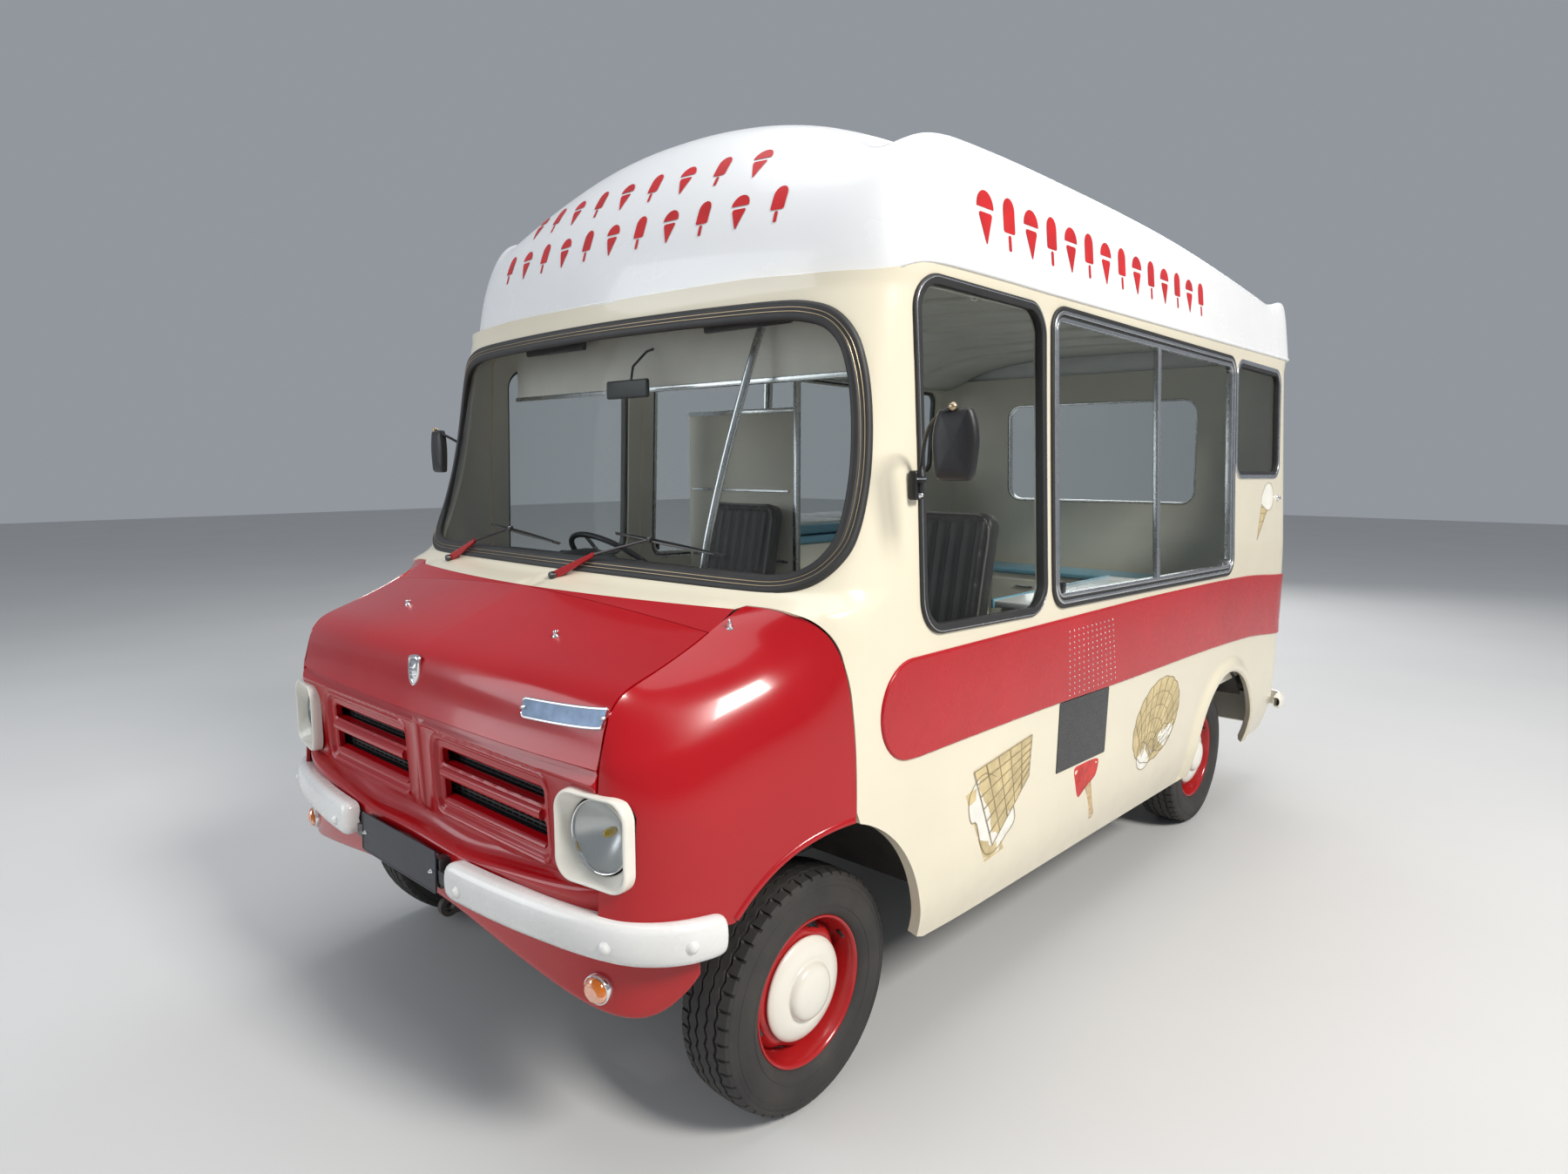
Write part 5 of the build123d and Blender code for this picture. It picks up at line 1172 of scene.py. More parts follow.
EDGE_ROW = [(0.7745, -0.120, 1.3070)] + [edge_at(w) for w in (0.855, 0.945, 1.028, 1.097, 1.160, 1.2035)] + [(1.0270, 0.004, 0.84), (1.0265, 0.004, 0.74), (1.0250, 0.004, 0.60)]
WING = [
    EDGE_ROW,
    [(0.7745, -0.200, 1.2745), (0.840, -0.165, 1.2690), (0.893, -0.142, 1.252), (0.940, -0.126, 1.221), (0.974, -0.114, 1.170), (0.995, -0.106, 1.090), (1.004, -0.098, 0.960), (1.007, -0.092, 0.84), (1.008, -0.088, 0.74), (1.008, -0.086, 0.60)],
    [(0.7745, -0.266, 1.2385), (0.835, -0.220, 1.230), (0.888, -0.190, 1.207), (0.927, -0.185, 1.167), (0.953, -0.185, 1.115), (0.967, -0.187, 1.058), (0.974, -0.190, 0.945), (0.977, -0.190, 0.84), (0.979, -0.190, 0.74), (0.980, -0.190, 0.60)],
    [(0.7745, -0.330, 1.213), (0.826, -0.296, 1.201), (0.870, -0.278, 1.175), (0.903, -0.278, 1.136), (0.926, -0.282, 1.088), (0.940, -0.287, 1.042), (0.949, -0.292, 0.940), (0.954, -0.293, 0.84), (0.957, -0.293, 0.74), (0.958, -0.293, 0.60)],
    [(0.7745, -0.395, 1.188), (0.816, -0.374, 1.171), (0.851, -0.366, 1.141), (0.877, -0.370, 1.103), (0.896, -0.377, 1.063), (0.909, -0.384, 1.028), (0.921, -0.392, 0.935), (0.927, -0.394, 0.84), (0.931, -0.394, 0.74), (0.932, -0.392, 0.60)],
    [(0.7745, -0.450, 1.170), (0.804, -0.442, 1.147), (0.829, -0.442, 1.114), (0.848, -0.449, 1.079), (0.862, -0.457, 1.046), (0.874, -0.464, 1.017), (0.887, -0.471, 0.930), (0.894, -0.472, 0.84), (0.898, -0.471, 0.74), (0.903, -0.480, 0.60)],
    [(0.7745, -0.490, 1.154), (0.792, -0.494, 1.121), (0.808, -0.499, 1.087), (0.820, -0.505, 1.058), (0.829, -0.512, 1.033), (0.838, -0.519, 1.010), (0.846, -0.526, 0.925), (0.851, -0.527, 0.84), (0.854, -0.526, 0.74), (0.858, -0.532, 0.60)],
    [(0.7745, -0.512, 1.130), (0.782, -0.523, 1.094), (0.789, -0.530, 1.065), (0.796, -0.536, 1.044), (0.800, -0.542, 1.025), (0.804, -0.547, 1.006), (0.807, -0.552, 0.922), (0.809, -0.552, 0.84), (0.811, -0.549, 0.74), (0.812, -0.562, 0.60)],
    [(0.7745, -0.522, 1.116), (0.7745, -0.534, 1.082), (0.7745, -0.540, 1.058), (0.7745, -0.545, 1.040), (0.7745, -0.549, 1.022), (0.7745, -0.553, 1.004), (0.7745, -0.560, 0.920), (0.7745, -0.561, 0.84), (0.7745, -0.559, 0.74), (0.7745, -0.574, 0.60)],
]
WINGP = Patch(np.array(WING))
WING_ARCH = (0.0, 0.385, 0.412)


def find_uv(patch, target, guess):
    """(u, v) of the point whose y and z are nearest the target's."""
    u, v = guess
    for _ in range(30):
        p = patch(u, v)
        e = 1e-4
        du = (patch(u + e, v) - p) / e
        dv = (patch(u, v + e) - p) / e
        J = np.array([[du[1], dv[1]], [du[2], dv[2]]])
        r = np.array([target[0] - p[1], target[1] - p[2]])
        d, *_ = np.linalg.lstsq(J, r, rcond=None)
        d = np.clip(d, -0.1, 0.1)
        u, v = float(np.clip(u + d[0], 0, 1)), float(np.clip(v + d[1], 0, 1))
        if np.abs(d).max() < 1e-7:
            break
    return u, v


cy, cz, r = WING_ARCH
arc = []
g0 = (0.02, 0.83)
a_hi = math.pi / 2 - 0.0
for a in np.linspace(math.pi / 2, math.pi + 0.02, 44):
    y, z = cy + r * math.cos(a), cz + r * math.sin(a)
    if z < 0.640:
        break
    g0 = find_uv(WINGP, (y, z), g0)
    arc.append(g0)
ZBOT = 0.640
# outline in (u, v): shut line, front seam down, lower edge back to the arch, arch to the rear edge, up
def v_at_z(u, z):
    lo, hi = 0.0, 1.0
    for _ in range(40):
        m = (lo + hi) / 2
        if WINGP(u, m)[2] > z:
            lo = m
        else:
            hi = m
    return (lo + hi) / 2


out_ = [(u, 0.0) for u in np.linspace(0, 1, 60)]
vb = v_at_z(1.0, ZBOT)
out_ += [(1.0, v) for v in np.linspace(0, vb, 40)[1:]]
u_end = arc[-1][0]
out_ += [(u, v_at_z(u, ZBOT)) for u in np.linspace(1.0, u_end + 0.01, 24)[1:]]
out_ += arc[::-1]
v_top = arc[0][1]
out_ += [(0.0, v) for v in np.linspace(v_top, 0, 44)[1:-1]]
# headlamp hole through the wing
LX, LZ = 0.758, 0.847
fu, fv = np.meshgrid(np.linspace(0.72, 1, 64), np.linspace(0.45, 0.98, 110))
FP = WINGP(fu, fv)
near_lamp = (np.abs(FP[..., 0] - 0.752) < 0.112) & (np.abs(FP[..., 2] - LZ) < 0.112) & (FP[..., 1] < -0.44)
fine = np.stack([fu[near_lamp], fv[near_lamp]], 1)
wuv, WF = trimmed(np.array(out_), [], np.linspace(0, 1, 66), np.linspace(0, 1, 70), fine, keep=0.35)
WP = WINGP(wuv[:, 0], wuv[:, 1])
lam = np.hypot(WP[:, 0] - LX, WP[:, 2] - LZ)
e = 1e-4
WN = unit(np.cross(WINGP(np.clip(wuv[:, 0] + e, 0, 1), wuv[:, 1]) - WINGP(np.clip(wuv[:, 0] - e, 0, 1), wuv[:, 1]),
                   WINGP(wuv[:, 0], np.clip(wuv[:, 1] + e, 0, 1)) - WINGP(wuv[:, 0], np.clip(wuv[:, 1] - e, 0, 1))))
if np.sum(WN[:, 0]) < 0:
    WN = -WN
a, b, c = WP[WF[:, 0]], WP[WF[:, 1]], WP[WF[:, 2]]
if np.sum(np.cross(b - a, c - a) * WN[WF[:, 0]]) < 0:
    WF = WF[:, ::-1]
WELL = rounded([(0.752 - 0.099, LZ - 0.0995), (0.752 + 0.099, LZ - 0.0995), (0.752 + 0.099, LZ + 0.0995), (0.752 - 0.099, LZ + 0.0995)], 0.043, 10)
inhole = inside(WP[WF].mean(1)[:, [0, 2]], WELL)
WF = WF[~(inhole & (WP[WF].mean(1)[:, 1] < -0.48))]
wg = Mesh()
V, Fs, ms = thick(WP, WF, WN, 0.010, 0, 0)
wg.add(V, Fs)
# rolled lip round the arch
ap = np.array([WINGP(u, v) for u, v in arc])
T = unit(np.gradient(ap, axis=0))
Nn = []
for u, v in arc:
    e = 1e-3
    uu_, vv_ = min(max(u, e), 1 - e), min(v, 1 - e)
    n_ = np.cross(WINGP(uu_ + e, vv_) - WINGP(uu_ - e, vv_), WINGP(uu_, vv_ + e) - WINGP(uu_, vv_ - e))
    Nn.append(n_ / np.linalg.norm(n_) * (1 if n_[0] > 0 else -1))
Nn = np.array(Nn)
B = unit(np.cross(Nn, T))
cvec = ap - np.array([0, cy, cz]) * (0, 1, 1)
cvec[:, 0] = 0
if np.mean(np.sum(B * cvec, 1)) < 0:
    B = -B
wg.sweep(ap, B, Nn, [(0.016, -0.004), (0.013, 0.0015), (0.006, 0.0045), (-0.001, 0.003), (-0.004, -0.003), (-0.003, -0.022), (0.002, -0.022), (0.004, -0.006)], 0, False, True, caps=True)
wg.mirrored()
wg.make("front_wing_skins", [M_red], rep="front_wings", slot="red_paint", weld=1e-6, sharp=40)


# ------------------------------------------------------------------ grille panel
def grille_y(x, z):
    q = np.abs(x) / BX
    return -0.5675 + (0.98 - z) * 0.046 + 0.008 * q ** 4


REC = [rounded([(s * 0.076, 0.748), (s * 0.590, 0.748), (s * 0.590, 0.944), (s * 0.076, 0.944)], 0.032, 8) for s in (1, -1)]
SLOT = []
for s in (1, -1):
    for z0, z1, r in ((0.872, 0.914, 0.012), (0.772, 0.836, 0.014)):
        SLOT.append(rounded([(s * 0.098, z0), (s * 0.560, z0), (s * 0.560, z1), (s * 0.098, z1)], r, 7))


def signed_in(P, loop):
    """Distance inside an outline, negative outside."""
    return near(P, loop) * np.where(inside(P, loop), 1, -1)


def grille_pt(x, z):
    P = np.stack([np.ravel(x), np.ravel(z)], 1)
    y = grille_y(P[:, 0], P[:, 1])
    for L in REC:
        t = np.clip(signed_in(P, L) / 0.009, 0, 1)
        y = y + 0.009 * t * t * (3 - 2 * t)
    for L in SLOT:                      # the slots' edges roll inwards
        d = near(P, L)
        t = np.clip(1 - d / 0.009, 0, 1)
        y = y + 0.005 * t * t
    # raised bead round each recess, the rib between them, and the ridge below the bonnet lip
    b_ = np.zeros(len(P))
    for L in REC:
        t = np.clip(1 - np.abs(signed_in(P, L) + 0.0085) / 0.0065, 0, 1)
        b_ = np.maximum(b_, t * t * (3 - 2 * t) * 0.75)
    t = np.clip((0.0165 - np.abs(P[:, 0])) / 0.008, 0, 1) * np.clip((P[:, 1] - 0.722) / 0.015, 0, 1)
    b_ = np.maximum(b_, 1.3 * t * t * (3 - 2 * t))
    t = np.clip(1 - np.abs(P[:, 1] - 0.968) / 0.011, 0, 1)
    b_ = np.maximum(b_, 1.35 * t * t * (3 - 2 * t))
    y = y - 0.0042 * b_
    y = y + 0.010 * np.clip((P[:, 1] - 0.981) / 0.014, 0, 1)
    return np.stack([P[:, 0], y, P[:, 1]], 1)


outer = dense([(-0.7685, 0.722), (0.7685, 0.722), (0.7685, 1.0005), (-0.7685, 1.0005)], 0.02)
ex = []
for L in REC:
    for dd in (0.0, -0.003, -0.006, -0.009, -0.012, 0.002, 0.005, 0.0085, 0.012, 0.015):
        ex += list(dense(grown(L, dd), 0.012))
for L in SLOT:
    for dd in (0.0025, 0.005, 0.0075, 0.010):
        ex += list(dense(grown(L, dd), 0.010))
for xg in (-0.0125, 0.0125):
    for dx in (-0.004, -0.002, 0, 0.002, 0.004):
        ex += [(xg + dx, z) for z in np.linspace(0.73, 0.96, 24)]
for zz in (0.957, 0.961, 0.965, 0.968, 0.971, 0.975, 0.979, 0.983, 0.988, 0.993):
    ex += [(x, zz) for x in np.linspace(-0.76, 0.76, 90)]
lamp_c = [dense(WELL * (s, 1), 0.012) for s in (1, -1)]
uv, F = trimmed(outer, [dense(L, 0.012) for L in SLOT] + lamp_c, np.linspace(-0.7685, 0.7685, 38), np.linspace(0.722, 1.0005, 9), ex)
P = grille_pt(uv[:, 0], uv[:, 1])
e = 4e-4
N = unit(np.cross(grille_pt(uv[:, 0] + e, uv[:, 1]) - grille_pt(uv[:, 0] - e, uv[:, 1]), grille_pt(uv[:, 0], uv[:, 1] + e) - grille_pt(uv[:, 0], uv[:, 1] - e)))
N = N * np.where(N[:, 1] > 0, -1, 1)[:, None]
a, b, c = P[F[:, 0]], P[F[:, 1]], P[F[:, 2]]
if np.sum(np.cross(b - a, c - a) * N[F[:, 0]]) < 0:
    F = F[:, ::-1]
gr = Mesh()
V, Fs, ms = thick(P, F, np.tile([0, -1.0, 0], (len(P), 1)), 0.016, 0, 0)
gr.add(V, Fs)
# rounded slat between the two rows of slots
for s in (1, -1):
    xs_l = np.linspace(0.104, 0.554, 24) * s
    P_ = np.stack([xs_l, grille_y(xs_l, 0.852) + 0.009, np.full(24, 0.852)], 1)
    gr.sweep(P_, np.tile([0, 0, 1.0], (24, 1)), np.tile([0, -1.0, 0], (24, 1)), [(-0.0150, -0.030), (-0.0165, -0.004), (-0.0155, 0.002), (-0.0125, 0.0065), (-0.008, 0.0092), (-0.002, 0.0102), (0.004, 0.0098), (0.0085, 0.0075), (0.013, 0.0005), (0.019, -0.012), (0.0225, -0.020), (0.0225, -0.030)], 0, False, True, caps=True, flip=s > 0)
    P_ = np.stack([xs_l * 1.0, grille_y(xs_l, 0.772) + 0.009, np.full(24, 0.772)], 1)
    gr.sweep(P_, np.tile([0, 0, 1.0], (24, 1)), np.tile([0, -1.0, 0], (24, 1)), [(-0.006, -0.024), (-0.006, -0.001), (-0.002, 0.0012), (0.002, -0.0005), (0.008, -0.010), (0.013, -0.024)], 0, False, True, caps=True, flip=s > 0)
gr.make("grille_skin", [M_red], rep="grille_panel", slot="red_paint", sharp=38)
# dark cowling with fine cross wires behind the slots
gb = Mesh()
xs_l = np.linspace(-0.64, 0.64, 40)
gb.grid([[(x, -0.505, z) for x in xs_l] for z in np.linspace(0.735, 0.955, 12)], 0)
for z in np.arange(0.745, 0.95, 0.011):
    gb.tube([(x, -0.5085, z) for x in np.linspace(-0.60, 0.60, 7)], 0.0008, 0, 5)
for x in np.arange(-0.6, 0.601, 0.03):
    gb.tube([(x, -0.5075, z) for z in (0.740, 0.85, 0.95)], 0.0008, 0, 5)
gb.make("grille_backing", [M_plastic, M_steel], slot="black_paint", solid=0.004)

# ------------------------------------------------------------------ apron
# Columns: x, y of the face, top z, bottom z, stand-out of the ledge.
APRON = [
    (0.000, -0.604, 0.686, 0.541, 1.0), (0.100, -0.604, 0.683, 0.539, 1.0), (0.210, -0.603, 0.676, 0.533, 1.0), (0.300, -0.602, 0.680, 0.523, 1.0), (0.400, -0.599, 0.694, 0.508, 1.0),
    (0.500, -0.595, 0.705, 0.494, 1.0), (0.600, -0.588, 0.714, 0.479, 1.0), (0.680, -0.578, 0.723, 0.465, 1.0), (0.750, -0.560, 0.732, 0.452, 0.9), (0.800, -0.536, 0.738, 0.443, 0.7),
    (0.838, -0.505, 0.735, 0.440, 0.4), (0.868, -0.470, 0.726, 0.452, 0.15), (0.892, -0.440, 0.716, 0.480, 0.0), (0.909, -0.418, 0.708, 0.508, 0.0), (0.920, -0.404, 0.700, 0.534, 0.0),
]
A_ = np.array(APRON)
tng = np.gradient(A_[:, :2], axis=0)
nrm = unit(np.stack([tng[:, 1], -tng[:, 0]], 1))           # towards the front and outside
rows = []
for (x, y, zt, zb, k), n_ in zip(APRON, nrm):
    h = zt - zb

    def q(off, z):
        return (x + n_[0] * off, y + n_[1] * off, z)

    rows.append([q(-0.052, max(zt + 0.052, 0.735)), q(-0.0485, max(zt + 0.036, 0.726)), q(-0.042, zt + 0.0215), q(-0.030, zt + 0.0125), q(-0.013 - 0.006 * (1 - k), zt + 0.009), q(-0.001 - 0.008 * (1 - k), zt + 0.004), q(0.003 * k - 0.006 * (1 - k), zt - 0.007), q(0.001 * k - 0.004 * (1 - k), zt - 0.024),
                 q(-0.006, zt - 0.045), q(-0.007, zt - 0.5 * h), q(-0.005, zb + 0.035), q(-0.004, zb + 0.012), q(-0.007, zb + 0.002), q(-0.014, zb - 0.0005), q(-0.030, zb + 0.004)])
rows = np.array(rows)
ap_p = Patch(np.concatenate([(rows * (-1, 1, 1))[::-1][:-1], rows], 0))
G = ap_p(np.linspace(0, 1, 140)[:, None], np.linspace(0, 1, 44)[None, :])
apr = Mesh()
apr.grid(G, 0, flip=False)
apr.make("apron_skin", [M_red], rep="front_apron", slot="red_paint", sharp=50, solid=0.004, outward=False)

# ------------------------------------------------------------------ headlamps
sur, lam = Mesh(), Mesh()
for s in (1, -1):
    O = Vector((s * 0.752, -0.5560, 0.847))
    n_ = Vector((s * math.sin(math.radians(9)), -math.cos(math.radians(9)), 0.0)).normalized()
    ex_ = Vector((0, 0, 1)).cross(n_).normalized()
    ez_ = Vector((0, 0, 1))
    K = 96
    sq = dense(rounded([(-0.107, -0.106), (0.107, -0.106), (0.107, 0.106), (-0.107, 0.106)], 0.050, 14), 0.01)
    ang = np.linspace(0, 2 * math.pi, K, endpoint=False)

    def sq_at(t, k=1.0, d=0.0):
        """Point of the rounded square in direction t, moved inwards by d."""
        th = np.arctan2(sq[:, 1], sq[:, 0])
        rr = np.hypot(sq[:, 0], sq[:, 1])
        o = np.argsort(th)
        r0 = np.interp(t, np.concatenate([th[o] - 2 * math.pi, th[o], th[o] + 2 * math.pi]), np.tile(rr[o], 3))
        return r0 - d

    tt = (ang + math.pi) % (2 * math.pi) - math.pi
    rs = sq_at(tt)
    prof = [(0, 0.0, -0.014), (0, 0.0003, -0.002), (0, 0.0010, 0.007), (0, 0.0025, 0.0120), (0, 0.0048, 0.0148), (0, 0.0075, 0.0155), (0, 0.0100, 0.0142), (0, 0.0120, 0.0110)]
    rows = []
    for _, ins, dep in prof:
        rows.append([O + ex_ * ((rs[i] - ins) * math.cos(ang[i])) + ez_ * ((rs[i] - ins) * math.sin(ang[i])) + n_ * dep for i in range(K)])
    for k, dep in ((0.22, 0.0045), (0.45, -0.0030), (0.70, -0.0110), (1.0, -0.0200)):
        rows.append([O + ex_ * (((rs[i] - 0.0120) * (1 - k) + 0.0885 * k) * math.cos(ang[i])) + ez_ * (((rs[i] - 0.0120) * (1 - k) + 0.0885 * k) * math.sin(ang[i])) + n_ * dep for i in range(K)])
    rows.append([O + ex_ * (0.0880 * math.cos(t)) + ez_ * (0.0880 * math.sin(t)) + n_ * -0.023 for t in ang])
    rows.append([O + ex_ * (0.0880 * math.cos(t)) + ez_ * (0.0880 * math.sin(t)) + n_ * -0.050 for t in ang])
    sur.grid([[tuple(p) for p in r] for r in rows], 0, False, True, flip=False)
    # black gap ring, chrome rim, reflector, fluted lens, bulb shield
    O = O - n_ * 0.0195
    o_ = tuple(O)
    lam.lathe([(-0.020, 0.0895), (-0.006, 0.0880), (-0.004, 0.0865), (-0.008, 0.0840)], o_, n_, 0, 72, flip=True)
    lam.lathe([(-0.010, 0.0842), (-0.001, 0.0845), (0.002, 0.0838), (0.0035, 0.0826), (0.0030, 0.0812), (0.000, 0.0800), (-0.006, 0.0790)], o_, n_, 1, 72, flip=True)
    lam.lathe([(-0.004, 0.0800)] + [(-0.004 - 0.058 * (1 - (r / 0.08) ** 2), r) for r in np.linspace(0.0795, 0.012, 12)] + [(-0.062, 0.0)], o_, n_, 2, 72, flip=True)
    lam.lathe([(-0.050, 0.0), (-0.048, 0.008), (-0.040, 0.0105), (-0.026, 0.0105), (-0.018, 0.0085), (-0.013, 0.004), (-0.012, 0.0)][::-1], o_, n_, 4, 24)
    n_l = 60
    GG = []
    for i, r in enumerate(np.linspace(0.0802, 0.0006, 34)):
        row = []
        for t in np.linspace(0, 2 * math.pi, 144, endpoint=False):
            x_, z_ = r * math.cos(t), r * math.sin(t)
            dome = 0.002 + 0.0155 * (1 - (r / 0.0802) ** 2)
            fl = 0.00075 * math.cos(2 * math.pi * x_ / 0.0085) if abs(z_) < 0.052 and r < 0.072 else 0.0
            if r < 0.072 and abs(z_) >= 0.052:
                fl = 0.0006 * math.cos(2 * math.pi * x_ / 0.0085 + 1.2)
            row.append(tuple(O + ex_ * x_ + ez_ * z_ + n_ * (dome + fl)))
        GG.append(row)
    lam.grid(GG, 3, False, True, flip=False)
sur.make("lamp_surrounds", [M_surround], rep="headlamp_surrounds", slot="white_paint", sharp=50, outward=False)
lam.make("headlamp_units", [M_rubber, M_chrome, M_reflector, M_lens, M_bulb], rep="headlamps", slot="lamp_glass", sharp=60)

ind = Mesh()
for s in (1, -1):
    O = (s * 0.753, -0.556, 0.506)
    n_ = Vector((s * 0.22, -1, -0.03)).normalized()
    ind.lathe([(-0.016, 0.0), (-0.016, 0.034), (0.002, 0.0355), (0.005, 0.034), (0.006, 0.0315), (0.003, 0.0305)], O, n_, 1, 40, flip=True)
    ind.lathe([(0.004, 0.0308), (0.009, 0.0300), (0.0125, 0.0275), (0.0135, 0.0270), (0.0165, 0.0225), (0.0175, 0.0220), (0.0195, 0.0160), (0.0205, 0.0155), (0.0218, 0.008), (0.0222, 0.0)], O, n_, 0, 40, flip=True)
ind.make("indicator_lamps", [M_amber, M_chrome], rep="front_indicators", slot="amber_lens", sharp=40)

# ------------------------------------------------------------------ front bumper, plates
bu = Mesh()
path = smooth_curve([(0.278, -0.6465), (0.34, -0.6445), (0.46, -0.636), (0.58, -0.621), (0.70, -0.599), (0.79, -0.573), (0.855, -0.541), (0.902, -0.497), (0.932, -0.449), (0.947, -0.398), (0.951, -0.352)], 8)
T = unit(np.gradient(path, axis=0))
nn = np.stack([T[:, 1], -T[:, 0]], 1)
L_ = np.concatenate([[0], np.cumsum(np.linalg.norm(np.diff(path, axis=0), axis=1))])
tot = L_[-1]
# stations crowded towards the rounded ends
st_ = np.concatenate([[0.0004, 0.002, 0.005, 0.010, 0.017, 0.026], np.linspace(0.04, tot - 0.04, 44), tot - np.array([0.026, 0.017, 0.010, 0.005, 0.002, 0.0004])])
rows = []
for l in st_:
    x, y = np.interp(l, L_, path[:, 0]), np.interp(l, L_, path[:, 1])
    n_ = np.array([np.interp(l, L_, nn[:, 0]), np.interp(l, L_, nn[:, 1])])
    zc = 0.6415 - 0.0145 * np.clip((l - 0.35) / (tot - 0.35), 0, 1) ** 1.5
    d0 = min(l, tot - l)
    f = 1.0 if d0 > 0.03 else math.sqrt(max(1 - (1 - d0 / 0.03) ** 2, 0.0)) * 0.38 + 0.62
    pull = 0.0 if d0 > 0.012 else (1 - d0 / 0.012) ** 2 * 0.010
    sec = [(-0.034, 0.0450), (-0.014, 0.0478), (-0.003, 0.0468), (0.0055, 0.0410), (0.0105, 0.0300), (0.0125, 0.0150), (0.0130, 0.0), (0.0125, -0.0150), (0.0105, -0.0300), (0.0055, -0.0410), (-0.003, -0.0468), (-0.014, -0.0478), (-0.034, -0.0450), (-0.034, -0.030), (-0.030, 0.0), (-0.034, 0.030)]
    rows.append([(x + n_[0] * (a - pull if a > -0.02 else a), y + n_[1] * (a - pull if a > -0.02 else a), zc + b * f) for a, b in sec])
o = len(bu.v)
bu.grid(rows, 0, False, True, flip=True)
k = len(rows[0])
bu.f.append(tuple(o + i for i in range(k))); bu.m.append(0)
e0 = o + (len(rows) - 1) * k
bu.f.append(tuple(e0 + i for i in range(k))[::-1]); bu.m.append(0)


def bolt(mesh, p, n_, r=0.013, m=0):
    mesh.lathe([(-0.002, r * 1.25), (0.0012, r * 1.25), (0.0022, r * 1.1), (0.0030, r), (0.0062, r * 0.86), (0.0086, r * 0.5), (0.0094, 0.0)], p, n_, m, 20, flip=True)


for l, z in ((0.062, 0.632), (tot * 0.66, 0.630), (tot * 0.885, 0.630)):
    x, y = np.interp(l, L_, path[:, 0]), np.interp(l, L_, path[:, 1])
    n_ = np.array([np.interp(l, L_, nn[:, 0]), np.interp(l, L_, nn[:, 1]), 0])
    bolt(bu, tuple(np.array([x, y, z]) + n_ * 0.0128), n_, 0.012, 0)
bu.mirrored()
bu.make("bumper_halves", [M_whitepaint], rep="front_bumper", slot="white_paint", sharp=42)
pl = Mesh()
pl.rbox((-0.252, -0.634, 0.604), (0.252, -0.622, 0.640), 0.003, 2, 1)
for s in (1, -1):
    pl.rbox((s * 0.200 - 0.018, -0.632, 0.590), (s * 0.200 + 0.018, -0.585, 0.668), 0.004, 2, 1)
    pl.rbox((s * 0.30 - 0.02, -0.622, 0.612), (s * 0.30 + 0.02, -0.58, 0.664), 0.004, 2, 1)
tilt = Matrix.Translation((0, -0.639, 0.632)) @ Matrix.Rotation(math.radians(-2), 4, "X") @ Matrix.Translation((0, 0.639, -0.632))
out_l = rounded([(-0.208, 0.577), (0.208, 0.577), (0.208, 0.687), (-0.208, 0.687)], 0.010, 6)
for off, lo_, hi_, m_ in ((0.0, -0.6385, -0.6355, 0),):
    ring = [[(p[0], hi_, p[1]) for p in out_l], [(p[0], lo_, p[1]) for p in grown(out_l, 0.0)], [(p[0], lo_ - 0.0012, p[1]) for p in grown(out_l, -0.0015)], [(p[0], lo_ - 0.0012, p[1]) for p in grown(out_l, -0.0045)], [(p[0], lo_ + 0.0002, p[1]) for p in grown(out_l, -0.006)]]
    o = len(pl.v)
    pl.grid([[tuple(tilt @ Vector(p)) for p in r] for r in ring], m_, False, True, flip=False)
    pl.f.append(tuple(o + 4 * len(out_l) + i for i in range(len(out_l)))[::-1]); pl.m.append(m_)
    pl.f.append(tuple(o + i for i in range(len(out_l)))); pl.m.append(m_)
for s in (1, -1):
    bolt(pl, (s * 0.185, -0.6385, 0.632), (0, -1, 0), 0.005, 2)
# rear plate with its lamp
out_l = rounded([(-0.228, 0.642), (0.228, 0.642), (0.228, 0.748), (-0.228, 0.748)], 0.010, 6)
ring = [[(p[0], 3.566, p[1]) for p in out_l], [(p[0], 3.573, p[1]) for p in out_l], [(p[0], 3.5745, p[1]) for p in grown(out_l, -0.0015)], [(p[0], 3.5745, p[1]) for p in grown(out_l, -0.0045)], [(p[0], 3.573, p[1]) for p in grown(out_l, -0.006)]]
o = len(pl.v)
pl.grid(ring, 0, False, True, flip=True)
pl.f.append(tuple(o + 4 * len(out_l) + i for i in range(len(out_l)))); pl.m.append(0)
pl.f.append(tuple(o + i for i in range(len(out_l)))[::-1]); pl.m.append(0)
pl.rbox((-0.055, 3.560, 0.760), (0.055, 3.590, 0.782), 0.006, 3, 2)
for s in (1, -1):
    bolt(pl, (s * 0.20, 3.573, 0.695), (0, 1, 0), 0.005, 2)
pl.make("blank_plates", [M_plate, M_black, M_chrome], rep="number_plates", slot="plate_black", sharp=35)

# bonnet badge, name plate, washer nozzles, aerial
bd = Mesh()
pc = BON(0.735, 0.0)
shield = [(-0.026, 0.034), (-0.020, 0.040), (0.0, 0.043), (0.020, 0.040), (0.026, 0.034), (0.025, -0.004), (0.020, -0.022), (0.010, -0.034), (0.0, -0.039), (-0.010, -0.034), (-0.020, -0.022), (-0.025, -0.004)]
sh = smooth_curve([(x, z) for x, z in shield], 4, True)
lean = math.radians(12)


def badge_pt(x, z, d):
    zz = 1.103 + z
    yy = -0.5655 - 0.0 + (z * math.sin(-lean)) * -1 * 0.35
    return (x, yy - d, zz)


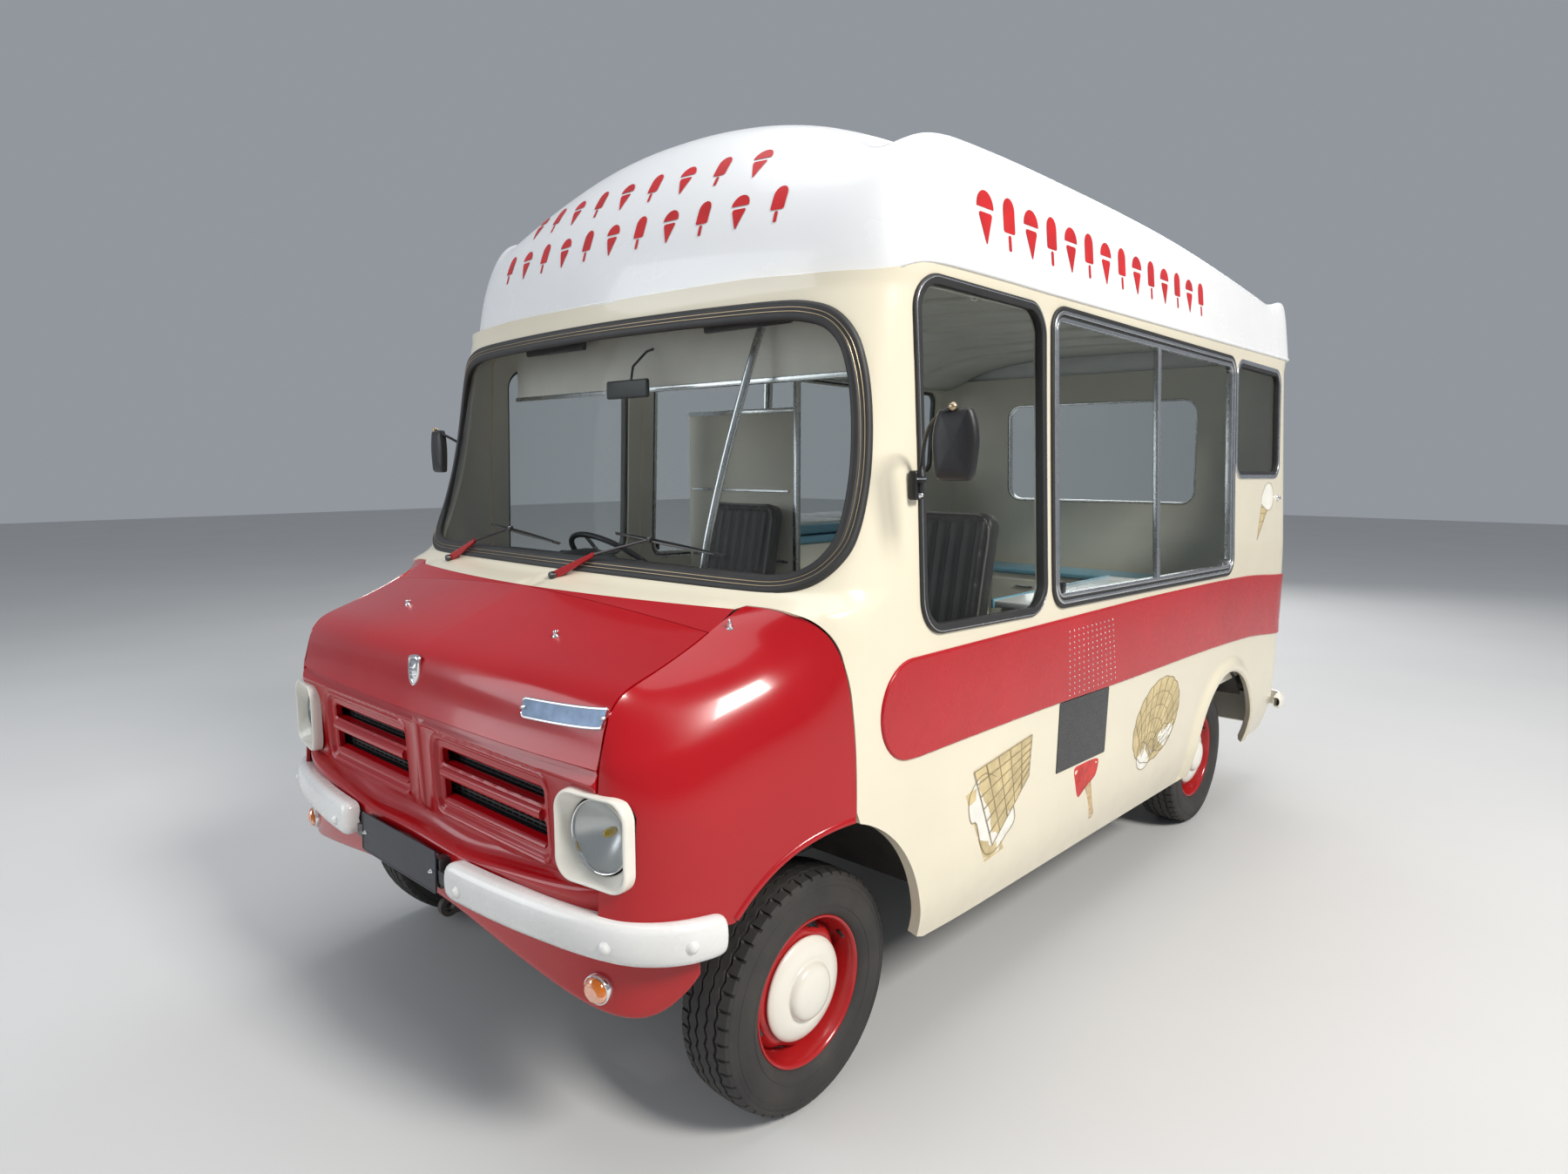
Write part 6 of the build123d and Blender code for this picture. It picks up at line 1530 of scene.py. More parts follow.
rings = []
for k, dd in ((1.0, -0.004), (1.0, 0.003), (0.95, 0.0055), (0.86, 0.0060), (0.80, 0.0035), (0.42, 0.0040), (0.32, 0.0060), (0.0, 0.0072)):
    rings.append([badge_pt(p[0] * max(k, 1e-3), p[1] * max(k, 1e-3), dd) for p in sh])
bd.grid(rings, 0, False, True)
for k in (-1, 0, 1):          # three plain bars across the shield
    bd.rbox((-0.013, -0.5725, 1.103 + k * 0.010 - 0.0022), (0.013, -0.5690, 1.103 + k * 0.010 + 0.0022), 0.001, 1, 0)
# blank name plate, following the bonnet's front
xs_p = np.concatenate([[0.452, 0.4532, 0.4556], np.linspace(0.460, 0.744, 24), [0.7484, 0.7508, 0.752]])
rows = []
for x in xs_p:
    zc_ = 1.093 + (x - 0.45) * 0.052
    ua, ub = 0.40, 1.0
    for _ in range(40):
        um = (ua + ub) / 2
        ua, ub = (um, ub) if BON(um, x / BX)[2] > zc_ else (ua, um)
    u0 = (ua + ub) / 2
    ed = min(x - 0.452, 0.752 - x)
    hh = 0.0245 * (1.0 if ed > 0.008 else 0.66 + 0.34 * math.sqrt(max(1 - (1 - ed / 0.008) ** 2, 0)))
    row = []
    p_mid = BON(u0, x / BX)
    dz = BON(min(u0 + 0.02, 1), x / BX) - BON(u0 - 0.02, x / BX)
    t_ = dz / np.linalg.norm(dz)
    n_ = np.array([0.0, -abs(t_[2]), -0.0]) + np.array([0, 0, abs(t_[1]) * 0.0])
    n_ = np.array([0, t_[2], -t_[1]])
    n_ = n_ / np.linalg.norm(n_)
    if n_[1] > 0:
        n_ = -n_
    for a, dd in ((1, -0.003), (1, 0.0025), (0.93, 0.0040), (0.80, 0.0040), (0.76, 0.0028), (0, 0.0028), (-0.76, 0.0028), (-0.80, 0.0040), (-0.93, 0.0040), (-1, 0.0025), (-1, -0.003)):
        row.append(tuple(p_mid - t_ * a * hh + n_ * dd))
    rows.append(row)
o = len(bd.v)
bd.grid(rows, 2, False, False, flip=True)
nf = len(bd.f) - (len(rows) - 1) * 10
for i in range(len(rows) - 1):
    for j in (4, 5):
        bd.m[nf + i * 10 + j] = 1
w_ = len(rows[0])
bd.f.append(tuple(o + i for i in range(w_))); bd.m.append(2)
bd.f.append(tuple(o + (len(rows) - 1) * w_ + i for i in range(w_))[::-1]); bd.m.append(2)
for i in (2, 27):
    p = (np.array(rows[i][5]))
    bolt(bd, tuple(p), (0, -1, 0.1), 0.0042, 2)
for s in (1, -1):
    x = s * 0.386
    p = BON(0.20, abs(x) / BX)
    for u in np.linspace(0, 0.5, 60):
        if BON(u, abs(x) / BX)[1] < -0.384:
            p = BON(u, abs(x) / BX)
            break
    bd.lathe([(-0.004, 0.0), (-0.004, 0.009), (0.002, 0.009), (0.004, 0.0075), (0.006, 0.005), (0.014, 0.0045), (0.016, 0.003), (0.016, 0.0)], (x, p[1], p[2]), (0, -0.25, 1), 0, 20, flip=True)
    bd.tube([(x, p[1] + 0.001, p[2] + 0.011), (x, p[1] + 0.007, p[2] + 0.013)], 0.0022, 0, 8)
bd.make("bonnet_fittings", [M_chrome, M_name, M_alloy_and_highlight], "bonnet", slot="frame_alloy", sharp=40)
ae = Mesh()
ae.lathe([(-0.006, 0.019), (0.002, 0.019), (0.006, 0.016), (0.014, 0.010), (0.019, 0.009), (0.020, 0.0065), (0.030, 0.0060), (0.032, 0.0035), (0.038, 0.0035), (0.040, 0.0)], (0.800, -0.188, 1.249), (0.12, -0.25, 1), 0, 28, flip=True)
ae.make("aerial_base", [M_chrome], slot="frame_alloy", sharp=40)


# ------------------------------------------------------------------ wheels
PER = 48
TREAD_COLS = [0.0, 0.006, 0.0118, 0.0130, 0.0180, 0.0192, 0.026, 0.033, 0.0398, 0.0412, 0.0472, 0.0486, 0.054, 0.061, 0.068, 0.0745, 0.0790]
BOTTOM = {3, 4, 9, 10}
cols = [(-a, i) for i, a in enumerate(TREAD_COLS)][::-1][:-1] + [(a, i) for i, a in enumerate(TREAD_COLS)]
PH = [0.0, 0.03, 0.20, 0.23, 0.36, 0.5, 0.66, 0.84]


def side_prof(out):
    """Sidewall from the bead to the shoulder: (along, radius)."""
    base = np.array([(0.192, 0.0665), (0.197, 0.0740), (0.205, 0.0815), (0.217, 0.0880), (0.232, 0.0915), (0.246, 0.0925), (0.262, 0.0905), (0.278, 0.0865), (0.290, 0.0820), (0.2985, 0.0790)])
    r = np.sort(np.concatenate([np.linspace(0.192, 0.2985, 40), [0.2195, 0.2205, 0.2235, 0.2245, 0.2705, 0.2715, 0.2745, 0.2755, 0.2868, 0.2878]]))
    a = pchip(base[:, 0], base[:, 1])(r)
    rib = np.where((r > 0.2200) & (r < 0.2240), 0.0014, 0) + np.where((r > 0.2710) & (r < 0.2750), 0.0012, 0) + np.where(r > 0.2873, 0.0016, 0)
    rib = np.where(r > 0.2975, 0, rib)
    return [((ai + bi) * out, ri) for ai, bi, ri in zip(a, rib, r)]


def wheel(name, s, xp, yc, body):
    O = (s * xp, yc, 0.312)
    ax = (s, 0, 0)
    ty = Mesh()
    ty.lathe(side_prof(1), O, ax, 0, 120, flip=True)
    ty.lathe(side_prof(-1), O, ax, 0, 96)
    ty.lathe([(-0.0665, 0.192), (-0.04, 0.186), (0.04, 0.186), (0.0665, 0.192)], O, ax, 0, 60)
    rows = []
    for k in range(PER):
        for p in PH:
            th = 2 * math.pi * (k + p) / PER
            zig = abs(p - 0.5) * 4 - 1
            zig2 = abs(((p + 0.5) % 1) - 0.5) * 4 - 1
            row = []
            for a, i in cols:
                sg = 1 if a >= 0 else -1
                r = 0.312 - 0.0068 * (abs(a) / 0.0745) ** 2.4 if i < 16 else 0.2985
                sh = 0.0
                if 2 <= i <= 5:
                    sh = 0.0036 * zig
                elif 8 <= i <= 11:
                    sh = 0.0036 * zig2
                elif i in (6, 7, 1, 12):
                    sh = 0.0018 * (zig if i < 7 else zig2)
                if i in BOTTOM:
                    r -= 0.0070
                if 12 <= i <= 15 and p in (0.03, 0.20):
                    r -= 0.0055
                if i in (6, 7) and p == 0.66:
                    r -= 0.0022
                row.append((O[0] + s * (a + sh * sg), O[1] + r * math.cos(th), O[2] + r * math.sin(th)))
            rows.append(row)
    ty.grid(rows, 0, True, False, flip=s > 0)
    ty.make("tyre_" + name, [M_tyre], body, rep="tyre_" + name, slot="tyre_rubber", sharp=32)
    w = Mesh()
    N_ = 96
    w.lathe([(-0.0695, 0.1945), (-0.0710, 0.1900), (-0.0690, 0.1850), (-0.0600, 0.1790), (-0.0400, 0.1720), (-0.0150, 0.1660), (0.0050, 0.1655), (0.0230, 0.1690), (0.0400, 0.1745), (0.0560, 0.1800), (0.0660, 0.1832), (0.0705, 0.1858), (0.0728, 0.1890), (0.0726, 0.1922), (0.0700, 0.1942), (0.0660, 0.1930)], O, ax, 0, N_)
    # disc with humps and slots by the well
    def disc(th, r):
        h = 0.5 + 0.5 * math.cos(8 * th)
        base = np.interp(r, [0.042, 0.080, 0.090, 0.099, 0.118, 0.134, 0.142, 0.150, 0.158, 0.1665], [0.042, 0.042, 0.036, 0.036, 0.040, 0.040, 0.037, 0.030, 0.019, 0.004])
        return base + h * np.interp(r, [0.134, 0.145, 0.157, 0.1665], [0.0, 0.006, 0.012, 0.014])
    rs = [0.042, 0.062, 0.080, 0.090, 0.099, 0.118, 0.134, 0.139, 0.144, 0.149, 0.154, 0.159, 0.1632, 0.1665]
    n_t = 160
    V = []
    for r in rs:
        for j in range(n_t):
            th = 2 * math.pi * j / n_t
            V.append((O[0] + s * disc(th, r), O[1] + r * math.cos(th), O[2] + r * math.sin(th)))
    fs = []
    for i in range(len(rs) - 1):
        for j in range(n_t):
            th = 2 * math.pi * (j + 0.5) / n_t
            hump = math.cos(8 * th)
            if rs[i] >= 0.1489 and rs[i + 1] <= 0.1640 and hump < -0.25:
                continue
            a_, b_ = i * n_t + j, i * n_t + (j + 1) % n_t
            f = (a_, b_, b_ + n_t, a_ + n_t)
            fs.append(f)
    V = np.array(V)
    Vi = V - np.array([s * 0.004, 0, 0])
    edges = {}
    for f in fs:
        for q in range(4):
            edges[(f[q], f[(q + 1) % 4])] = 1
    n0 = len(V)
    rim = [(a_, b_, n0 + b_, n0 + a_)[::-1] for (a_, b_) in edges if (b_, a_) not in edges]
    allf = fs + [tuple(n0 + i for i in f[::-1]) for f in fs] + rim
    w.add(np.concatenate([V, Vi]), allf, 0, flip=s > 0)
    w.lathe([(0.042, 0.042), (0.010, 0.042), (0.0, 0.048), (-0.005, 0.075), (-0.005, 0.125)], O, ax, 2, 48)
    w.lathe([(0.0405, 0.1290), (0.0430, 0.1330), (0.0465, 0.1345), (0.0495, 0.1343), (0.0520, 0.1325), (0.0560, 0.1275), (0.0595, 0.1210), (0.0626, 0.1130), (0.0650, 0.1045), (0.0667, 0.0960), (0.0674, 0.0880), (0.0668, 0.0815), (0.0664, 0.0788), (0.0672, 0.0768), (0.0694, 0.0752), (0.0735, 0.0738), (0.0790, 0.0708), (0.0838, 0.0655), (0.0872, 0.0585), (0.0900, 0.0480), (0.0925, 0.0340), (0.0943, 0.0170), (0.0948, 0.0)], O, ax, 1, 96, flip=True)
    # valve
    va = 0.6
    w.tube([(O[0] + s * 0.040, O[1] + 0.1755 * math.cos(va), O[2] + 0.1755 * math.sin(va)), (O[0] + s * 0.060, O[1] + 0.168 * math.cos(va), O[2] + 0.168 * math.sin(va)), (O[0] + s * 0.068, O[1] + 0.165 * math.cos(va), O[2] + 0.165 * math.sin(va))], [0.0045, 0.0040, 0.0038], 2, 10)
    for k in range(5):       # wheel nuts under the cap
        t = 2 * math.pi * k / 5
        w.lathe([(0.036, 0.0), (0.036, 0.012), (0.046, 0.011), (0.047, 0.0)], (O[0], O[1] + 0.0685 * math.cos(t), O[2] + 0.0685 * math.sin(t)), ax, 3, 6)
    w.make("wheel_" + name + "_rim", [M_red, M_surround, M_rubber, M_steel], body, rep="wheel_" + name, slot="red_paint", sharp=36)


for s, sn in ((1, "left"), (-1, "right")):
    wheel("front_" + sn, s, 0.817, 0.0, "wheel_front_" + sn)
    wheel("rear_" + sn, s, 0.840, 2.692, "wheel_rear_" + sn)

# ------------------------------------------------------------------ side bands
B_LOW = np.array([(0, 0.901), (0.900, 0.893), (1.500, 0.877), (2.370, 0.862), (2.930, 0.842), (3.576, 0.790), (3.700, 0.788)])
B_TOP = np.array([(0, 1.163), (1.500, 1.161), (2.320, 1.150), (2.870, 1.136), (3.550, 1.094), (3.700, 1.092)])
b_low, b_top = pchip(B_LOW[:, 0], B_LOW[:, 1]), pchip(B_TOP[:, 0], B_TOP[:, 1])


def band_loop(y0, y1, nose=False):
    ys = np.linspace(y0, y1, max(6, int((y1 - y0) / 0.04)))
    if nose:
        ys = ys[ys > 0.221 + 1e-6]
    lo = [(y, float(b_low(y))) for y in ys]
    hi = [(y, float(b_top(y))) for y in ys[::-1]]
    if nose:
        arc_ = [(0.221 - 0.131 * math.sin(t), 1.032 + 0.131 * math.cos(t)) for t in np.linspace(0, math.pi, 22)]
        return np.array(lo + hi + arc_)
    return np.array(lo + hi)


def clip_loop(L, y1):
    """The part of a loop with y below y1."""
    out = []
    k = len(L)
    for i in range(k):
        p, q = L[i], L[(i + 1) % k]
        if p[0] <= y1:
            out.append(p)
        if (p[0] - y1) * (q[0] - y1) < 0:
            t = (y1 - p[0]) / (q[0] - p[0])
            out.append(p + (q - p) * t)
    return np.array(out)


def raised(mesh, loop_yz, lift, soft=0.006, m=0, side=1, gstep=0.06, base=0.001, to_w=on_side):
    """Panel with rolled edges lying on the body."""
    L = dense(loop_yz, 0.03)
    W = to_w(L)
    ex = []
    for d in (0.25, 0.5, 0.75, 1.0, 1.5):
        ex += list(grown(W, -soft * d))
    ex = np.array(ex)
    ex = ex[inside(ex, W)]
    ex = ex[near(ex, W) > soft * 0.2]
    gx = np.arange(W[:, 0].min(), W[:, 0].max() + gstep, gstep)
    gz = np.arange(W[:, 1].min(), W[:, 1].max() + gstep, gstep)
    uv, F = trimmed(W, [], gx, gz, ex)
    P, N = coach(uv[:, 0], uv[:, 1]), coach_n(uv[:, 0], uv[:, 1])
    ad = np.stack([P[:, 0], P[:, 1] - np.clip(P[:, 1], 0.9, 2.8), np.zeros(len(P))], 1)
    if np.sum(N * ad, 1).mean() < 0:
        N = -N
    a, b, c = P[F[:, 0]], P[F[:, 1]], P[F[:, 2]]
    if np.sum(np.cross(b - a, c - a) * N[F[:, 0]]) < 0:
        F = F[:, ::-1]
    t = np.clip(near(uv, W) / soft, 0, 1)
    d = base * 0.4 + lift * np.sqrt(np.clip(1 - (1 - t) ** 2, 0, 1))
    V, Fs, ms = thick(P + N * d[:, None], F, N, lift + 0.002, m, m)
    if side < 0:
        V = V * (-1, 1, 1)
        Fs = [f[::-1] for f in Fs]
    mesh.add(V, Fs, m)


bd_ = Mesh()
raised(bd_, band_loop(0.09, 3.538, True), 0.0058)
raised(bd_, band_loop(1.018, 3.538), 0.0058, side=-1)
raised(bd_, clip_loop(band_loop(0.09, 1.0, True), 0.236), 0.0058, side=-1)
bd_.make("red_side_bands", [M_band], rep="side_bands", slot="band_red", sharp=50)
bdd = Mesh()
raised(bdd, band_loop(0.292, 0.984), 0.0050, side=-1)
bdd.make("red_band_on_door", [M_band], "driver_door", slot="band_red", sharp=50)

# vent with its woven mesh, rows of small studs
vt = Mesh()
VENT = rounded([(1.040, 0.656), (1.406, 0.646), (1.418, 0.880), (1.046, 0.889)], 0.006, 4)
raised(vt, VENT, 0.0022, 0.002, 0)
c_ = VENT.mean(0)
n_y, n_z = 46, 30
for i in range(n_y):
    for j in range(n_z):
        if (i + j) % 2:
            continue
        fy, fz = (i + 0.5) / n_y, (j + 0.5) / n_z
        lo_ = np.array([1.046 + (1.402 - 1.046) * fy, 0.660 - 0.010 * fy])
        hi_ = np.array([1.052 + (1.412 - 1.052) * fy, 0.885 - 0.009 * fy])
        p = lo_ + (hi_ - lo_) * fz
        q = coach(side_w(p[0], p[1]), p[1])
        hy_, hz_ = 0.0034, 0.0030
        x0 = float(q[0]) + 0.0022
        vt.add([(x0, p[0] - hy_, p[1] - hz_), (x0, p[0] + hy_, p[1] - hz_), (x0, p[0] + hy_, p[1] + hz_), (x0, p[0] - hy_, p[1] + hz_), (x0 + 0.0022, p[0], p[1])],
               [(0, 1, 4), (1, 2, 4), (2, 3, 4), (3, 0, 4)], 1)
vt.make("side_vent", [M_black, M_mesh], slot="black_paint", sharp=20)
stud = Mesh()
for i in range(11):
    for j in range(12):
        fy, fz = i / 10, j / 11
        lo_ = np.array([1.102 + (1.455 - 1.102) * fy, 0.904])
        hi_ = np.array([1.083 + (1.409 - 1.083) * fy, 1.1155])
        p = lo_ + (hi_ - lo_) * fz
        q = coach(side_w(p[0], p[1]), p[1])
        stud.lathe([(0.0050, 0.0036), (0.0066, 0.0034), (0.0076, 0.0022), (0.0079, 0.0)], (float(q[0]), p[0], p[1]), (1, 0, 0), 0, 8, flip=True)
stud.make("band_studs", [M_alloy_and_highlight], slot="frame_alloy", sharp=60)

# ------------------------------------------------------------------ painted figures
def side_pt(y, z, d):
    q = coach(side_w(y, z), z)
    return (float(q[0]) + d, y, z)


def stroke(mesh, pts, r, m, d=0.0, closed=False):
    """Painted line along the side."""
    P = np.asarray(pts, float)
    if closed:
        P = np.concatenate([P, P[:1]])
    n = len(P)
    T = unit(np.gradient(P, axis=0))
    Nn = np.stack([-T[:, 1], T[:, 0]], 1)
    V, F = [], []
    for i in range(n):
        for sgn in (1, -1):
            q = P[i] + Nn[i] * r * sgn
            V.append(side_pt(q[0], q[1], d))
    for i in range(n - 1):
        F.append((2 * i, 2 * i + 1, 2 * i + 3, 2 * i + 2))
    mesh.add(V, F, m)


fig = Mesh()
F_TAN, F_LINE, F_WHITE, F_RED, F_STICK = 0, 1, 2, 3, 4
# waffle slab: far wafer, filling, near wafer with its squares
raised(fig, dense([(0.494, 0.730), (0.560, 0.740), (0.700, 0.545), (0.722, 0.508), (0.612, 0.498)], 0.03), 0.0006, 0.001, F_TAN, base=0.0)
fil = smooth_curve([(0.524, 0.735), (0.512, 0.690), (0.528, 0.642), (0.556, 0.632), (0.585, 0.560), (0.622, 0.520), (0.676, 0.520), (0.730, 0.548), (0.780, 0.590), (0.720, 0.700), (0.600, 0.770)], 4, True)
raised(fig, fil, 0.0010, 0.001, F_WHITE, base=0.0)
Q = [np.array(p) for p in ((0.533, 0.789), (0.866, 0.826), (0.856, 0.700), (0.628, 0.542))]
Q[3] = np.array((0.650, 0.540))
raised(fig, dense(Q, 0.03), 0.0024, 0.001, F_TAN, base=0.0)


def bil(u, v):
    return Q[0] * (1 - u) * (1 - v) + Q[1] * u * (1 - v) + Q[2] * u * v + Q[3] * (1 - u) * v


for k in range(6):
    t = k / 5
    stroke(fig, [bil(t, v) for v in np.linspace(0, 1, 8)], 0.0018, F_LINE, 0.0030)
for k in range(7):
    t = k / 6
    stroke(fig, [bil(u, t) for u in np.linspace(0, 1, 8)], 0.0018, F_LINE, 0.0030)
stroke(fig, fil, 0.0014, F_LINE, 0.0017, True)
# lolly on its stick
body_l = smooth_curve([(1.176, 0.640), (1.190, 0.585), (1.205, 0.545), (1.222, 0.531), (1.262, 0.548), (1.315, 0.566), (1.343, 0.576), (1.358, 0.598), (1.362, 0.632), (1.310, 0.642), (1.240, 0.644)], 3, True)
raised(fig, body_l, 0.0012, 0.001, F_RED, base=0.0)
raised(fig, dense([(1.270, 0.556), (1.306, 0.566), (1.352, 0.438), (1.346, 0.424), (1.330, 0.424)], 0.03), 0.0010, 0.001, F_STICK, base=0.0)
stroke(fig, [(1.240, 0.640), (1.256, 0.600), (1.262, 0.562)], 0.0012, F_LINE, 0.0015)
stroke(fig, [(1.270, 0.556), (1.330, 0.424), (1.346, 0.424), (1.352, 0.438), (1.306, 0.566)], 0.0012, F_LINE, 0.0015)
# fan wafer with its scalloped edge, filling at the foot
cf, ca, sa = np.array([1.885, 0.668]), math.cos(math.radians(16)), math.sin(math.radians(16))
hub = np.array([1.765, 0.520])


def fan_at(t, s_=1.0):
    r = s_ * (1 + 0.028 * abs(math.cos(t * 9)))
    u, v = math.cos(t) * 0.226 * r, math.sin(t) * 0.146 * r
    return cf + np.array([u * ca - v * sa, u * sa + v * ca])


fan_l = np.array([fan_at(t) for t in np.linspace(0, 2 * math.pi, 109)[:-1]])
raised(fig, fan_l, 0.0008, 0.001, F_TAN, base=0.0)
stroke(fig, fan_l, 0.0015, F_LINE, 0.0013, True)
for t in np.radians(np.linspace(-62, 150, 12)):
    e = fan_at(t, 0.97)
    stroke(fig, [hub + (e - hub) * k for k in np.linspace(0.16, 1.0, 6)], 0.0017, F_LINE, 0.0013)
for k in (0.36, 0.52, 0.68, 0.84):
    stroke(fig, [hub + (fan_at(t, 0.97) - hub) * k for t in np.radians(np.linspace(-62, 150, 28))], 0.0013, F_LINE, 0.0013)
for ring in ([(1.705, 0.560), (1.715, 0.515), (1.765, 0.495), (1.815, 0.508), (1.850, 0.540), (1.872, 0.575), (1.835, 0.600), (1.800, 0.580), (1.770, 0.600), (1.725, 0.602)],
             [(1.862, 0.590), (1.868, 0.552), (1.915, 0.535), (1.985, 0.545), (2.050, 0.590), (2.062, 0.632), (2.005, 0.622), (1.960, 0.635), (1.905, 0.615)]):
    blob = smooth_curve(ring, 4, True)
    raised(fig, blob, 0.0014, 0.001, F_WHITE, base=0.0)
    stroke(fig, blob, 0.0013, F_LINE, 0.0020, True)
# small cornet by the rear corner
cone = [(3.020, 1.292), (3.085, 1.455), (3.172, 1.428)]
raised(fig, dense(cone, 0.03), 0.0008, 0.001, F_TAN, base=0.0)
stroke(fig, cone, 0.0014, F_LINE, 0.0013, True)
for t in (0.25, 0.5, 0.75):
    stroke(fig, [(3.020 + 0.065 * t, 1.292 + 0.163 * t), (3.020 + 0.152 * (t + 0.12), 1.292 + 0.136 * (t + 0.12))], 0.0011, F_LINE, 0.0013)
top = smooth_curve([(3.078, 1.456), (3.095, 1.505), (3.150, 1.545), (3.215, 1.552), (3.255, 1.520), (3.262, 1.470), (3.232, 1.432), (3.178, 1.424), (3.120, 1.438)], 4, True)
raised(fig, top, 0.0014, 0.001, F_WHITE, base=0.0)
stroke(fig, top, 0.0012, F_LINE, 0.0020, True)
fig.make("side_figures", [M_waffle, M_waffle_line, M_vanilla, M_lolly, M_stick], slot="cream_paint", sharp=50)


# rows of small red pictures on the roof's front and side: cornets and lollies by turns
def picto(kind):
    """Outlines of a small picture in a unit box."""
    if kind == 0:
        return [rounded([(0.22, 0.56), (0.78, 0.56), (0.52, 0.0), (0.48, 0.0)], [0.05, 0.05, 0.01, 0.01], 3),
                np.array([(0.5 + 0.33 * math.cos(t), 0.66 + 0.30 * math.sin(t)) for t in np.linspace(-0.05, math.pi + 0.05, 16)])]
    return [rounded([(0.26, 0.34), (0.74, 0.34), (0.74, 1.0), (0.26, 1.0)], [0.06, 0.06, 0.23, 0.23], 5),
            rounded([(0.44, 0.0), (0.56, 0.0), (0.56, 0.30), (0.44, 0.30)], 0.04, 3)]


def tri_fill(loop, step):
    L = dense(loop, step)
    return trimmed(L, [], np.arange(L[:, 0].min(), L[:, 0].max() + step, step), np.arange(L[:, 1].min(), L[:, 1].max() + step, step))


mot = Mesh()
# side: straight row on the fascia
def lookup(G, ia, ib, ta, tb):
    """Point and outward direction of a net of points at two given coordinates."""
    d = (G[..., ia] - ta) ** 2 + (G[..., ib] - tb) ** 2
    i, j = np.unravel_index(int(np.argmin(d)), d.shape)
    i, j = min(max(i, 1), G.shape[0] - 2), min(max(j, 1), G.shape[1] - 2)
    gu, gv = (G[i + 1, j] - G[i - 1, j]) / 2, (G[i, j + 1] - G[i, j - 1]) / 2
    J = np.array([[gu[ia], gv[ia]], [gu[ib], gv[ib]]])
    r = np.array([ta - G[i, j, ia], tb - G[i, j, ib]])
    st_, *_ = np.linalg.lstsq(J, r, rcond=None)
    st_ = np.clip(st_, -1.5, 1.5)
    n_ = np.cross(gu, gv)
    return G[i, j] + gu * st_[0] + gv * st_[1], n_ / max(np.linalg.norm(n_), 1e-12)


SG = roof_p(np.linspace(0.17, 0.90, 170)[:, None], np.linspace(0.0, 3 / 16, 40)[None, :])


k = 0
for y0 in np.linspace(0.600, 2.24, 14):
    h = 0.146 - 0.020 * (y0 - 0.60) / 1.64
    z0 = 2.228 - 0.003 * (y0 - 0.60)
    for lp in picto(k % 2):
        uv, F = tri_fill(lp, 0.22)
        V = []
        for p in uv:
            q, _ = lookup(SG, 1, 2, y0 + (p[0] - 0.5) * h * 0.9, z0 + p[1] * h)
            V.append((q[0] + 0.0012, q[1], q[2]))
        for side in (1, -1):
            VV = np.array(V) * (side, 1, 1)
            mot.add(VV, [tuple(f) for f in F], 0, flip=side < 0)
    k += 1


DG = roof_p(np.linspace(0.0, 0.42, 150)[:, None], np.linspace(0.20, 0.5, 100)[None, :])
DG[..., 0] = np.where(DG[..., 1] > 0.62, 9.0, DG[..., 0])


def dome_pt(x, z):
    q, n_ = lookup(DG, 0, 2, abs(x), z)
    if n_[1] > 0:
        n_ = -n_
    q = q + n_ * 0.0015
    return (q[0] * (1 if x >= 0 else -1), q[1], q[2])


for row, (xa, xb, z0, h, n_c) in enumerate(((-0.56, 0.50, 2.405, 0.098, 9), (-0.66, 0.62, 2.262, 0.098, 11))):
    for i, xc in enumerate(np.linspace(xa, xb, n_c)):
        for lp in picto((i + row) % 2):
            uv, F = tri_fill(lp, 0.25)
            V = [dome_pt(xc + (p[0] - 0.5) * h * 0.9, z0 + p[1] * h * (1 if row else 0.9)) for p in uv]
            mot.add(V, [tuple(f) for f in F], 0)
mot.make("roof_pictures", [M_motif_red], slot="band_red", sharp=80)

# ------------------------------------------------------------------ mirrors
mi = Mesh()
HC = np.array([1.181, 0.150, 1.688])
half_m = [(0.0, -0.081), (0.034, -0.0805), (0.044, -0.075), (0.0485, -0.062), (0.0535, -0.025), (0.0555, 0.005), (0.053, 0.035), (0.047, 0.060), (0.040, 0.076), (0.032, 0.0805), (0.0, 0.081)]
out_m = smooth_curve(half_m + [(-x, z) for x, z in half_m[-2:0:-1]], 3, True)
ang_m = math.radians(6)
ex_m = np.array([math.cos(ang_m), math.sin(ang_m), 0.0])
ny_m = np.array([math.sin(ang_m), -math.cos(ang_m), 0.0])


def mp(p, d):
    return tuple(HC + ex_m * p[0] + np.array([0, 0, 1.0]) * p[1] + ny_m * d)


rings = [[mp(p, -0.013) for p in grown(out_m, -0.004)], [mp(p, -0.013) for p in out_m], [mp(p, -0.005) for p in grown(out_m, 0.001)], [mp(p, 0.003) for p in out_m], [mp(p, 0.009) for p in grown(out_m, -0.006)], [mp(p * 0.62, 0.0135) for p in out_m], [mp(p * 0.25, 0.0155) for p in out_m], [mp(p * 0.001, 0.0158) for p in out_m]]
mi.grid(rings, 0, False, True, flip=False)
rings = [[mp(p, -0.013) for p in grown(out_m, -0.004)], [mp(p * 0.001, -0.012) for p in out_m]]
mi.grid(rings, 1, False, True, flip=True)
pts = smooth_curve([(1.035, 0.232, 1.575), (1.037, 0.232, 1.630), (1.043, 0.228, 1.662), (1.062, 0.208, 1.700), (1.100, 0.172, 1.733), (1.145, 0.146, 1.757), (1.181, 0.138, 1.770)], 5)
mi.tube(pts, 0.0052, 0, 12)
mi.lathe([(-0.0105, 0.0), (-0.0095, 0.0045), (-0.005, 0.0092), (0.0, 0.0105), (0.005, 0.0092), (0.0095, 0.0045), (0.0105, 0.0)], (1.181, 0.141, 1.772), (0, 0, 1), 4, 18)
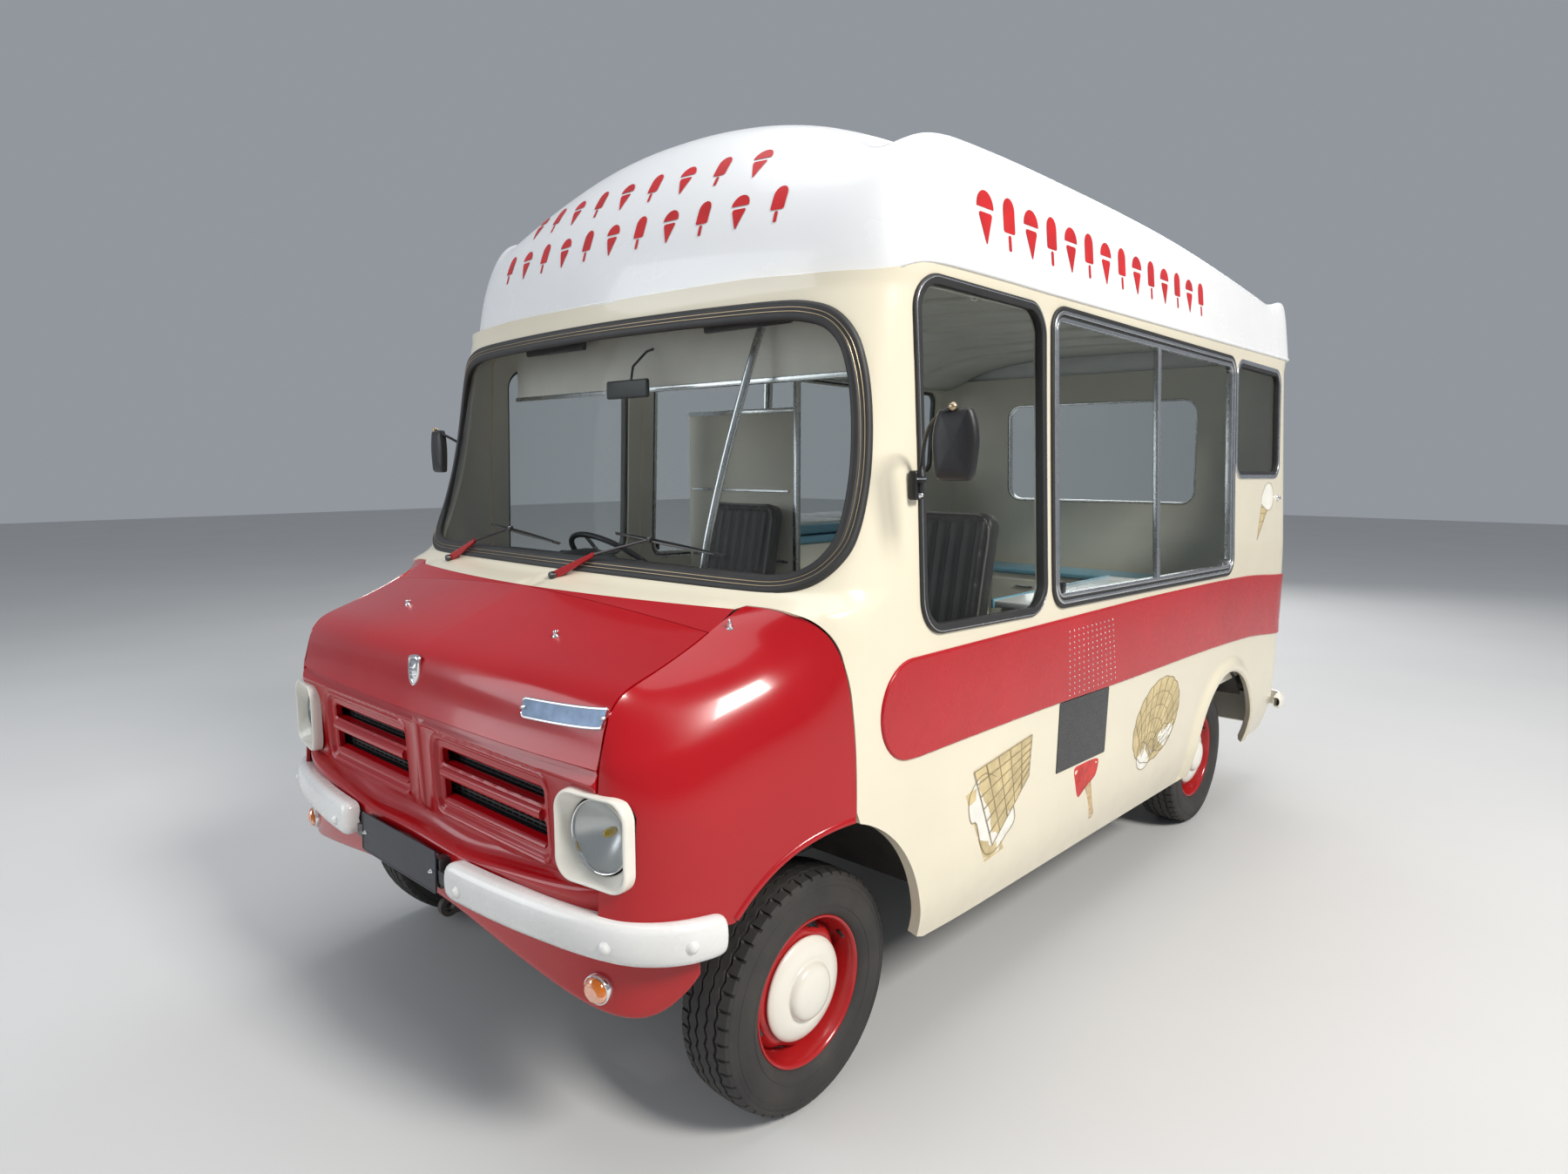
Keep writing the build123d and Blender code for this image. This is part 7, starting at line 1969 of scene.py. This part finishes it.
mi.lathe([(0.0, 0.0), (0.0, 0.0125), (0.004, 0.0135), (0.022, 0.0125), (0.026, 0.0100), (0.040, 0.0080), (0.042, 0.0)], (1.036, 0.232, 1.598), (0, 0, 1), 0, 20)
mi.lathe([(0.0, 0.0132), (0.0, 0.0142), (0.004, 0.0142), (0.004, 0.0132)], (1.036, 0.232, 1.606), (0, 0, 1), 3, 20)
mi.rbox((1.010, 0.214, 1.556), (1.034, 0.252, 1.628), 0.006, 3, 0)
bolt(mi, (1.034, 0.233, 1.568), (1, 0, 0), 0.006, 3)
mi.mirrored()
mi.make("mirror_pair", [M_plastic, M_mirror, M_steel, M_chrome, M_bronze], rep="door_mirrors", slot="dash_plastic", sharp=40)

# ------------------------------------------------------------------ wipers
def ws_pt(x, z, d):
    """Point d in front of the windscreen's surface."""
    y = float(coach(front_w(np.array(x), np.array(z)), np.array(z))[1])
    return np.array([x, y - d * 0.96, z - d * 0.24])


wp = Mesh()
for piv, mid_, tip, ba, bb in (((0.048, 1.330), (0.178, 1.397), (0.380, 1.446), (0.225, 1.452), (0.640, 1.414)),
                               ((-0.622, 1.331), (-0.500, 1.397), (-0.300, 1.444), (-0.448, 1.446), (-0.020, 1.410))):
    P0, P1, P2 = ws_pt(*piv, 0.020), ws_pt(*mid_, 0.026), ws_pt(*tip, 0.020)
    base = ws_pt(piv[0], piv[1] - 0.008, -0.012)
    ax_ = unit(P0 - base)
    wp.lathe([(0.0, 0.016), (0.010, 0.016), (0.014, 0.012), (0.030, 0.0115), (0.036, 0.010), (0.038, 0.0)], tuple(base), tuple(ax_), 1, 20)
    # arm head: wide pressed channel, then the slim arm
    T = unit(P1 - P0)
    N_a = unit(np.array([0, -0.96, -0.24]) - T * np.dot(T, np.array([0, -0.96, -0.24])))
    B_a = np.cross(N_a, T)
    st = np.concatenate([np.linspace(0, 1, 7)])
    rows = []
    for t in st:
        p = P0 + (P1 - P0) * t - T * 0.012 * (1 - t)
        wd = 0.0125 * (1 - t) + 0.0060 * t
        hgt = 0.0090 * (1 - t) + 0.0055 * t
        rows.append([tuple(p + B_a * a * wd + N_a * b * hgt) for a, b in ((-1, -1), (-1.0, 0.5), (-0.7, 1), (0.7, 1), (1.0, 0.5), (1, -1))])
    o = len(wp.v)
    wp.grid(rows, 0, False, True)
    wp.f.append(tuple(o + i for i in range(6))); wp.m.append(0)
    wp.f.append(tuple(o + 36 + i for i in range(6))[::-1]); wp.m.append(0)
    wp.tube([tuple(P1 - T * 0.004), tuple(P1 + (P2 - P1) * 0.5 + N_a * 0.002), tuple(P2)], [0.0042, 0.0036, 0.0030], 1, 8)
    wp.rbox(tuple(P2 - 0.008), tuple(P2 + 0.008), 0.003, 2, 1)
    A0, A1 = ws_pt(*ba, 0.010), ws_pt(*bb, 0.010)
    n_b = 15
    line = [ws_pt(ba[0] + (bb[0] - ba[0]) * t, ba[1] + (bb[1] - ba[1]) * t + 0.004 * math.sin(math.pi * t), 0.0) for t in np.linspace(0, 1, n_b)]
    line = np.array(line)
    Tb = unit(np.gradient(line, axis=0))
    up_b = unit(np.tile([0, -0.96, -0.24], (n_b, 1)))
    Bb = unit(np.cross(up_b, Tb))
    wp.sweep(line, Bb, up_b, [(-0.001, 0.0005), (-0.0012, 0.006), (-0.004, 0.0075), (-0.004, 0.0095), (0.004, 0.0095), (0.004, 0.0075), (0.0012, 0.006), (0.001, 0.0005)], 2, False, True, caps=True)
    wp.tube([tuple(line[1] + up_b[1] * 0.0105), tuple(line[4] + up_b[4] * 0.0150), tuple(line[7] + up_b[7] * 0.0190), tuple(line[10] + up_b[10] * 0.0150), tuple(line[13] + up_b[13] * 0.0105)], [0.0022, 0.003, 0.0034, 0.003, 0.0022], 1, 8)
wp.make("wiper_pair", [M_red, M_black, M_rubber], rep="wipers", slot="black_paint", sharp=40)

# ------------------------------------------------------------------ rear bumper and lamps
rb = Mesh()
path = smooth_curve([(1.040, 3.490), (1.046, 3.530), (1.040, 3.572), (1.016, 3.603), (0.975, 3.618), (0.90, 3.622), (0.60, 3.623), (0.30, 3.624), (0.0, 3.624)], 6)
T = unit(np.gradient(path, axis=0))
nn = np.stack([T[:, 1], -T[:, 0]], 1)
sec = [(-0.020, 0.036), (-0.004, 0.0385), (0.004, 0.035), (0.009, 0.024), (0.011, 0.010), (0.011, -0.010), (0.009, -0.024), (0.004, -0.035), (-0.004, -0.0385), (-0.020, -0.036)]
rows = []
k_ = len(path)
for i in range(k_):
    f = min(1.0, 0.55 + 0.45 * min(1, i / 4) ** 0.6)
    rows.append([(path[i, 0] + nn[i, 0] * a * -1, path[i, 1] + nn[i, 1] * a * -1, 0.431 + b * f) for a, b in sec])
if np.mean([r[4][0] for r in rows[:6]]) < np.mean(path[:6, 0]):
    rows = [[(path[i, 0] + nn[i, 0] * a, path[i, 1] + nn[i, 1] * a, 0.431 + b * min(1.0, 0.55 + 0.45 * min(1, i / 4) ** 0.6)) for a, b in sec] for i in range(k_)]
rb.grid(rows, 0, False, True)
rb.mirrored()
for s in (1, -1):
    rb.rbox((s * 0.50 - 0.03, 3.40, 0.400), (s * 0.50 + 0.03, 3.612, 0.462), 0.004, 2, 1)
    bolt(rb, (s * 0.50, 3.6345, 0.431), (0, 1, 0), 0.011, 0)
    bolt(rb, (s * 0.86, 3.6335, 0.431), (0, 1, 0), 0.011, 0)
rb.make("rear_bumper_bar", [M_surround, M_black], rep="rear_bumper", slot="cream_paint", sharp=40)
tl = Mesh()
for s in (1, -1):
    x0, x1 = sorted((s * 0.838, s * 0.915))
    tl.rbox((x0, 3.540, 0.560), (x1, 3.566, 0.800), 0.010, 3, 0)
    for z0, z1, m_ in ((0.724, 0.794, 1), (0.646, 0.716, 2), (0.566, 0.638, 1)):
        tl.rbox((x0 + 0.006, 3.560, z0), (x1 - 0.006, 3.588, z1), 0.009, 4, m_)
        for zz in np.arange(z0 + 0.012, z1 - 0.008, 0.008):
            tl.rbox((x0 + 0.014, 3.586, zz), (x1 - 0.014, 3.5895, zz + 0.003), 0.001, 1, m_)
    tl.lathe([(0.0, 0.0), (0.0, 0.028), (0.006, 0.0285), (0.008, 0.026), (0.0085, 0.0)], (s * 0.72, 3.555, 0.60), (0, 1, 0), 1, 28)
tl.make("tail_lamp_units", [M_black, M_redlens, M_amber], rep="tail_lamps", slot="red_lens", sharp=35)
# a small lock beside the rear side window
lk = Mesh()
q = side_pt(3.335, 1.480, 0.0)
lk.lathe([(0.0, 0.0), (0.0, 0.013), (0.003, 0.0135), (0.006, 0.0115), (0.014, 0.0095), (0.0155, 0.0)], q, (1, 0, 0), 0, 20)
lk.make("side_lock", [M_chrome], slot="frame_alloy", sharp=40)


# ------------------------------------------------------------------ cab interior
da = Mesh()
xs_d = np.linspace(-0.93, 0.93, 61)
rows = []
for t in np.linspace(0, 1, 9):
    row = []
    for x in xs_d:
        yf = float(coach(front_w(np.array(abs(x)), np.array(1.30)), np.array(1.30))[1]) + 0.040
        row.append((x, yf + (0.300 - yf) * t, 1.296 + 0.022 * t))
    rows.append(row)
for y, z in ((0.316, 1.3175), (0.330, 1.312), (0.3385, 1.302), (0.341, 1.290), (0.338, 1.276), (0.330, 1.262), (0.300, 1.190), (0.282, 1.150)):
    rows.append([(x, y, z) for x in xs_d])
for y, z in ((0.200, 1.146), (0.190, 1.140), (0.190, 1.040), (0.196, 1.032), (0.300, 1.028), (0.306, 1.020), (0.300, 1.010), (0.150, 0.960)):
    rows.append([(x, y, z) for x in xs_d])
da.grid(rows, 0, flip=True)
for s in (1, -1):
    da.rbox((s * 0.93 - 0.004, -0.02, 0.96), (s * 0.93 + 0.004, 0.338, 1.315), 0.003, 2, 0)
# instrument hood with two dials
hood = []
for t in np.linspace(0, math.pi, 21):
    hood.append((-0.470 - 0.165 * math.cos(t), 1.255 + 0.082 * math.sin(t) ** 0.7))
rr_ = []
for dy, gr_ in ((0.250, 0.86), (0.300, 0.97), (0.352, 1.0), (0.356, 0.985), (0.350, 0.94)):
    rr_.append([(-0.470 + (x + 0.470) * gr_, dy, 1.250 + (z - 1.250) * gr_) for x, z in hood])
da.grid(rr_, 0)
da.rbox((-0.628, 0.318, 1.205), (-0.312, 0.345, 1.322), 0.006, 2, 0)
for cx in (-0.545, -0.395):
    da.lathe([(0.0, 0.056), (0.004, 0.058), (0.007, 0.056), (0.007, 0.050)], (cx, 0.345, 1.262), (0, 1, 0), 1, 32)
    da.lathe([(0.001, 0.051), (0.001, 0.0)], (cx, 0.345, 1.262), (0, 1, 0), 2, 32)
    for k in range(11):
        a = math.radians(-40 + 26 * k)
        da.rbox((cx + 0.040 * math.cos(a) - 0.0016, 0.3462, 1.262 + 0.040 * math.sin(a) - 0.0016), (cx + 0.040 * math.cos(a) + 0.0016, 0.3470, 1.262 + 0.040 * math.sin(a) + 0.0016), 0.0003, 1, 3)
    da.tube([(cx, 0.348, 1.262), (cx + 0.026, 0.348, 1.288)], 0.0013, 4, 6)
for i, x in enumerate((-0.16, -0.10, -0.04, 0.02)):
    da.lathe([(0.0, 0.011), (0.010, 0.010), (0.016, 0.0085), (0.017, 0.0)], (x, 0.335, 1.238), (0, 1, -0.25), 0, 16)
da.rbox((0.30, 0.322, 1.192), (0.82, 0.336, 1.262), 0.006, 2, 0)
da.rbox((0.52, 0.334, 1.246), (0.60, 0.342, 1.254), 0.002, 2, 1)
# steering column
ax_s = np.array([0, 0.6428, 0.7660])
c0 = np.array([-0.470, 0.480, 1.255])
da.tube([tuple(c0 - ax_s * 0.055), tuple(c0 - ax_s * 0.16), tuple(c0 - ax_s * 0.30)], [0.026, 0.030, 0.030], 0, 20)
da.tube([tuple(c0 - ax_s * 0.30), tuple(c0 - ax_s * 0.60)], 0.019, 0, 16)
da.tube([tuple(c0 - ax_s * 0.10), tuple(c0 - ax_s * 0.10 + np.array([0.14, 0.0, 0.03]))], [0.006, 0.004], 0, 10)
da.make("dashboard_unit", [M_dash, M_chrome, M_black, M_whitepaint, M_amber], rep="dashboard", slot="dash_plastic", sharp=40)

sw = Mesh()
e1 = np.array([1.0, 0, 0])
e2 = np.cross(ax_s, e1)
ring = [tuple(c0 + (e1 * math.cos(t) + e2 * math.sin(t)) * 0.2075) for t in np.linspace(0, 2 * math.pi, 96, endpoint=False)]
sw.tube(ring, 0.0105, 0, 14, closed=True)
sw.lathe([(-0.040, 0.0), (-0.040, 0.026), (-0.020, 0.030), (-0.006, 0.038), (0.004, 0.040), (0.012, 0.036), (0.017, 0.024), (0.019, 0.0)], tuple(c0 - ax_s * 0.022), tuple(ax_s), 0, 36)
sw.lathe([(-0.004, 0.028), (-0.001, 0.0285), (0.001, 0.026), (0.0018, 0.0)], tuple(c0 - ax_s * 0.002), tuple(ax_s), 1, 32)
for a in (math.radians(20), math.radians(160), math.radians(270)):
    d_ = e1 * math.cos(a) + e2 * math.sin(a)
    b_ = np.cross(ax_s, d_)
    for sgn in (-1, 1):
        sw.tube([tuple(c0 - ax_s * 0.018 + d_ * 0.030 + b_ * sgn * 0.010), tuple(c0 - ax_s * 0.012 + d_ * 0.12 + b_ * sgn * 0.008), tuple(c0 + d_ * 0.204 + b_ * sgn * 0.007)], 0.0038, 2, 10)
sw.make("steering_wheel_rim", [M_plastic, M_chrome, M_alloy_and_highlight], "steering_wheel", rep="steering_wheel", slot="dash_plastic", sharp=50)


# Seats. A cushion starts as a rounded block, is blown up as cloth from inside, and then gets its sewn
# channels, the stitched-down edge and the piping.
def blown(hx, hy, hz, cap, voxel=0.0065, pressure=4.0, frames=20):
    """Vertices and faces of a filled cover, centred on the origin."""
    bm = bmesh.new()
    bmesh.ops.create_cube(bm, size=2.0)
    for v in bm.verts:
        v.co = Vector((v.co.x * hx, v.co.y * hy, v.co.z * hz))
    ed = [e for e in bm.edges if abs(e.verts[0].co.z - e.verts[1].co.z) > hz]
    bmesh.ops.bevel(bm, geom=ed, offset=0.055, segments=5, affect="EDGES", profile=0.5)
    bmesh.ops.bevel(bm, geom=[e for e in bm.edges if abs(abs(e.verts[0].co.z) - hz) < 1e-6 and abs(e.verts[0].co.z - e.verts[1].co.z) < 1e-6 and len(e.link_faces) == 2 and abs(e.link_faces[0].normal.z - e.link_faces[1].normal.z) > 0.5],
                    offset=0.016, segments=3, affect="EDGES", profile=0.5)
    me = bpy.data.meshes.new("block")
    bm.to_mesh(me)
    bm.free()
    o = bpy.data.objects.new("block", me)
    sc_ = bpy.context.scene
    sc_.collection.objects.link(o)
    rm = o.modifiers.new("r", "REMESH")
    rm.mode, rm.voxel_size = "VOXEL", voxel
    bpy.context.view_layer.update()
    dg = bpy.context.evaluated_depsgraph_get()
    me2 = bpy.data.meshes.new_from_object(o.evaluated_get(dg))
    bpy.data.objects.remove(o)
    n = len(me2.vertices)
    co0 = np.empty(n * 3)
    me2.vertices.foreach_get("co", co0)
    co0 = co0.reshape(-1, 3)
    faces = [tuple(f.vertices) for f in me2.polygons]
    o = bpy.data.objects.new("cover", me2)
    sc_.collection.objects.link(o)
    cl = o.modifiers.new("cloth", "CLOTH")
    st_ = cl.settings
    st_.quality = 4
    st_.mass = 0.3
    st_.use_pressure = True
    st_.uniform_pressure_force = pressure
    st_.effector_weights.gravity = 0.0
    cl.collision_settings.use_collision = False
    cl.collision_settings.use_self_collision = False
    cl.point_cache.frame_start, cl.point_cache.frame_end = 1, frames
    for f in range(1, frames + 1):
        sc_.frame_set(f)
    dg = bpy.context.evaluated_depsgraph_get()
    ev = o.evaluated_get(dg)
    me3 = ev.to_mesh()
    co1 = np.empty(len(me3.vertices) * 3)
    me3.vertices.foreach_get("co", co1)
    co1 = co1.reshape(-1, 3)
    ev.to_mesh_clear()
    bpy.data.objects.remove(o)
    sc_.frame_set(1)
    d = co1 - co0
    d -= d.mean(0)
    ln = np.linalg.norm(d, axis=1)
    d = d * np.minimum(1, cap / np.maximum(ln, 1e-9))[:, None]
    return co0 + d, faces


def dressed(co, faces, hx, hy, hz, lines, roll=0.86, depth=0.0065):
    """Sewn channels across the top, the seam round it and its piping; co in the cushion's own frame."""
    co = co.copy()
    u, v = np.abs(co[:, 0]) / hx, np.abs(co[:, 1]) / hy
    top = np.clip((co[:, 2] - 0.25 * hz) / (0.5 * hz), 0, 1)
    edge = np.maximum(u, v)
    inner = np.clip((roll - edge) / 0.03, 0, 1)
    g = np.zeros(len(co))
    for x in lines:
        g = np.maximum(g, np.exp(-((co[:, 0] - x) / 0.0060) ** 2) * inner)
    g = np.maximum(g, 0.8 * np.exp(-((edge - roll) / 0.020) ** 2))
    # the stuffing swells a little between the seams
    q = np.ones(len(co))
    if len(lines) > 1:
        w = lines[1] - lines[0]
        q = np.cos(math.pi * ((co[:, 0] - lines[0]) / w - 0.5 - np.round((co[:, 0] - lines[0]) / w - 0.5)))
    co[:, 2] += top * (-depth * g + 0.0030 * q * inner)
    th = np.arctan2(co[:, 1] / hy, co[:, 0] / hx)
    pipe = []
    sc_ = np.maximum(np.abs(co[:, 0]) - hx, np.abs(co[:, 1]) - hy) * 0.9 + co[:, 2]
    for a in np.linspace(-math.pi, math.pi, 120, endpoint=False):
        m_ = np.abs((th - a + math.pi) % (2 * math.pi) - math.pi) < 0.045
        pipe.append(co[m_][np.argmax(sc_[m_])])
    pipe = np.array(pipe)
    for _ in range(6):
        pipe = (np.roll(pipe, 1, 0) + 2 * pipe + np.roll(pipe, -1, 0)) / 4
    return co, pipe


def seat_piece(name, form, mat4, rep=()):
    co, faces, pipe, fill = form
    m = Mesh()
    m.add([tuple(mat4 @ Vector(p)) for p in co], faces, 0)
    m.tube([tuple(mat4 @ Vector(p)) for p in pipe], 0.0042, 1, 8, closed=True)
    ob = m.make(name, [M_vinyl, M_piping], slot="seat_vinyl", sharp=75, rep=rep)


CH, BH = (0.2080, 0.1950, 0.0440), (0.2000, 0.2500, 0.0360)
co, fc = blown(*CH, 0.012)
co, pp = dressed(co, fc, *CH, np.linspace(-0.135, 0.135, 6))
FORM_C = (co, fc, pp, 0.85)
co, fc = blown(*BH, 0.011)
co, pp = dressed(co, fc, *BH, np.linspace(-0.130, 0.130, 6), 0.85, 0.0055)
FORM_B = (co, fc, pp, 0.8)
for s, sn in ((1, "left"), (-1, "right")):
    seat_piece("seat_cushion_" + sn, FORM_C, Matrix.Translation((s * 0.510, 0.900, 0.9170)), "cab_seats" if s > 0 else ())
    seat_piece("seat_back_" + sn, FORM_B, Matrix.Translation((s * 0.510, 1.150, 1.235)) @ Matrix.Rotation(math.radians(-12), 4, "X") @ Matrix.Rotation(math.radians(90), 4, "X"))

# header board behind the top of the windscreen, grab pole, mirror inside, visors
hb = Mesh()
hb.rbox((-0.78, 0.262, 1.880), (0.78, 0.272, 2.092), 0.004, 2, 0)
hb.rbox((-0.79, 0.258, 1.868), (0.79, 0.276, 1.884), 0.004, 2, 1)
pole = smooth_curve([(0.405, 0.085, 1.318), (0.420, 0.100, 1.45), (0.450, 0.135, 1.65), (0.480, 0.185, 1.86), (0.498, 0.235, 2.02), (0.505, 0.300, 2.14), (0.506, 0.345, 2.235)], 5)
hb.tube(pole, 0.0115, 2, 16)
hb.lathe([(0.0, 0.030), (0.004, 0.030), (0.008, 0.016), (0.020, 0.0135), (0.022, 0.0118)], (0.405, 0.085, 1.312), (0.05, 0.08, 1), 2, 20)
hb.rbox((-0.10, 0.150, 1.842), (0.10, 0.165, 1.898), 0.007, 3, 3)
hb.rbox((-0.094, 0.1655, 1.848), (0.094, 0.1665, 1.892), 0.0004, 1, 4)
hb.tube([(0.0, 0.168, 1.88), (0.0, 0.18, 1.94), (0.0, 0.235, 1.99), (0.0, 0.262, 2.00)], 0.004, 3, 10)
for s in (1, -1):
    hb.rbox((s * 0.46 - 0.17, 0.205, 2.015), (s * 0.46 + 0.17, 0.222, 2.088), 0.007, 3, 5)
hb.make("header_board", [M_ceiling, M_alloy_and_highlight, M_alloy_and_highlight, M_plastic, M_mirror, M_vinyl], slot="cabinet_cream", sharp=40)

# partition behind the driver
pa = Mesh()
pa.rbox((-0.955, 1.268, 0.600), (-0.30, 1.286, 1.86), 0.004, 2, 0)
pa.rbox((-0.955, 1.262, 1.855), (-0.30, 1.292, 1.875), 0.004, 2, 1)
pa.rbox((-0.305, 1.262, 0.600), (-0.285, 1.292, 2.20), 0.004, 2, 1)
for z in (0.92, 1.22, 1.52):
    pa.rbox((-0.93, 1.262, z), (-0.33, 1.270, z + 0.012), 0.002, 1, 1)
# lining of the sides below the windows
for s in (1, -1):
    pa.rbox((s * 0.972 - 0.006, 1.06 if s < 0 else 0.30, 0.64), (s * 0.972 + 0.006, 3.36, 1.165), 0.004, 2, 0)
    for y in np.arange(1.15 if s < 0 else 0.45, 3.3, 0.42):
        pa.rbox((s * 0.964 - 0.005, y, 0.66), (s * 0.964 + 0.005, y + 0.018, 1.15), 0.003, 2, 1)
pa.make("partition", [M_inner, M_alloy_and_highlight], slot="cabinet_cream", sharp=40)

# serving cabinets: counter under the serving window, chest freezer opposite
ca = Mesh()
ca.rbox((0.662, 1.302, 0.680), (0.938, 2.268, 1.128), 0.008, 3, 0)
ca.rbox((0.690, 1.330, 0.602), (0.938, 2.240, 0.684), 0.004, 2, 3)
for k in range(3):
    y0 = 1.322 + 0.310 * k
    ca.rbox((0.650, y0, 0.700), (0.668, y0 + 0.298, 1.060), 0.008, 3, 0)
    ca.rbox((0.640, y0 + 0.10, 1.020), (0.652, y0 + 0.198, 1.034), 0.004, 2, 4)
ca.rbox((0.640, 1.290, 1.130), (0.950, 2.280, 1.156), 0.006, 3, 1)
ca.rbox((0.634, 1.286, 1.126), (0.646, 2.284, 1.160), 0.004, 2, 2)
ca.rbox((0.70, 1.55, 1.150), (0.90, 1.95, 1.1585), 0.004, 2, 4)
# freezer
ca.rbox((-0.975, 1.300, 0.660), (-0.334, 2.270, 1.300), 0.026, 4, 0)
ca.rbox((-0.960, 1.320, 0.602), (-0.360, 2.250, 0.664), 0.004, 2, 3)
ca.rbox((-0.968, 1.306, 1.296), (-0.330, 2.264, 1.330), 0.008, 3, 2)
for z in np.linspace(0.70, 0.80, 6):
    ca.rbox((-0.335, 1.40, z), (-0.329, 2.17, z + 0.006), 0.002, 1, 3)
ca.rbox((-0.334, 1.36, 1.02), (-0.328, 2.21, 1.028), 0.002, 1, 4)
ca.make("serving_units", [M_cabinet, M_white, M_counter, M_plastic, M_alloy_and_highlight], rep="serving_cabinets", slot="cabinet_cream", sharp=38)
li = Mesh()
li.rbox((-0.898, 1.308, 1.3375), (-0.328, 2.262, 1.378), 0.012, 4, 0)
for y0, y1 in ((1.335, 1.765), (1.805, 2.235)):
    li.rbox((-0.86, y0, 1.372), (-0.375, y1, 1.388), 0.007, 3, 1)
li.rbox((-0.352, 1.70, 1.350), (-0.326, 1.87, 1.366), 0.006, 3, 2)
li.make("freezer_lid_panel", [M_counter, M_white, M_alloy_and_highlight], "freezer_lid", rep="freezer_lid", slot="lid_blue", sharp=38)

# rear shelf unit across the back, seen through the rear window
sh_ = Mesh()
sh_.rbox((-0.90, 3.16, 0.602), (0.90, 3.44, 1.020), 0.008, 3, 0)
sh_.rbox((-0.915, 3.145, 1.020), (0.915, 3.455, 1.045), 0.006, 3, 1)
for k in range(4):
    x0 = -0.88 + 0.445 * k
    sh_.rbox((x0, 3.148, 0.640), (x0 + 0.425, 3.166, 0.990), 0.008, 3, 0)
    sh_.rbox((x0 + 0.16, 3.138, 0.945), (x0 + 0.265, 3.150, 0.958), 0.004, 2, 2)
sh_.make("rear_shelf_unit", [M_cabinet, M_counter, M_alloy_and_highlight], slot="cabinet_cream", sharp=38)

# inner wing sheets between the engine bay and the front wheels
iw = Mesh()
for s in (1, -1):
    x0 = s * 0.568
    iw.rbox((x0 - 0.0015, -0.468, 0.500), (x0 + 0.0015, 0.130, 1.020), 0.001, 1, 0)
    iw.rbox((min(x0, x0 + s * 0.030), -0.468, 1.0175), (max(x0, x0 + s * 0.030), 0.130, 1.0205), 0.001, 1, 0)
    for yy in (-0.34, -0.20, -0.06, 0.07):
        iw.rbox((x0 - 0.006, yy - 0.011, 0.56), (x0 + 0.006, yy + 0.011, 0.97), 0.005, 3, 0)
iw.make("inner_wings", [M_well], slot="chassis_black")

# ------------------------------------------------------------------ stage
def finish_nodes():
    """Materials for the pieces that the frame already has in their right shape."""
    table = {
        "scuttle": M_well, "floor": M_floor_in, "rear_wheel_boxes": M_well, "engine_cover": M_dash, "chassis_rails": M_chassis,
        "chassis_crossmembers": M_chassis, "front_suspension": M_chassis, "knuckle_left": M_steel, "knuckle_right": M_steel, "rear_axle": M_chassis,
        "leaf_springs": M_steel, "engine_block": M_steel, "radiator": M_chassis, "propeller_shaft": M_steel, "fuel_tank": M_chassis,
        "exhaust": M_steel, "seat_bases": M_black,
    }
    for n, o in NODES.items():
        mt = table.get(n, M_chassis)
        if not o.material_slots:
            o.data.materials.append(mt)
        for s in o.material_slots:
            s.material = mt


finish_nodes()

floor = Mesh()
floor.add([(-30, -30, 0), (30, -30, 0), (30, 30, 0), (-30, 30, 0)], [(0, 1, 2, 3)])
me = bpy.data.meshes.new("studio_floor")
me.from_pydata(floor.v, [], floor.f)
fo = bpy.data.objects.new("studio_floor", me)
bpy.context.scene.collection.objects.link(fo)
me.materials.append(material("studio_floor", (0.62, 0.62, 0.61), 0.75, tint=0.015, tscale=0.8))

world = bpy.data.worlds.new("studio")
bpy.context.scene.world = world
world.use_nodes = True
wn = world.node_tree
wn.nodes["Background"].inputs[0].default_value = (0.80, 0.86, 0.95, 1)
wn.nodes["Background"].inputs[1].default_value = 0.36


def area(name, loc, target, size, power, color=(1, 1, 1), sy=None):
    l = bpy.data.lights.new(name, "AREA")
    l.shape = "RECTANGLE"
    l.size, l.size_y = size, sy or size
    l.energy = power
    l.color = color
    o = bpy.data.objects.new(name, l)
    bpy.context.scene.collection.objects.link(o)
    o.location = loc
    o.rotation_euler = (Vector(target) - Vector(loc)).to_track_quat("-Z", "Y").to_euler()
    return o


area("key", (7.5, -1.2, 6.8), (0.3, -0.2, 1.0), 2.2, 760, (1.0, 0.97, 0.92))
area("overhead", (0.0, 0.5, 7.5), (0, 0.3, 0), 6.0, 260, (0.97, 0.98, 1.0), 9.0)
area("fill", (-4.5, -7.5, 3.5), (0, -0.8, 1.0), 5.0, 210, (0.92, 0.96, 1.0))
area("rear_fill", (-3.0, 8.5, 4.5), (0, 1.5, 1.2), 5.0, 240, (1, 1, 1))

cam = bpy.data.cameras.new("camera")
cam.sensor_width = 36.0
cam.lens = 21.68
cam.clip_start = 0.05
co = bpy.data.objects.new("camera", cam)
bpy.context.scene.collection.objects.link(co)
right, up, back = (0.7391, 0.6736, 0.0013), (-0.0890, 0.0958, 0.9914), (0.6677, -0.7329, 0.1308)
co.matrix_world = Matrix(((right[0], up[0], back[0], 2.352), (right[1], up[1], back[1], -1.708 + AX), (right[2], up[2], back[2], 1.647), (0, 0, 0, 1)))
bpy.context.scene.camera = co
vs_ = bpy.context.scene.view_settings
vs_.view_transform = "Standard"
vs_.look = "None"
vs_.exposure = 0.0
